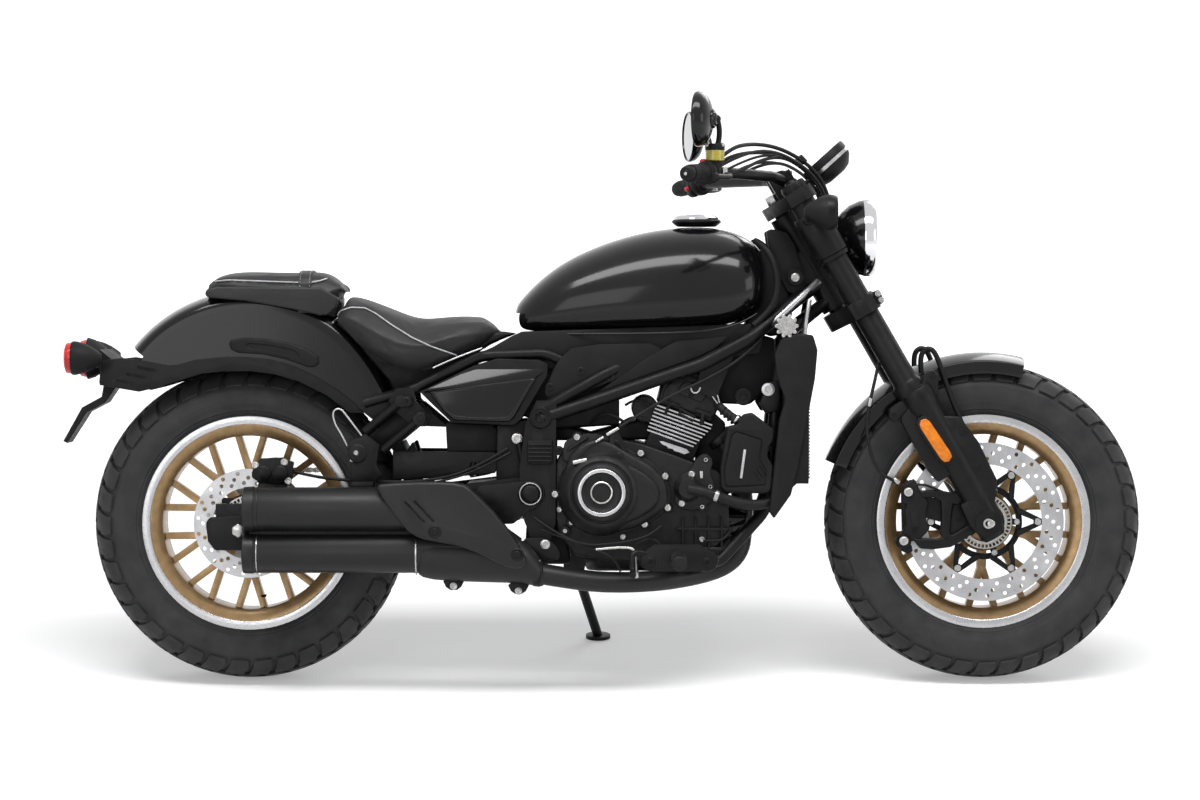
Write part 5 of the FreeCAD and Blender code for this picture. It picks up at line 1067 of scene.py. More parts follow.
def bosses(name, spots, radius, near, far, coat=ENGINE, side=-1):
    """Round cast bosses that the cover's bolts go into."""
    x, z = spots[0]
    first = lathed(name, [(near, radius - 1), (near - side, radius), (far, radius + 1.5)], "Y", (x, 0, z),
        20)
    park(join(spread(first, [(ahead, 0, up) for ahead, up in spots]), name), coat)


def bolts(name, spots, radius=6.0, height=4.0, side=-1, coat=STEEL, body="chassis", place=upright):
    """Socket-head bolts: one head modelled on its seat, then copied to the other seats."""
    head = lathed(name, [(side * (height - 2.8), radius * 0.46), (side * (height - 0.2), radius * 0.54),
        (side * height, radius * 0.62), (side * height, radius * 0.86), (side * (height - 0.8), radius),
        (side * 0.8, radius), (side * 0.5, radius * 1.18), (-side, radius * 1.2)], "Y", spots[0], 18)
    return park(join(spread(head, spots), name), coat, body, place)


def gearbox_side():
    """Gearbox cover with ribs, and the clutch arm with its bracket, cable and wire."""
    cover = plate("gearbox_cover", eased([(636, 436), (634, 478), (652, 494), (690, 502), (730, 494),
        (746, 470), (700, 440)], 1), -146, -112, 3)
    ribs = [plate("rib", [(652, 455), (700, 486), (704, 480), (656, 449)], -150, -144, 1.5, 1), plate("rib",
        [(642, 470), (684, 496), (687, 491), (645, 464)], -150, -144, 1.5, 1)]
    park(join([cover] + ribs, "gearbox_cover"), ENGINE)
    bracket = plate("clutch_bracket", [(728, 500), (735, 510), (745, 507), (764, 468), (762, 446),
        (738, 442), (728, 462)], -160, -154, 2)
    carve(bracket, plate("window", [(738, 490), (746, 487), (752, 470), (738, 472)], -170, -140, 0))
    stem = lathed("stem", [(-140, 12), (-162, 10), (-168, 9), (-170, 6)], "Y", (747, 0, 455), 24)
    arm = plate("arm", eased([(752, 460), (748, 446), (672, 436), (656, 440), (656, 448), (668, 451),
        (740, 464)], 1), -173, -168, 1.5)
    park(join([bracket, stem, arm], "clutch_arm"), SATIN)
    park(join([rod("end", (655, -172, 443), (683, -172, 449), 5, 5, 14, 1), rod("ferrule", (722, -162, 498),
        (746, -160, 512), 4.2, 3.6, 14, 0.8), rod("ferrule", (700, -166, 484), (716, -163, 494),
        3, 3, 12, 0.6)], "clutch_cable_ends"), STEEL)
    park(pipe("clutch_cable", [(1032, -112, 690), (1012, -120, 668), (965, -130, 632), (908, -132, 602),
        (855, -140, 578), (797, -150, 545), (748, -158, 514)], 3), RUBBER)
    park(pipe("clutch_wire", [(722, -162, 498), (706, -165, 488), (683, -170, 470), (666, -171, 450)],
        1.2, 2), SATIN)


def fins():
    """Bright machined edges on the cylinder's fins, the small plate below and the core behind them."""
    strips = []
    edges = []
    for index in range(8):
        up = 38 - 7.6 * index
        reach = 62 - (0 if index < 2 else 3.4 * (index - 1))
        strips.append(slab_up("fin", [(-60, -106), (reach, -106), (reach - 8, 106), (-60, 106)],
            up - 2.2, up + 2.2, 0.8, 1))
        for side in (-1, 1):
            end = reach - 1 if side < 0 else reach - 9
            edges.append(plate("edge", [(-59, up - 1.8), (end, up - 1.8), (end, up + 1.8), (-59, up + 1.8)],
                side * 105, side * 107.5, 0.4, 1))
    park(join(strips, "cylinder_fins"), ENGINE, place=cylinder)
    park(join(edges, "cylinder_fin_edges"), LIP, place=cylinder)
    core = slab_up("barrel", [(-52, -98), (50, -98), (50, 98), (-52, 98)], -50, 44, 4, 2)
    park(core, ENGINE, place=cylinder)
    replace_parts(core, "cylinder_block")
    park(plate("cylinder_plate", [(828, 484), (834, 477), (842, 474), (846, 469), (854, 468), (858, 463),
        (866, 462), (877, 457), (889, 461), (883, 468), (835, 484)], -109, -98, 1), DISC_STEEL_AND_HIGHLIGHT)


def dark_fillers():
    """Plain ducts and brackets behind the head that close the view through the engine."""
    left = plate("intake_duct", [(612, 524), (690, 500), (780, 524), (836, 540), (842, 486), (612, 484)],
        -70, 70, 6, 3)
    ahead = plate("coil_bracket", [(925, 560), (925, 690), (1010, 704), (1062, 690), (1064, 600),
        (1010, 556)], -70, 70, 6, 3)
    front = plate("front_cover", [(900, 545), (940, 540), (962, 520), (966, 392), (905, 392)], -60, 60, 5, 3)
    low = plate("rear_case", [(562, 330), (640, 332), (650, 236), (556, 236)], -96, 96, 6, 3)
    neck = plate("neck_cover", [(1000, 716), (1056, 694), (1092, 700), (1100, 760), (1062, 870), (1034, 872),
        (1020, 800), (1016, 740)], -50, 50, 6, 3)
    park(join([left, ahead, front, low, neck], "dark_fillers"), PLASTIC)


def head_fittings():
    """Head with its stepped sides, bolts, breather pipes, plug cap, throttle body and leads."""
    dressed("cylinder_head", ENGINE, 5, 3)
    for side in (-1, 1):
        step = plate("head_step", [(-50, 48), (54, 48), (58, 70), (44, 104), (26, 116), (-26, 116),
            (-44, 104), (-54, 70)], side * 98, side * 108, 3)
        lid = plate("lid", [(-22, 74), (24, 74), (30, 88), (22, 104), (-20, 104), (-28, 88)],
            side * 106, side * 113, 3)
        tag = "right" if side < 0 else "left"
        park(join([step, lid], "head_side_" + tag), ENGINE, place=cylinder)
        bolts("head_bolts_" + tag, on_side(side, [(-40, 108, 58), (44, 108, 58), (-36, 108, 98),
            (36, 108, 98), (0, 113, 80), (0, 113, 98)]), 4.4, 4, side, SATIN, place=cylinder)
    parts = [pipe("breather", [(840, -108, 538), (846, -112, 556), (854, -114, 560), (868, -112, 553)],
        3.2, 3), rod("rail", (868, -112, 549), (900, -112, 532), 3.4, sides=12, edge=0.6), rod("rail",
        (866, -112, 540), (896, -112, 524), 2.6, sides=12, edge=0.6), rod("tee", (913, -112, 516),
        (915, -112, 540), 4.5, sides=14, edge=0.8), rod("tee", (900, -112, 546), (932, -112, 534),
        4.5, sides=14, edge=0.8)]
    park(join(parts, "head_pipes"), PLASTIC)
    park(lathed("plug_cap", [(-104, 12), (-112, 12), (-116, 9.5), (-118, 7)], "Y", (901, 0, 592), 28),
        RUBBER)
    park(pipe("plug_clip", [(890, -119, 596), (891, -119, 586), (898, -119, 580), (907, -119, 583),
        (910, -119, 592)], 2.2, 3), STEEL)
    park(lathed("throttle_body", [(-100, 25), (-94, 27), (-60, 27), (60, 27), (94, 27), (100, 25)], "Y",
        (800, 0, 548), 32), ENGINE)
    leads = [pipe("lead", [(760, -96, 556), (780, -108, 570), (800, -110, 560), (822, -104, 548)], 2.6, 3),
        pipe("lead", [(752, -92, 520), (770, -106, 534), (792, -108, 530), (816, -100, 520)], 2.2, 3),
        pipe("lead", [(690, -90, 520), (712, -112, 540), (740, -114, 536), (760, -106, 520)], 3, 3)]
    park(join(leads, "intake_leads"), RUBBER)


def lower_case():
    """Crankcase with its ribs and sills, the oil filter and the sump."""
    dressed("crankcase", ENGINE, 4, 3, 40)
    ribs = [plate("rib", [(x, 258), (x + 5, 258), (x + 5, 330), (x, 336)], -134, -120, 1.5, 1)
            for x in (872, 898, 924, 950)]
    ribs.append(plate("sill", [(840, 262), (968, 262), (972, 272), (838, 272)], -134, -120, 2, 1))
    ribs.append(plate("sill", [(860, 306), (966, 306), (964, 313), (862, 313)], -134, -120, 2, 1))
    park(join(ribs, "case_ribs"), ENGINE)
    park(lathed("oil_filter", [(944, 33), (950, 35), (1000, 35), (1006, 33), (1010, 28)], "X", (0, -40, 322),
        36), GLOSS)
    park(slab_up("sump", [(700, -92), (900, -92), (920, -60), (920, 60), (900, 92), (700, 92), (680, 60),
        (680, -60)], 222, 262, 8, 3), ENGINE)


def water_pump():
    """Pump cover with its snout and lug, and the two hoses with their clamps and clip."""
    cover = plate("pump_plate", eased([(856, 372), (866, 350), (905, 346), (935, 368), (938, 400),
        (928, 420), (936, 448), (920, 462), (902, 452), (892, 430), (866, 414)], 1), -146, -112, 3)
    snout = lathed("snout", [(-140, 28), (-150, 26), (-154, 21.5), (-160, 20.5), (-163, 18)], "Y",
        (884, 0, 390), 40)
    park(join([cover, snout], "water_pump"), ENGINE)
    park(rod("pump_lug", (911, -150, 426), (911, -150, 411), 4.2, sides=14, edge=1), STEEL)
    park(pipe("lower_hose", [(886, -158, 390), (912, -163, 386), (945, -160, 374), (985, -150, 361),
        (1024, -140, 356), (1056, -128, 366), (1080, -112, 392), (1100, -108, 410)], 11), RUBBER)
    collars = [rod("collar", (936, -161, 378), (944, -160.5, 375), 13, sides=24, edge=1), rod("collar",
        (1068, -121, 378), (1073, -118, 384), 13, sides=24, edge=1)]
    park(join(collars, "hose_clamps"), STEEL)
    upper = pipe("upper_hose", [(938, -96, 566), (950, -112, 552), (966, -122, 538), (984, -128, 526),
        (1002, -130, 520)], 8.5)
    ridges = [rod("ridge", (955 + 7 * i, -117 - 3 * i, 546 - 6 * i), (957.5 + 7 * i, -118 - 3 * i,
        544 - 6 * i), 10.4, sides=20, edge=0.8) for i in range(4)]
    park(join([upper] + ridges, "upper_hose"), RUBBER)
    clip = [pipe("clip", [(944, -120, 560), (938, -122, 568), (934, -122, 574)], 1.6, 2), pipe("clip",
        [(948, -120, 562), (946, -122, 570), (944, -122, 577)], 1.6, 2), rod("collar", (981, -127, 529),
        (985, -128, 526), 10.8, sides=24, edge=0.8)]
    park(join(clip, "upper_hose_clip"), STEEL)


def coolant_tank():
    """Coolant box with its sunk panel, a rib in bright disc steel as a painted highlight, slanted ribs and
    bolts.
    """
    outline = [(950, 392), (949, 432), (963, 514), (984, 519), (994, 538), (1013, 542), (1056, 509),
        (1054, 486), (1046, 474), (1043, 455), (1054, 436), (1050, 388), (1041, 381), (958, 381)]
    box = soften(plate("coolant_tank", outline, -152, -112, 0), 5, 3, 25)
    inset = [(956, 400), (955, 430), (971, 500), (981, 506), (1031, 490), (1033, 484), (1029, 449),
        (1041, 427), (1040, 396), (961, 392)]
    carve(box, plate("recess", inset, -170, -149.6, 0))
    soften(box, 0.8, 2, 50)
    park(box, PLASTIC)
    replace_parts(box, "coolant_box")
    panel = soften(plate("coolant_panel", grown(inset, -3.5), -152.2, -148, 0), 1.6, 3, 20)
    park(panel, PLASTIC)
    # The rib is black moulded plastic; bright disc steel paints the highlight along its ridge
    park(rod("coolant_rib_painted_highlight", (998, -152, 469), (990, -152, 411), 3.4, sides=16, edge=1.4), DISC_STEEL_AND_HIGHLIGHT)
    ribs = [rod("rib", (1018 + 5 * i, -152.4, 424 + 7 * i), (1029 + 6 * i, -152.4, 407 + 7 * i),
        1.8, sides=10, edge=0.6) for i in range(3)]
    park(join(ribs, "coolant_slant_ribs"), PLASTIC)
    bolts("coolant_bolts", [(1049, -118, 470), (1052, -118, 428), (966, -118, 386)], 6, 4, coat=SATIN)


def radiator_front():
    """Radiator with its shrouds, tubes and fins, and the filler cap on its neck."""
    dressed("radiator_shrouds", PLASTIC, 5, 3)
    dressed("radiator", PLASTIC, 1.5, 2)
    tubes = [rod("tube", (1128, -124, 412 + 6.5 * i), (1128, 124, 412 + 6.5 * i),
        1.7, sides=6) for i in range(36)]
    park(join(tubes, "radiator_tubes"), SATIN)
    waves = [rod("fin", (1127, -122 + 7 * i, 408), (1127, -122 + 7 * i, 644),
        0.9, sides=5) for i in range(36)]
    park(join(waves, "radiator_fins"), DISC_STEEL_AND_HIGHLIGHT)
    cap = lathed("cap", [(-136, 14), (-142, 14), (-142, 19), (-153, 19), (-155, 17), (-155, 9),
        (-156.5, 7.5)], "Y", (1081, 0, 715), 40)
    tooth = rod("tooth", (1101, -143, 715), (1101, -154, 715), 4, sides=8, edge=0.8)
    park(join([cap, copies(tooth, 10, (1081, 0, 715))], "radiator_cap"), STEEL)
    park(turned("neck", [(-138, 12), (-96, 12), (-96, 16), (-138, 16)], "Y", (1081, 0, 715), 32), PLASTIC)


def frame_joints():
    """Frame and swingarm, and the caps, gussets, panels, boxes, braces and bolts on both sides."""
    for side, tag in SIDES:

        def facing(name, outline, near, far, edge):
            return plate(name + tag, outline, side * near, side * far, edge)

        def knob(x, z, radius, near, far, depth):
            return lathed("knob", [(side * near, radius), (side * (far - 2), radius),
                (side * far, radius - 2), (side * far, radius * 0.78), (side * (far - 1.5), radius * 0.74),
                (side * (far - 1.5), radius * 0.52), (side * (far - depth), radius * 0.46)], "Y", (x, 0, z),
                40)

        cap = knob(590, 532, 22, 108, 142, 9)
        tooth = rod("tooth", (599.6, side * 134, 532), (599.6, side * 139, 532), 2.4, sides=8, edge=0.5)
        park(join([cap, copies(tooth, 6, (590, 0, 532))], "engine_mount_" + tag), SATIN)
        park(knob(996, 573, 17, 100, 126, 6), SATIN).name = "gusset_cap_" + tag
        park(knob(1103, 813, 18, 50, 70, 5), SATIN).name = "head_cap_" + tag
        park(facing("neck_panel_", eased([(592, 568), (612, 622), (628, 650), (660, 678), (860, 682),
            (770, 622), (700, 590), (640, 572)], 1), 112, 121, 2.5), PLASTIC)
        bolts("neck_bolts_" + tag, on_side(side, [(609, 121, 593), (671, 121, 625), (730, 121, 612)]),
            7.5, 3, side, SATIN)
        park(facing("tube_gusset_", [(1046, 600), (1028, 560), (1040, 540), (1070, 545), (1070, 610)],
            96, 112, 3), SATIN)
        bolts("gusset_bolts_" + tag, [(1046, side * 112, 588)], 11, 6, side, DISC_STEEL_AND_HIGHLIGHT)
        park(facing("under_tank_panel_", [(452, 655), (492, 672), (530, 694), (552, 704), (1010, 720),
            (1036, 700), (1030, 660), (860, 640), (600, 628)], 50, 104, 4), PLASTIC)
        park(facing("battery_box_", [(399, 521), (494, 518), (506, 500), (508, 470), (498, 462), (402, 462)],
            30, 100, 3), PLASTIC)
        park(facing("frame_column_", [(503, 522), (562, 526), (566, 400), (500, 400)], 60, 110, 3), SATIN)
        louvre = facing("louvred_box_", [(564, 487), (614, 487), (614, 439), (564, 439)], 134, 144, 3)
        bars = [rod("bar", (566, side * 145, 446 + 8 * i), (612, side * 145, 446 + 8 * i),
            2.6, sides=10, edge=0.8) for i in range(5)]
        park(join([louvre] + bars, "louvred_box_" + tag), PLASTIC)
        park(rod("frame_link_" + tag, (543, side * 118, 500), (556, side * 118, 430), 6, sides=12, edge=1),
            SATIN)
        bolts("frame_link_bolt_" + tag, [(543, side * 122, 490)], 9, 6, side)
        park(pipe("seat_rail_trim_" + tag, on_side(side, [(375, 128, 631), (400, 128, 643), (440, 128, 659),
            (473, 127, 671)]), 1.9, 3), DISC_STEEL_AND_HIGHLIGHT)
        park(facing("head_side_panel_", eased([(1040, 905), (1058, 912), (1094, 900), (1128, 800),
            (1112, 772), (1078, 790)], 1), 30, 61, 3), PLASTIC)
        bolts("head_cap_bolt_" + tag, [(1103, side * 66, 813)], 8, 4, side)
        brace = rod("brace", (1024, side * 112, 694), (1150, side * 66, 806), 7, sides=20, edge=0.8)
        short = rod("brace", (1118, side * 90, 690), (1131, side * 76, 768), 5, sides=14, edge=0.8)
        # The right-side braces get bright disc steel as a painted highlight; the left ones stay satin black
        park(join([brace, short], "head_braces_" + tag), DISC_STEEL_AND_HIGHLIGHT if side < 0 else SATIN)
    dressed("main_frame", SATIN, 1.2, 1, 50)
    dressed("frame_covers", PLASTIC, 3, 2)
    dressed("swingarm", SATIN, 4, 3)
    dressed("air_box", PLASTIC, 6, 3)


# Exhaust
def heat_guard():
    """Pressed shield over the upper muffler with slots and two bolts, and the boxed collector below."""
    outline = [(262, 398), (280, 405), (371, 409), (437, 406), (460, 389), (512, 336), (562, 262),
        (565, 246), (551, 234), (521, 239), (441, 279), (375, 290), (349, 297), (322, 314)]
    shield = soften(plate("shield", eased(outline, 1), -235, -196, 0), 14, 5, 60)
    for (x1, z1), (x2, z2) in (((326, 367), (362, 329)), ((344, 369), (380, 331))):
        carve(shield, plate("slot", [(x1 - 3, z1), (x1, z1 + 3), (x2 + 3, z2), (x2, z2 - 3)], -250, -228, 0))
    soften(shield, 0.7, 2, 60)
    park(shield, MUFFLER, smooth=50)
    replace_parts(shield, "heat_shield")
    rings = [turned("ring", [(-234, 9), (-236.4, 9.6), (-237, 11.4), (-236, 13), (-234, 13.4), (-234, 9)],
        "Y", (x, 0, z), 32) for x, z in ((383, 309), (546, 264))]
    park(join(rings, "shield_bolt_rings"), SATIN)
    bolts("shield_bolts", [(383, -234.6, 309), (546, -234.6, 264)], 7, 3, coat=SATIN)


def oval_ring(half_wide, half_high, middle, points=20):
    """Oval cross-section about a middle given as (y, z)."""
    y0, z0 = middle
    turns = [2 * math.pi * i / points for i in range(points)]
    return [(y0 + half_wide * math.cos(turn), z0 + half_high * math.sin(turn)) for turn in turns]


def exhaust():
    """Header pipes, mufflers with end rings and dark mouths, collector, clamp, lugs and brackets."""
    dressed("mufflers", MUFFLER, 2, 2, 40)
    headers = []
    for y, back in ((-44, -182), (44, -150)):
        headers.append(pipe("header", [(952, y, 486), (972, y, 452), (990, y * 0.9 - 8, 420),
            (1000, y * 0.9 - 8, 360), (997, y - 12, 300), (992, y - 12, 262), (966, y * 0.8 - 30, 233),
            (914, y * 0.6 - 46, 214), (828, back + 56, 203), (725, back + 22, 202), (652, back + 4, 211),
            (590, back, 222)], 20, 6, 8))
        headers.append(rod("flange", (946, y, 492), (956, y, 480), 30, sides=32, edge=2))
    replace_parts(park(join(headers, "header_pipes"), MUFFLER, smooth=60), "exhaust_header")
    park(plate("muffler_filler", [(12, 298), (12, 316), (352, 316), (352, 298)], -190, -170, 2), SATIN)
    park(lofted("collector_skin", [(346, oval_ring(30, 36, (-178, 262))), (350, oval_ring(41, 44,
        (-178, 258))), (400, oval_ring(42, 48, (-178, 254))), (540, oval_ring(42, 48, (-178, 252))),
        (572, oval_ring(36, 40, (-180, 240))), (592, oval_ring(25, 27, (-182, 222))), (600, oval_ring(18, 20,
        (-182, 220)))], 1), MUFFLER, smooth=60)
    for name, y, z, radius, start in (("upper", -186, 351, 44, 5), ("lower", -176, 264, 40, 3)):
        park(turned("muffler_ring_" + name, [(start - 3, radius - 9), (start - 4, radius - 3),
            (start - 2, radius + 0.6), (start + 16, radius + 1.6), (start + 18, radius + 0.8),
            (start + 19, radius - 1.5), (start + 19, radius - 9)], "X", (0, y, z), 64), MUFFLER)
        park(turned("muffler_mouth_" + name, [(start - 3, radius - 8.6), (start + 2, radius - 12),
            (start + 8, 26), (start + 8, 16), (start - 1, 15), (start - 1, 13), (start + 30, 12.6),
            (start + 30, 0.01)], "X", (0, y, z), 48), MUFFLER)
        park(turned("muffler_band_" + name, [(start + 24, radius - 1), (start + 24.4, radius + 0.7),
            (start + 26, radius + 0.7), (start + 26.4, radius - 1)], "X", (0, y, z), 64),
            STEEL if name == "lower" else MUFFLER)
    park(turned("muffler_joint", [(343, 38), (343, 41.4), (345.5, 41.8), (346, 38)], "X", (0, -177, 262),
        64), STEEL)
    lugs = [plate("lug", eased([(x - 24, z + 12), (x + 24, z + 12), (x + 12, z - 12), (x - 12, z - 12)], 1),
        -182, -170, 1.5) for x, z in ((418, 202), (547, 194))]
    park(join(lugs, "collector_lugs"), SATIN)
    bolts("collector_bolts", [(418, -182, 198), (547, -182, 188)], 6, 4)
    clamp = [rod("clamp", (578, -182, 223), (593, -182, 221), 25, sides=40, edge=2), plate("ear",
        [(580, 252), (592, 252), (592, 240), (580, 240)], -192, -172, 1.5)]
    park(join(clamp, "exhaust_clamp"), SATIN)
    bolts("clamp_bolt", [(586, -192, 247)], 4.4, 4)
    park(plate("muffler_bracket", eased([(446, 394), (549, 404), (576, 408), (596, 396), (600, 374),
        (584, 352), (563, 343), (527, 312), (483, 340)], 1), -142, -134, 3), SATIN)
    park(lathed("pivot_cap", [(-134, 26), (-144, 25), (-147, 22), (-147, 19.5), (-144.5, 18.5),
        (-144.5, 17.5), (-150, 16.5), (-152, 14)], "Y", (570, 0, 380), 48), SATIN)
    park(turned("pivot_rim", [(-145, 20), (-148, 20.4), (-148.6, 22), (-147.4, 23.4), (-145, 23.8),
        (-145, 20)], "Y", (570, 0, 380), 48), STEEL)
    park(plate("lower_bracket", eased([(552, 256), (552, 292), (590, 294), (612, 288), (630, 266),
        (628, 250), (606, 246)], 1), -160, -148, 3), SATIN)
    bolts("lower_bracket_bolt", [(600, -160, 280)], 8, 5)


# Rear end and controls
def guard_bar():
    """Black guard over the swingarm with its three slits, and the panels below the hanger plate."""
    outline = [(293, 464), (499, 462), (503, 440), (499, 420), (405, 411), (293, 406)]
    for side, tag in SIDES:
        bar = plate("swingarm_guard_" + tag, outline, side * 94, side * 108, 2)
        if side < 0:
            for x in (449, 457, 465):
                carve(bar, plate("slit", [(x - 4, 430), (x, 430), (x + 5, 443), (x + 1, 443)], -130, -80, 0))
        park(bar, SATIN)
        park(plate("hanger_web_" + tag, [(322, 566), (350, 560), (402, 516), (404, 512), (352, 514),
            (340, 520), (262, 470), (238, 486)], side * 60, side * 98, 3), PLASTIC)
        park(plate("hanger_skirt_" + tag, [(222, 552), (294, 583), (300, 560), (284, 531), (256, 525)],
            side * 97, side * 112, 2.5), PLASTIC)


def rear_end():
    """Hanger bolts, axle blocks and nuts, inner guard, caliper and its lines, shock and sprocket."""
    dressed("rear_hangers", SATIN, 1.5, 2, 40)
    dressed("inner_mudguard", PLASTIC, 3, 2, 40)
    dressed("rear_caliper", SATIN, 3, 2)
    for side, tag in SIDES:
        bosses("hanger_bosses_" + tag, [(322, 564), (350, 533)], 12, side * 143, side * 118, SATIN, side)
        bolts("hanger_bolts_" + tag, [(322, side * 142, 564), (350, side * 142, 533)], 9, 4, side, SATIN)
        block = plate("hanger_block", eased([(202, 478), (214, 492), (246, 490), (262, 468), (258, 450),
            (280, 408), (206, 396), (212, 440)], 1), side * 122, side * 146, 4)
        knob = lathed("knob", [(side * 140, 20), (side * 149, 19), (side * 151, 16)], "Y", (224, 0, 460), 32)
        park(join([block, knob], "hanger_block_" + tag), SATIN)
        bolts("hanger_block_bolts_" + tag, [(222, side * 151, 462), (214, side * 146, 448)], 4, 4, side)
        park(plate("guard_tip_" + tag, [(309, 445), (330, 480), (335, 481), (354, 420), (352, 404),
            (312, 404)], side * 60, side * 80, 3), PLASTIC)
        park(plate("axle_block", [(-80, 322), (-72, 332), (-14, 336), (40, 338), (40, 268), (-16, 266),
            (-62, 266), (-76, 284)], side * 113, side * 132, 4), SATIN).name = "axle_block_" + tag
        park(rod("axle_nut_" + tag, (-14, side * 130, 306), (-14, side * 142, 306), 15, 14, 6, 2), STEEL)
    park(pipe("hose_loop", [(204, -138, 476), (192, -138, 500), (179, -138, 520), (174, -138, 545),
        (190, -138, 552), (206, -138, 532), (233, -138, 496)], 2.1), DISC_STEEL_AND_HIGHLIGHT)
    hose = pipe("rear_brake_hose", [(86, -92, 424), (120, -100, 416), (170, -112, 408), (240, -118, 404),
        (320, -116, 402), (384, -118, 408), (438, -122, 422), (500, -124, 455), (524, -118, 470)], 3.2)
    twin = pipe("sensor_lead", [(380, -118, 402), (438, -123, 415), (504, -125, 448), (530, -118, 462)], 2.4)
    park(join([hose, twin], "rear_lines"), RUBBER)
    body = plate("caliper_cover", eased([(8, 402), (14, 440), (40, 450), (66, 452), (92, 440), (96, 414),
        (82, 396)], 1), -112, -96, 4)
    pots = [lathed("pot", [(-108, 16), (-118, 15), (-120, 12)], "Y", (x, 0, 420), 28) for x in (34, 68)]
    park(join([body] + pots, "rear_caliper_front"), SATIN)
    bolts("rear_caliper_bolts", [(18, -112, 436), (84, -112, 404), (76, -112, 442)], 6, 5)
    coil = spring()
    park(coil, SATIN)
    sheath = [rod("shock_top", (429, 0, 612), (436, 0, 574), 22, 24, 28, 2), rod("shock_foot", (466, 0, 410),
        (460, 0, 442), 22, 26, 28, 2), rod("shock_rod", (460, 0, 440), (436, 0, 576), 14, 14, 24)]
    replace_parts(park(join(sheath, "shock_body"), STEEL), "shock")
    dressed("rear_sprocket", STEEL, 0.8, 1)


def spring():
    """Coil round the shock."""
    foot = Vector((460, 0, 440))
    top = Vector((434, 0, 588))
    way = (top - foot)
    across = Vector((0, 1, 0))
    ahead = across.cross(way.normalized())
    turns = 7
    points = []
    for index in range(turns * 8 + 1):
        angle = 2 * math.pi * index / 8
        points.append(foot + way * (index / (turns * 8)) + (across * math.cos(angle)
            + ahead * math.sin(angle)) * 25)
    return pipe("shock_spring", points, 4.6, 3, 4)


def chain():
    """Drive chain: a link with its pins and one without, copied in turn along the run."""
    run = []
    big, small = 101.0, 36.0
    centre_big, centre_small = Vector((0, 317.19)), Vector((676, 384))
    axis = centre_small - centre_big
    reach = axis.length
    swing = math.asin((big - small) / reach)
    heading = math.atan2(axis.y, axis.x)
    straight = reach * math.cos(swing)
    wrap_big = math.pi + 2 * swing
    wrap_small = math.pi - 2 * swing
    total = 2 * straight + big * wrap_big + small * wrap_small
    count = 2 * round(total / 15.875 / 2)
    pitch = total / count
    up = heading + math.pi / 2 - swing
    down = heading - math.pi / 2 + swing
    for index in range(count):
        s = pitch * index
        if s < straight:
            start = centre_big + big * Vector((math.cos(up), math.sin(up)))
            way = up - math.pi / 2
            spot = start + s * Vector((math.cos(way), math.sin(way)))
        elif s < straight + small * wrap_small:
            turn = up - (s - straight) / small
            spot = centre_small + small * Vector((math.cos(turn), math.sin(turn)))
            way = turn - math.pi / 2
        elif s < 2 * straight + small * wrap_small:
            start = centre_small + small * Vector((math.cos(down), math.sin(down)))
            way = down - math.pi / 2
            spot = start + (s - straight - small * wrap_small) * Vector((math.cos(way), math.sin(way)))
        else:
            turn = down - (s - 2 * straight - small * wrap_small) / big
            spot = centre_big + big * Vector((math.cos(turn), math.sin(turn)))
            way = turn - math.pi / 2
        run.append((spot, way))
    links = []
    for wide in (0, 1):
        shape = [(-2, 4.2), (2, 5.4), (pitch / 2, 3.6), (pitch - 2, 5.4), (pitch + 2, 4.2), (pitch + 4.6, 0),
            (pitch + 2, -4.2), (pitch - 2, -5.4), (pitch / 2, -3.6), (2, -5.4), (-2, -4.2), (-4.6, 0)]
        near, far = (80.2, 82) if wide else (82.2, 84)
        cheeks = [plate("cheek", shape, near, far, 0), plate("cheek", shape, 172 - far, 172 - near, 0)]
        pins = [rod("pin", (x, 80.4, 0), (x, 91.6, 0), 2.6, sides=8) for x in (0, pitch)] if wide else []
        links.append(join(cheeks + pins, "link"))
    made = []
    for index, (spot, way) in enumerate(run):
        lay = moved(spot.x, 0, spot.y) @ Matrix.Rotation(-way, 4, "Y")
        made.append(twin_of(links[index % 2], lay))
    for source in links:
        bpy.data.objects.remove(source)
    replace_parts(park(join(made, "chain_links"), STEEL), "drive_chain")


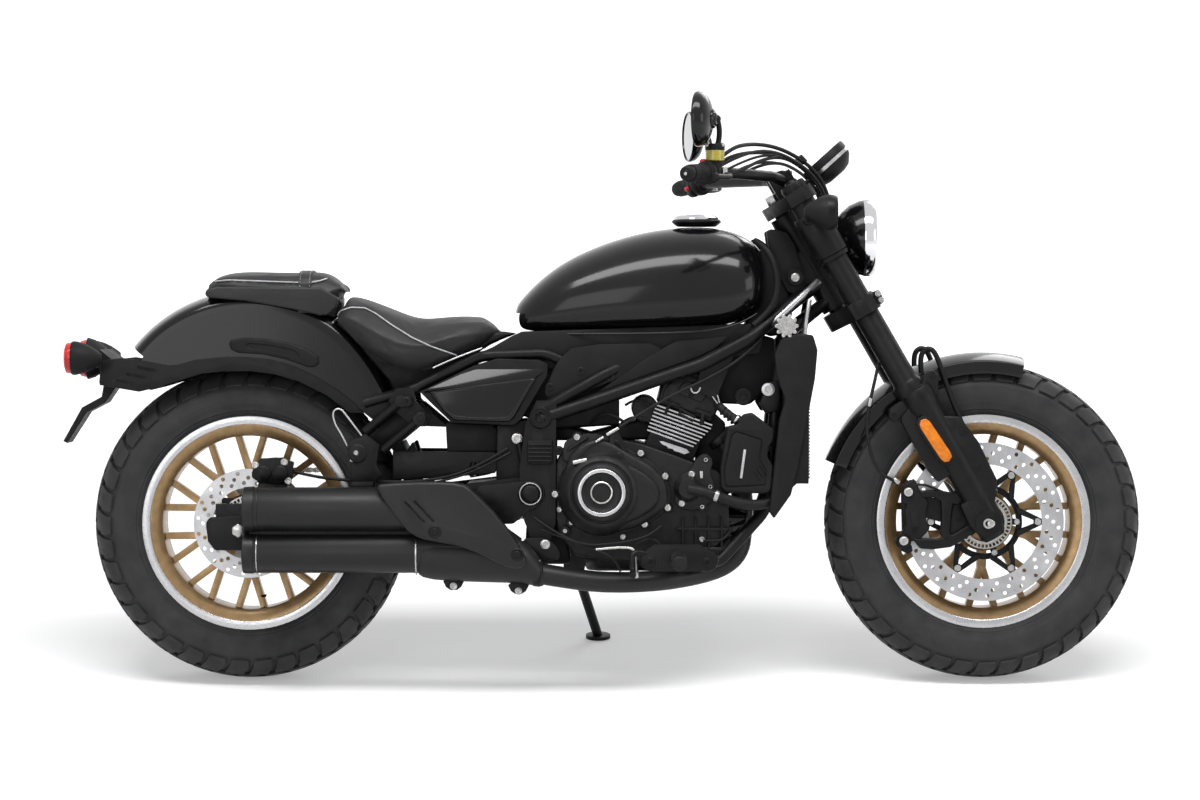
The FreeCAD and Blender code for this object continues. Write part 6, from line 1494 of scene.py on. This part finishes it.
def controls():
    """Foot pegs, pedal rod, shift linkage and lower wires, and the side stand with its bracket."""
    dressed("foot_controls", SATIN, 2, 2)
    dressed("side_stand", SATIN, 2, 2)
    dressed("stand_bracket", SATIN, 1.5, 2)
    for side, tag in SIDES:
        outer = 204 if side < 0 else 168
        edge = plate("peg_plate_" + tag, eased([(788, 246), (792, 264), (812, 273), (868, 279), (922, 273),
            (942, 264), (946, 248), (934, 228), (900, 228), (812, 228), (794, 234)], 1), side * (outer - 12),
            side * outer, 4)
        park(edge, SATIN)
        bolts("peg_plate_bolts_" + tag, [(810, side * outer, 248), (921, side * outer, 247)],
            8, 3, side, SATIN)
        park(turned("peg", [(side * (outer - 2), 0.01), (side * (outer - 2), 17), (side * (outer + 6), 17),
            (side * (outer + 9), 13), (side * (outer + 20), 12), (side * (outer + 22),
            14.5)] + [(side * (outer + 24 + 7 * i + d), r) for i in range(10) for d, r in ((0, 14.8),
            (3.4, 14.8), (4, 12.6), (6.4, 12.6))] + [(side * (outer + 96), 15), (side * (outer + 99), 12),
            (side * (outer + 99), 0.01)], "Y", (865, 0, 250), 24), RUBBER).name = "peg_rubber_" + tag
        bits = [rod("bit", (856, side * (outer + 2), 238), (866, side * (outer + 2), 234),
            4, sides=12, edge=0.8), rod("bit", (872, side * (outer + 2), 240), (878, side * (outer + 2),
            238), 3.4, sides=12, edge=0.8)]
        park(join(bits, "peg_springs_" + tag), STEEL)
    park(pipe("pedal_rod", [(701, -180, 271), (740, -182, 275), (764, -184, 275), (776, -185, 272),
        (780, -185, 262), (780, -185, 246), (780, -185, 224)], 2.8), STEEL)
    park(rod("pedal_ball", (780, -185, 229), (780, -185, 214), 6.6, 6.6, 20, 2.4), STEEL)
    wires = [pipe("wire", [(577, -150, 333), (604, -160, 314), (632, -162, 298), (680, -164, 276),
        (721, -166, 261), (742, -166, 247), (750, -166, 226)], 2.8), pipe("wire", [(591, -152, 309),
        (639, -164, 292), (683, -168, 278), (735, -168, 281), (783, -166, 289), (817, -160, 303),
        (830, -148, 316)], 2.6), pipe("wire", [(783, -150, 279), (797, -152, 288), (812, -152, 290),
        (826, -150, 284), (832, -148, 268)], 3.4), pipe("wire", [(915, -134, 286), (948, -136, 284),
        (964, -134, 296), (976, -128, 314)], 2.4)]
    park(join(wires, "lower_wires"), RUBBER)
    lever = [rod("shift_rod", (862, 184, 268), (700, 160, 330), 3.6, sides=12), rod("joint", (862, 178, 268),
        (862, 192, 268), 7, sides=18, edge=1.5), rod("joint", (700, 150, 330), (700, 166, 330),
        7, sides=18, edge=1.5)]
    park(join(lever, "shift_linkage"), SATIN)


clutch_side()
gearbox_side()
fins()
dark_fillers()
head_fittings()
lower_case()
water_pump()
coolant_tank()
radiator_front()
frame_joints()
heat_guard()
exhaust()
rear_end()
guard_bar()
chain()
controls()


# Cockpit and front brake
def bar_point(y):
    """Middle of the bar on its grip stretch, at a distance from the motorcycle's middle."""
    share = (y - 290) / 115
    return 930 - 54 * share, 1016 - 8 * share


def round_mirrors():
    """Mirrors: domed backs with a rim and glass, ball joints, bent stems and their nuts."""
    for side, tag in SIDES:
        foot_x, foot_z = bar_point(308)
        foot_x += 8
        foot_z += 25
        y = side * 308
        head = Vector((foot_x - 25, side * 336, foot_z + 77))
        shell = turned("shell", [(-7, 49.5), (-9.5, 50), (-10, 52), (-8, 53.6), (-4, 54), (4, 52), (12, 46),
            (18, 36), (22, 24), (24, 14), (30, 12.5), (32, 10), (32, 0.01)], "X", (0, 0, 0), 56)
        hub = turned("hub", [(14, 20), (26, 19), (28, 17), (28, 0.01)], "X", (0, 0, 0), 32)
        glass = turned("glass", [(-8, 0.01), (-8.2, 30), (-7.6, 50)], "X", (0, 0, 0), 56)
        turn = Matrix.Translation(head * MM) @ tipped(side * 12, "Z")
        steer(join([shell, hub], "mirror_shell_" + tag), GLOSS, turn)
        steer(glass, MIRROR, turn).name = "mirror_glass_" + tag
        stem = pipe("stem", [(foot_x, y, foot_z - 22), (foot_x, y, foot_z + 6),
            (foot_x + 8, y - side * 2, foot_z + 24), (foot_x + 13, y - side * 5, foot_z + 48),
            (foot_x + 10, y + side * 4, foot_z + 74), (foot_x + 2, y + side * 18, foot_z + 82),
            (head.x + 22, head.y, head.z)], 5.4)
        nut = rod("nut", (foot_x, y, foot_z - 8), (foot_x, y, foot_z + 4), 9.5, sides=6, edge=1)
        ball = lathed("ball", [(24, 7), (30, 9), (36, 7), (39, 3)], "X", (head.x, head.y, head.z), 20)
        steer(join([stem, nut, ball], "mirror_stem_" + tag), SATIN)
    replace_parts(bpy.data.objects["mirror_shell_right"], "mirrors")


def grips():
    """Ribbed grips with bar ends, switch housings with switches, levers, and the fluid box."""
    for side, tag in SIDES:
        x1, z1 = bar_point(302)
        x2, z2 = bar_point(404)
        start = Vector((x1, side * 302, z1))
        way = (Vector((x2, side * 404, z2)) - start).normalized()

        def along(reach, ahead=0, up=0):
            return start + way * reach + Vector((ahead, 0, up))

        housing = rod("housing", along(-4), along(13), 24, 24, 40, 4)
        other = rod("housing", along(14.5), along(31), 23, 22, 40, 4)
        collar = rod("collar", along(31), along(36), 20, 20, 40, 1.5)
        perch = rod("perch", along(-10), along(8), 17, 17, 32, 2)
        clamp = rod("clamp", along(-10, 18), along(6, 18), 10, 10, 24, 2)
        pod = rod("pod", along(4, -12, -14), along(24, -12, -16), 13, 11, 28, 4)
        post = rod("post", along(0, 8, 4), along(0, 8, 25), 9, 9, 24, 1.5)
        steer(join([housing, other, collar, perch, clamp, pod, post], "switch_housing_" + tag), PLASTIC)
        grip = rod("grip", along(36), along(100), 16.5, 16.5, 40, 1)
        ribs = [rod("rib", along(38 + 5.4 * i), along(41 + 5.4 * i), 17.4, 17.4, 36, 0.6) for i in range(12)]
        steer(join([grip] + ribs, "grip_" + tag), RUBBER)
        end = rod("end", along(100), along(108), 15, 15, 36, 2)
        cap = rod("cap", along(107), along(118), 16.5, 14, 36, 3)
        nose = rod("nose", along(117), along(121), 8, 7, 28, 1.2)
        steer(join([end, cap, nose], "bar_end_" + tag), SATIN)
        steer(rod("bar_end_screw_" + tag, along(120), along(122), 3.6, 3.2, 20, 0.4), STEEL)
        lever = pipe("lever", [along(0, 24, -4), along(10, 40, -6), along(26, 50, -8), along(60, 52, -8),
            along(96, 48, -6)], 5.6)
        knob = rod("knob", along(94, 48.5, -6.2), along(102, 47.6, -5.8), 8, 7, 24, 2.5)
        steer(join([lever, knob], "lever_" + tag), SATIN)
        steer(rod("lever_pivot_" + tag, along(2, 28, -14), along(2, 28, 8), 6.4, 6.4, 20, 1), STEEL)
        steer(rod("switch_" + tag, along(8, -25, -9), along(16, -27, -10), 5, 4.4, 20, 1.2), SWITCH)
        steer(rod("rocker_" + tag, along(4, -10, 21), along(18, -10, 21), 5, 5, 20, 1.6),
            SWITCH if side < 0 else PLASTIC)
    low = turned("low", [(-20, 0.01), (-20, 13), (-12, 16), (-4, 16)], "Z", (933, -306, 1042), 32)
    hood = turned("hood", [(15, 19), (26, 19.5), (28, 18), (28, 8), (27, 7), (27, 0.01)], "Z",
        (933, -306, 1042), 40)
    arm = slab_up("arm", [(906, -318), (940, -322), (946, -300), (906, -294)], 1022, 1030, 2)
    steer(join([low, hood, arm], "fluid_box_base"), PLASTIC)
    steer(turned("fluid_box", [(-6, 15.5), (-4, 18.4), (15, 18.8), (17, 17), (17, 0.01)], "Z",
        (933, -306, 1042), 40), FLUID)
    ears = [rod("ear", (933 + dx, -306 + dy, 1064), (933 + dx, -306 + dy, 1072),
        4, 4, 16, 1) for dx, dy in ((-14, -10), (14, -10), (-14, 10), (14, 10))]
    steer(join(ears, "fluid_box_screws"), STEEL)
    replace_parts(bpy.data.objects["grip_right"], "hand_controls")


def bar_and_risers():
    """Bar, risers with caps and bolts, and the arcs of cables and the brake line ahead of it."""
    dressed("handlebar", SATIN, 1.2, 1, 50)
    for y in (-42, 42):
        cap = rod("riser_cap", (1077, y - 15, 1008), (1077, y + 15, 1008), 21, 21, 36, 3)
        neck = rod("riser_neck", (1086, y, 990), (1104, y, 962), 17, 19, 32, 2)
        tag = "right" if y < 0 else "left"
        steer(join([cap, neck], "riser_" + tag), SATIN)
        for x, z in ((1064, 1024), (1092, 1026)):
            steer(lathed("screw", [(0, 2.4), (3, 2.8), (3, 5), (0.4, 5.6), (-4, 5.6)], "Z", (x, y, z), 18),
                STEEL).name = f"riser_bolt_{x}_{tag}"
    runs = []
    for side in (-1, 1):
        runs.append(pipe("cable", on_side(side, [(930, 296, 1030), (962, 270, 1062), (1004, 200, 1076),
            (1060, 120, 1074), (1112, 74, 1052), (1150, 58, 1020), (1168, 47, 984), (1175, 40, 950),
            (1180, 32, 925), (1196, 24, 905)]), 4))
        runs.append(pipe("cable", on_side(side, [(934, 290, 1004), (980, 250, 1016), (1030, 180, 1046),
            (1076, 110, 1054), (1116, 70, 1034), (1150, 50, 1000), (1164, 44, 960), (1173, 40, 928),
            (1196, 30, 890)]), 3.4))
        runs.append(pipe("cable", on_side(side, [(940, 280, 1012), (990, 230, 1040), (1046, 150, 1058),
            (1098, 90, 1046), (1140, 62, 1012), (1160, 53, 970), (1172, 47, 926), (1196, 34, 882)]), 2.6))
    runs.append(pipe("brake_line", [(934, -282, 1022), (980, -240, 1050), (1040, -170, 1066),
        (1096, -106, 1050), (1146, -74, 1012), (1170, -62, 960), (1166, -56, 900), (1180, -52, 850),
        (1216, -50, 800), (1250, -56, 730), (1280, -68, 690)], 3.2))
    steer(join(runs, "cables"), RUBBER)
    guides = [rod("guide", (1110, side * 74, 1056), (1122, side * 70, 1044), 6.4, 6.4, 20, 1)
        for side in (-1, 1)]
    steer(join(guides, "cable_guides"), SATIN)


def gauge():
    """Round gauge: deep black body, bright band, hood, glass and a plain face with ticks."""
    place = fork @ moved(90, 0, 782) @ tipped(-12)
    body = lathed("gauge_body", [(-30, 20), (-26, 34), (-12, 48), (-4, 52), (-4, 49)], "Z", (0, 0, 0), 64)
    steer(body, PLASTIC, place)
    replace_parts(body, "instrument")
    steer(turned("gauge_band", [(-4, 50), (-3.4, 53.4), (3.4, 53.6), (4, 50), (-4, 50)], "Z", (0, 0, 0), 64),
        LIP, place)
    steer(turned("gauge_hood", [(4, 49.5), (4.4, 52.8), (16, 53), (20, 51), (20, 48.5), (14, 46.5), (13, 44),
        (13, 43)], "Z", (0, 0, 0), 64), PLASTIC, place)
    steer(lathed("gauge_dial", [(12.4, 44.5), (10, 44.5)], "Z", (0, 0, 0), 64), SATIN, place)
    steer(turned("gauge_glass", [(15.6, 0.01), (15.2, 30), (14.2, 45.2), (13.6, 45.2), (14.6, 30),
        (15, 0.01)], "Z", (0, 0, 0), 64), LENS, place)
    ticks = []
    for index in range(25):
        turn = math.radians(225 - 11.25 * index)
        inner, outer = (35, 41.5) if index % 4 == 0 else (38, 41.5)
        ticks.append(rod("tick", (inner * math.sin(turn - math.pi / 2), inner * math.cos(turn - math.pi / 2),
            12.8), (outer * math.sin(turn - math.pi / 2), outer * math.cos(turn - math.pi / 2), 12.8),
            0.5 if index % 4 else 0.9, sides=6))
    steer(join(ticks, "gauge_ticks"), PIPING, place)
    steer(plate("gauge_foot", [(-30, 769), (5, 769), (46, 760), (72, 764), (78, 776), (60, 784), (52, 778),
        (5, 777), (-30, 777)], -20, 20, 2.5), SATIN, fork)
    bolts("gauge_screws", [(0, -16, 0), (0, 16, 0)], 3, 2, 1, STEEL, "steering",
        fork @ moved(8, 0, 778) @ tipped(90, "X"))


def lamps():
    """Headlamp bowl, chrome ring, dish, lamp units, crossbar and lens; signals with stalks."""
    centre = (1249, 0, 894)
    bowl = turned("headlamp_bowl", [(-66, 0.01), (-66, 20), (-62, 34), (-50, 52), (-34, 66), (-14, 75),
        (-4, 77), (-4, 72), (-30, 62), (-50, 44), (-56, 0.01)], "X", centre, 72)
    steer(bowl, GLOSS)
    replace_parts(bowl, "headlamp")
    steer(turned("headlamp_ring", [(-6, 73), (-6, 77.6), (-2, 78.6), (10, 78), (16, 75), (18.5, 71),
        (18, 67.5), (14, 66.5), (8, 68), (-6, 73)], "X", centre, 80), CHROME)
    steer(turned("headlamp_dish", [(-44, 0.01), (-44, 30), (-34, 50), (-10, 66), (4, 69), (3, 67.4),
        (-12, 64), (-36, 48), (-42, 0.01)], "X", centre, 64), DISC_STEEL_AND_HIGHLIGHT)
    units = []
    for y, z in ((-24, 14), (24, 14), (-24, -18), (24, -18)):
        units.append(lathed("unit", [(-38, 17), (-8, 19), (-8, 17), (-14, 15), (-20, 8)], "X",
            (1249, y, 894 + z), 32))
    steer(join(units, "headlamp_units"), SATIN)
    steer(plate("headlamp_bar", [(1229, 892), (1245, 892), (1245, 898), (1229, 898)], -62, 62, 1.5), PIPING)
    lens = turned("headlamp_glass", [(10, 67.6), (13, 66), (19, 50), (23, 28), (24.2, 0.01), (21.6, 0.01),
        (20.4, 28), (16.4, 50), (10.4, 64), (8, 66), (8, 67.6), (10, 67.6)], "X", centre, 72)
    steer(lens, LENS)
    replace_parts(lens, "headlamp_lens")
    for side, tag in SIDES:
        x = 1485 - 700 * math.sin(RAKE) + 16
        z = 320 + 700 * math.cos(RAKE) + 14
        y = side * 196
        shell = turned("shell", [(-38, 0.01), (-38, 8), (-34, 13), (-22, 21), (-10, 29), (0, 33), (8, 34.6),
            (8, 31), (4, 0.01)], "X", (x, y, z), 48)
        rim = turned("rim", [(8, 31), (8, 35), (12, 35.4), (24, 33.6), (28, 31), (28, 28), (24, 27),
            (8, 31)], "X", (x, y, z), 48)
        stalk = rod("stalk", (x - 24, side * 136, z - 12), (x - 18, side * 182, z - 6), 9, 10, 24, 2)
        foot = rod("foot", (x - 26, side * 128, z - 13), (x - 24, side * 142, z - 12), 14, 11, 28, 2)
        steer(join([shell, stalk, foot], "front_signal_" + tag), PLASTIC)
        steer(rim, SATIN).name = "front_signal_rim_" + tag
        steer(turned("front_signal_lens_" + tag, [(8, 30), (22, 28.6), (27, 24), (29, 14), (29.6, 0.01),
            (6, 0.01), (6, 30)], "X", (x, y, z), 40), SMOKED)
    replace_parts(bpy.data.objects["front_signal_right"], "front_signals")


def without_ears(piece):
    """Drop the lamp's plain brackets and their rings, which finer pieces stand in for."""
    alone(piece)
    for vertex in piece.data.vertices:
        spot = parked.inverted() @ vertex.co
        vertex.select = spot.x > 1.222 and 0.84 < spot.z < 0.94
    bpy.ops.object.mode_set(mode="EDIT")
    bpy.ops.mesh.select_mode(type="VERT")
    bpy.ops.mesh.select_linked()
    bpy.ops.mesh.delete(type="VERT")
    leave_edit()


def lamp_stay():
    """Crossbar between the fork's sleeves, with the lug that holds the lamp's bowl."""
    bar = rod("bar", (1172, -84, 902), (1172, 84, 902), 8, sides=24, edge=1)
    lug = rod("lug", (1168, 0, 901), (1196, 0, 897), 15, 18, 32, 2)
    steer(join([bar, lug], "lamp_stay"), SATIN)


def clamps():
    """Fork clamps and outer tubes with rings, caps, pinch bolts, signal sleeves, wipers and stem nut."""
    without_ears(dressed("fork_clamps", SATIN, 3.5, 3, 35))
    dressed("fork_outer_tubes", SATIN, 1.5, 2, 35)
    for side, tag in SIDES:
        rings = [turned("ring", [(484, 26), (484, 33), (487, 35), (513, 35), (516, 33), (516, 26)], "Z",
            (0, side * 105, 0), 44), turned("ring", [(612, 26.2), (612, 31), (616, 33), (620, 33)], "Z",
            (0, side * 105, 0), 44), turned("cap", [(772, 26.6), (776, 27), (784, 25), (786, 21), (786, 14),
            (790, 13), (792, 11), (792, 0.01)], "Z", (0, side * 105, 0), 44)]
        lug = plate("lug", [(30, 486), (44, 488), (46, 514), (30, 516)], side * 88, side * 120, 3)
        steer(join(rings + [lug], "clamp_rings_" + tag), SATIN, fork)
        bolts("pinch_bolts_" + tag, [(40, side * 120, 494), (40, side * 120, 508)], 5, 5, side, STEEL,
            "steering", fork)
        steer(turned("signal_sleeve_" + tag, [(622, 26.4), (622, 33), (625, 34.5), (712, 34.5), (715, 33),
            (715, 26.4)], "Z", (0, side * 105, 0), 44), SATIN, fork)
        steer(turned("wiper_" + tag, [(298, 22), (298, 29), (306, 29.5), (309, 27), (309, 22)], "Z",
            (2, side * 105, 0), 40), RUBBER, fork)
    steer(rod("stem_nut", (-40, 0, 768), (-40, 0, 786), 19, 18, 6, 2), STEEL, fork)


def front_brake():
    """Caliper with its bodies, bridge, bolts and bracket arms, its hose, and the axle's end."""
    place = front_hub
    outline = [(-170, 75), (-150, 87), (-139, 79), (-133, 64), (-121, 48), (-116, 38), (-121, 23), (-121, 7),
        (-115, -7), (-117, -18), (-133, -33), (-149, -38), (-166, -34), (-169, -22), (-161, -3), (-165, 23),
        (-159, 34), (-169, 48)]
    body = plate("caliper", outline, -104, -80, 4, 3)
    inner = plate("caliper", [(x + 6, z) for x, z in outline[1:12]], -58, -42, 3)
    bridge = plate("bridge", [(-168, 70), (-156, 72), (-154, -26), (-166, -26)], -84, -50, 3)
    panel = plate("panel", [(-153, 21), (-137, 25), (-134, -8), (-150, -11)], -106, -100, 1.5)
    parts = [plate("arm", [(-137, 64), (-100, 66), (-67, 60), (-43, 66), (-24, 72), (-14, 58), (-41, 42),
        (-59, 36), (-90, 42), (-108, 52), (-129, 49)], -106, -86, 4, 3), plate("arm", [(-92, 50), (-65, 44),
        (-71, 7), (-73, -22), (-62, -28), (-84, -39), (-93, -22), (-90, 15)], -106, -86, 4, 3), plate("arm",
        [(-149, -31), (-133, -32), (-100, -32), (-67, -23), (-34, -3), (-16, 5), (-8, -9), (-51, -38),
        (-71, -49), (-108, -54), (-133, -52)], -106, -86, 4, 3), plate("web", [(-71, 44), (-47, 42),
        (-24, 23), (-17, 1), (-51, -20), (-75, -26)], -98, -88, 2)]
    steer(join([body, inner, bridge, panel], "caliper_body"), PLASTIC, place)
    steer(join(parts, "caliper_bracket"), SATIN, place)
    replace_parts(bpy.data.objects["caliper_body"], "front_caliper")
    knobs = [lathed("knob", [(-80, size), (-106, size - 1), (-109, size - 3)], "Y", (x, 0, z),
        32) for x, z, size in ((-157, 62, 12), (-166, -38, 16))]
    foot = plate("foot", [(-178, -40), (-150, -44), (-147, -58), (-157, -64), (-172, -56)], -102, -84, 3)
    steer(join(knobs + [foot], "caliper_bosses"), SATIN, place)
    bolts("caliper_bolts", [(-157, -109, 62), (-166, -109, -36)], 7.6, 6, -1, STEEL, "steering", place)
    bolts("caliper_small_bolts", [(-56, -98, 7), (-144, -106, -14)], 4, 4, -1, SATIN, "steering", place)
    steer(rod("banjo", (-186, -94, 87), (-174, -94, 80), 6, 6, 16, 1), STEEL, place)
    steer(pipe("front_brake_hose", [(1282, -72, 690), (1276, -84, 660), (1268, -100, 640), (1260, -112, 606),
        (1250, -116, 565), (1241, -116, 512), (1254, -112, 450), (1274, -108, 417), (1299, -96, 405),
        (1308, -94, 397)], 3.4), RUBBER)
    fittings = [rod("sleeve", (1251, -116, 570), (1248, -116.5, 554), 4.8, 4.8, 16, 1), rod("sleeve",
        (1275, -87, 656), (1272, -92, 648), 4.8, 4.8, 16, 1)]
    steer(join(fittings, "brake_hose_sleeves"), STEEL)
    steer(lathed("axle_end", [(-126, 20), (-133, 19), (-136, 16), (-136, 9), (-134, 8)], "Y", (6, 0, 0), 36),
        SATIN, place)
    steer(lathed("axle_tip", [(-132, 8), (-137.5, 7.6), (-138.6, 6)], "Y", (6, 0, 0), 28), STEEL, place)
    steer(pipe("speed_sensor_lead", [(1330, -100, 392), (1350, -104, 400), (1384, -104, 388),
        (1420, -100, 372)], 2.4), RUBBER)


round_mirrors()
grips()
bar_and_risers()
gauge()
lamps()
lamp_stay()
clamps()
front_brake()


# Camera, light and floor
def camera():
    """The photograph's long view, square to the upright motorcycle's right side."""
    bpy.ops.object.camera_add()
    view = bpy.context.object
    view.data.sensor_width = 36
    view.data.lens = 109.65
    view.data.clip_end = 100
    view.matrix_world = parked @ Matrix.Translation((0.709, -7.437, 0.715)) @ tipped(88.84, "X")
    bpy.context.scene.camera = view


def lamp(name, place, aim, wide, deep, power):
    """A soft box turned to a point."""
    bpy.ops.object.light_add(type="AREA", location=place)
    light = newest(name)
    light.data.shape = "RECTANGLE"
    light.data.size = wide
    light.data.size_y = deep
    light.data.energy = power
    light.rotation_euler = (Vector(aim) - Vector(place)).to_track_quat("-Z", "Y").to_euler()


def worked_out(tree, operation, first, second):
    """The outcome of one step of arithmetic on two nodes' outputs."""
    step = tree.nodes.new("ShaderNodeMath")
    step.operation = operation
    tree.links.new(first, step.inputs[0])
    tree.links.new(second, step.inputs[1])
    return step.outputs[0]


def seen_directly(tree):
    """One for camera, mirror and glass rays, else nought."""
    rays = tree.nodes.new("ShaderNodeLightPath").outputs
    plain = worked_out(tree, "MAXIMUM", rays["Is Camera Ray"], rays["Is Glossy Ray"])
    return worked_out(tree, "MAXIMUM", plain, rays["Is Transmission Ray"])


def light_source(tree, kind, colour, strength):
    """A node that gives out light of its own."""
    source = tree.nodes.new(kind)
    source.inputs["Color"].default_value = (*colour, 1)
    source.inputs["Strength"].default_value = strength
    return source


def sky():
    """Even studio surround, white where it is seen."""
    world = bpy.data.worlds.new("studio")
    world.use_nodes = True
    bpy.context.scene.world = world
    tree = world.node_tree
    tree.nodes.clear()
    soft = light_source(tree, "ShaderNodeBackground", (0.86, 0.87, 0.9), 0.4)
    seen = light_source(tree, "ShaderNodeBackground", (1, 1, 1), 1.0)
    blend = tree.nodes.new("ShaderNodeMixShader")
    out = tree.nodes.new("ShaderNodeOutputWorld")
    for source, target in zip((seen_directly(tree), soft.outputs[0], seen.outputs[0]), blend.inputs):
        tree.links.new(source, target)
    tree.links.new(blend.outputs[0], out.inputs["Surface"])


def ground():
    """White floor that keeps the motorcycle's shadow and fades into white further out."""
    bpy.ops.mesh.primitive_plane_add(size=80, location=(0, 0, -0.0016))
    floor = newest("floor")
    paint = bpy.data.materials.new("floor_white")
    paint.use_nodes = True
    tree = paint.node_tree
    tree.nodes.clear()
    matt = tree.nodes.new("ShaderNodeBsdfDiffuse")
    matt.inputs["Color"].default_value = (0.8, 0.8, 0.8, 1)
    glow = light_source(tree, "ShaderNodeEmission", (1, 1, 1), 1.0)
    place = tree.nodes.new("ShaderNodeTexCoord")
    away = tree.nodes.new("ShaderNodeVectorMath")
    away.operation = "LENGTH"
    tree.links.new(place.outputs["Object"], away.inputs[0])
    fade = tree.nodes.new("ShaderNodeMapRange")
    for setting, value in (("From Min", 1.5), ("From Max", 4.5), ("To Min", 0.3), ("To Max", 1.0)):
        fade.inputs[setting].default_value = value
    tree.links.new(away.outputs["Value"], fade.inputs["Value"])
    strength = worked_out(tree, "MULTIPLY", fade.outputs["Result"], seen_directly(tree))
    tree.links.new(strength, glow.inputs["Strength"])
    blend = tree.nodes.new("ShaderNodeAddShader")
    out = tree.nodes.new("ShaderNodeOutputMaterial")
    tree.links.new(matt.outputs[0], blend.inputs[0])
    tree.links.new(glow.outputs[0], blend.inputs[1])
    tree.links.new(blend.outputs[0], out.inputs["Surface"])
    floor.data.materials.append(paint)


def studio():
    """Camera, surround, floor and four soft boxes."""
    bpy.context.scene.view_settings.view_transform = "Standard"
    camera()
    sky()
    ground()
    lamp("overhead", (0, -1.3, 3.8), (0, 0, 0.7), 4.4, 1.0, 165)
    lamp("front_side", (-2.2, -5.0, 2.4), (0, 0, 0.6), 2.6, 2.6, 44)
    lamp("back_side", (2.6, 4.5, 3.4), (0, 0, 0.5), 3.0, 3.0, 80)
    lamp("nose", (4.5, -2.2, 1.8), (0.4, 0, 0.6), 1.8, 1.8, 26)


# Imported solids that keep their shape
KEPT = {"stanchions": CHROME, "fork_lowers": SATIN, "front_axle": STEEL, "rear_axle": STEEL,
    "swingarm_pivot": STEEL,
        "plate_bracket": PLASTIC, "generator_cover": ENGINE}


def coats():
    """Give the solids that show as they were packed their finishes."""
    for node, coat in KEPT.items():
        solid = frame["nodes"][node]
        solid.data.materials.clear()
        solid.data.materials.append(coat)


studio()
coats()
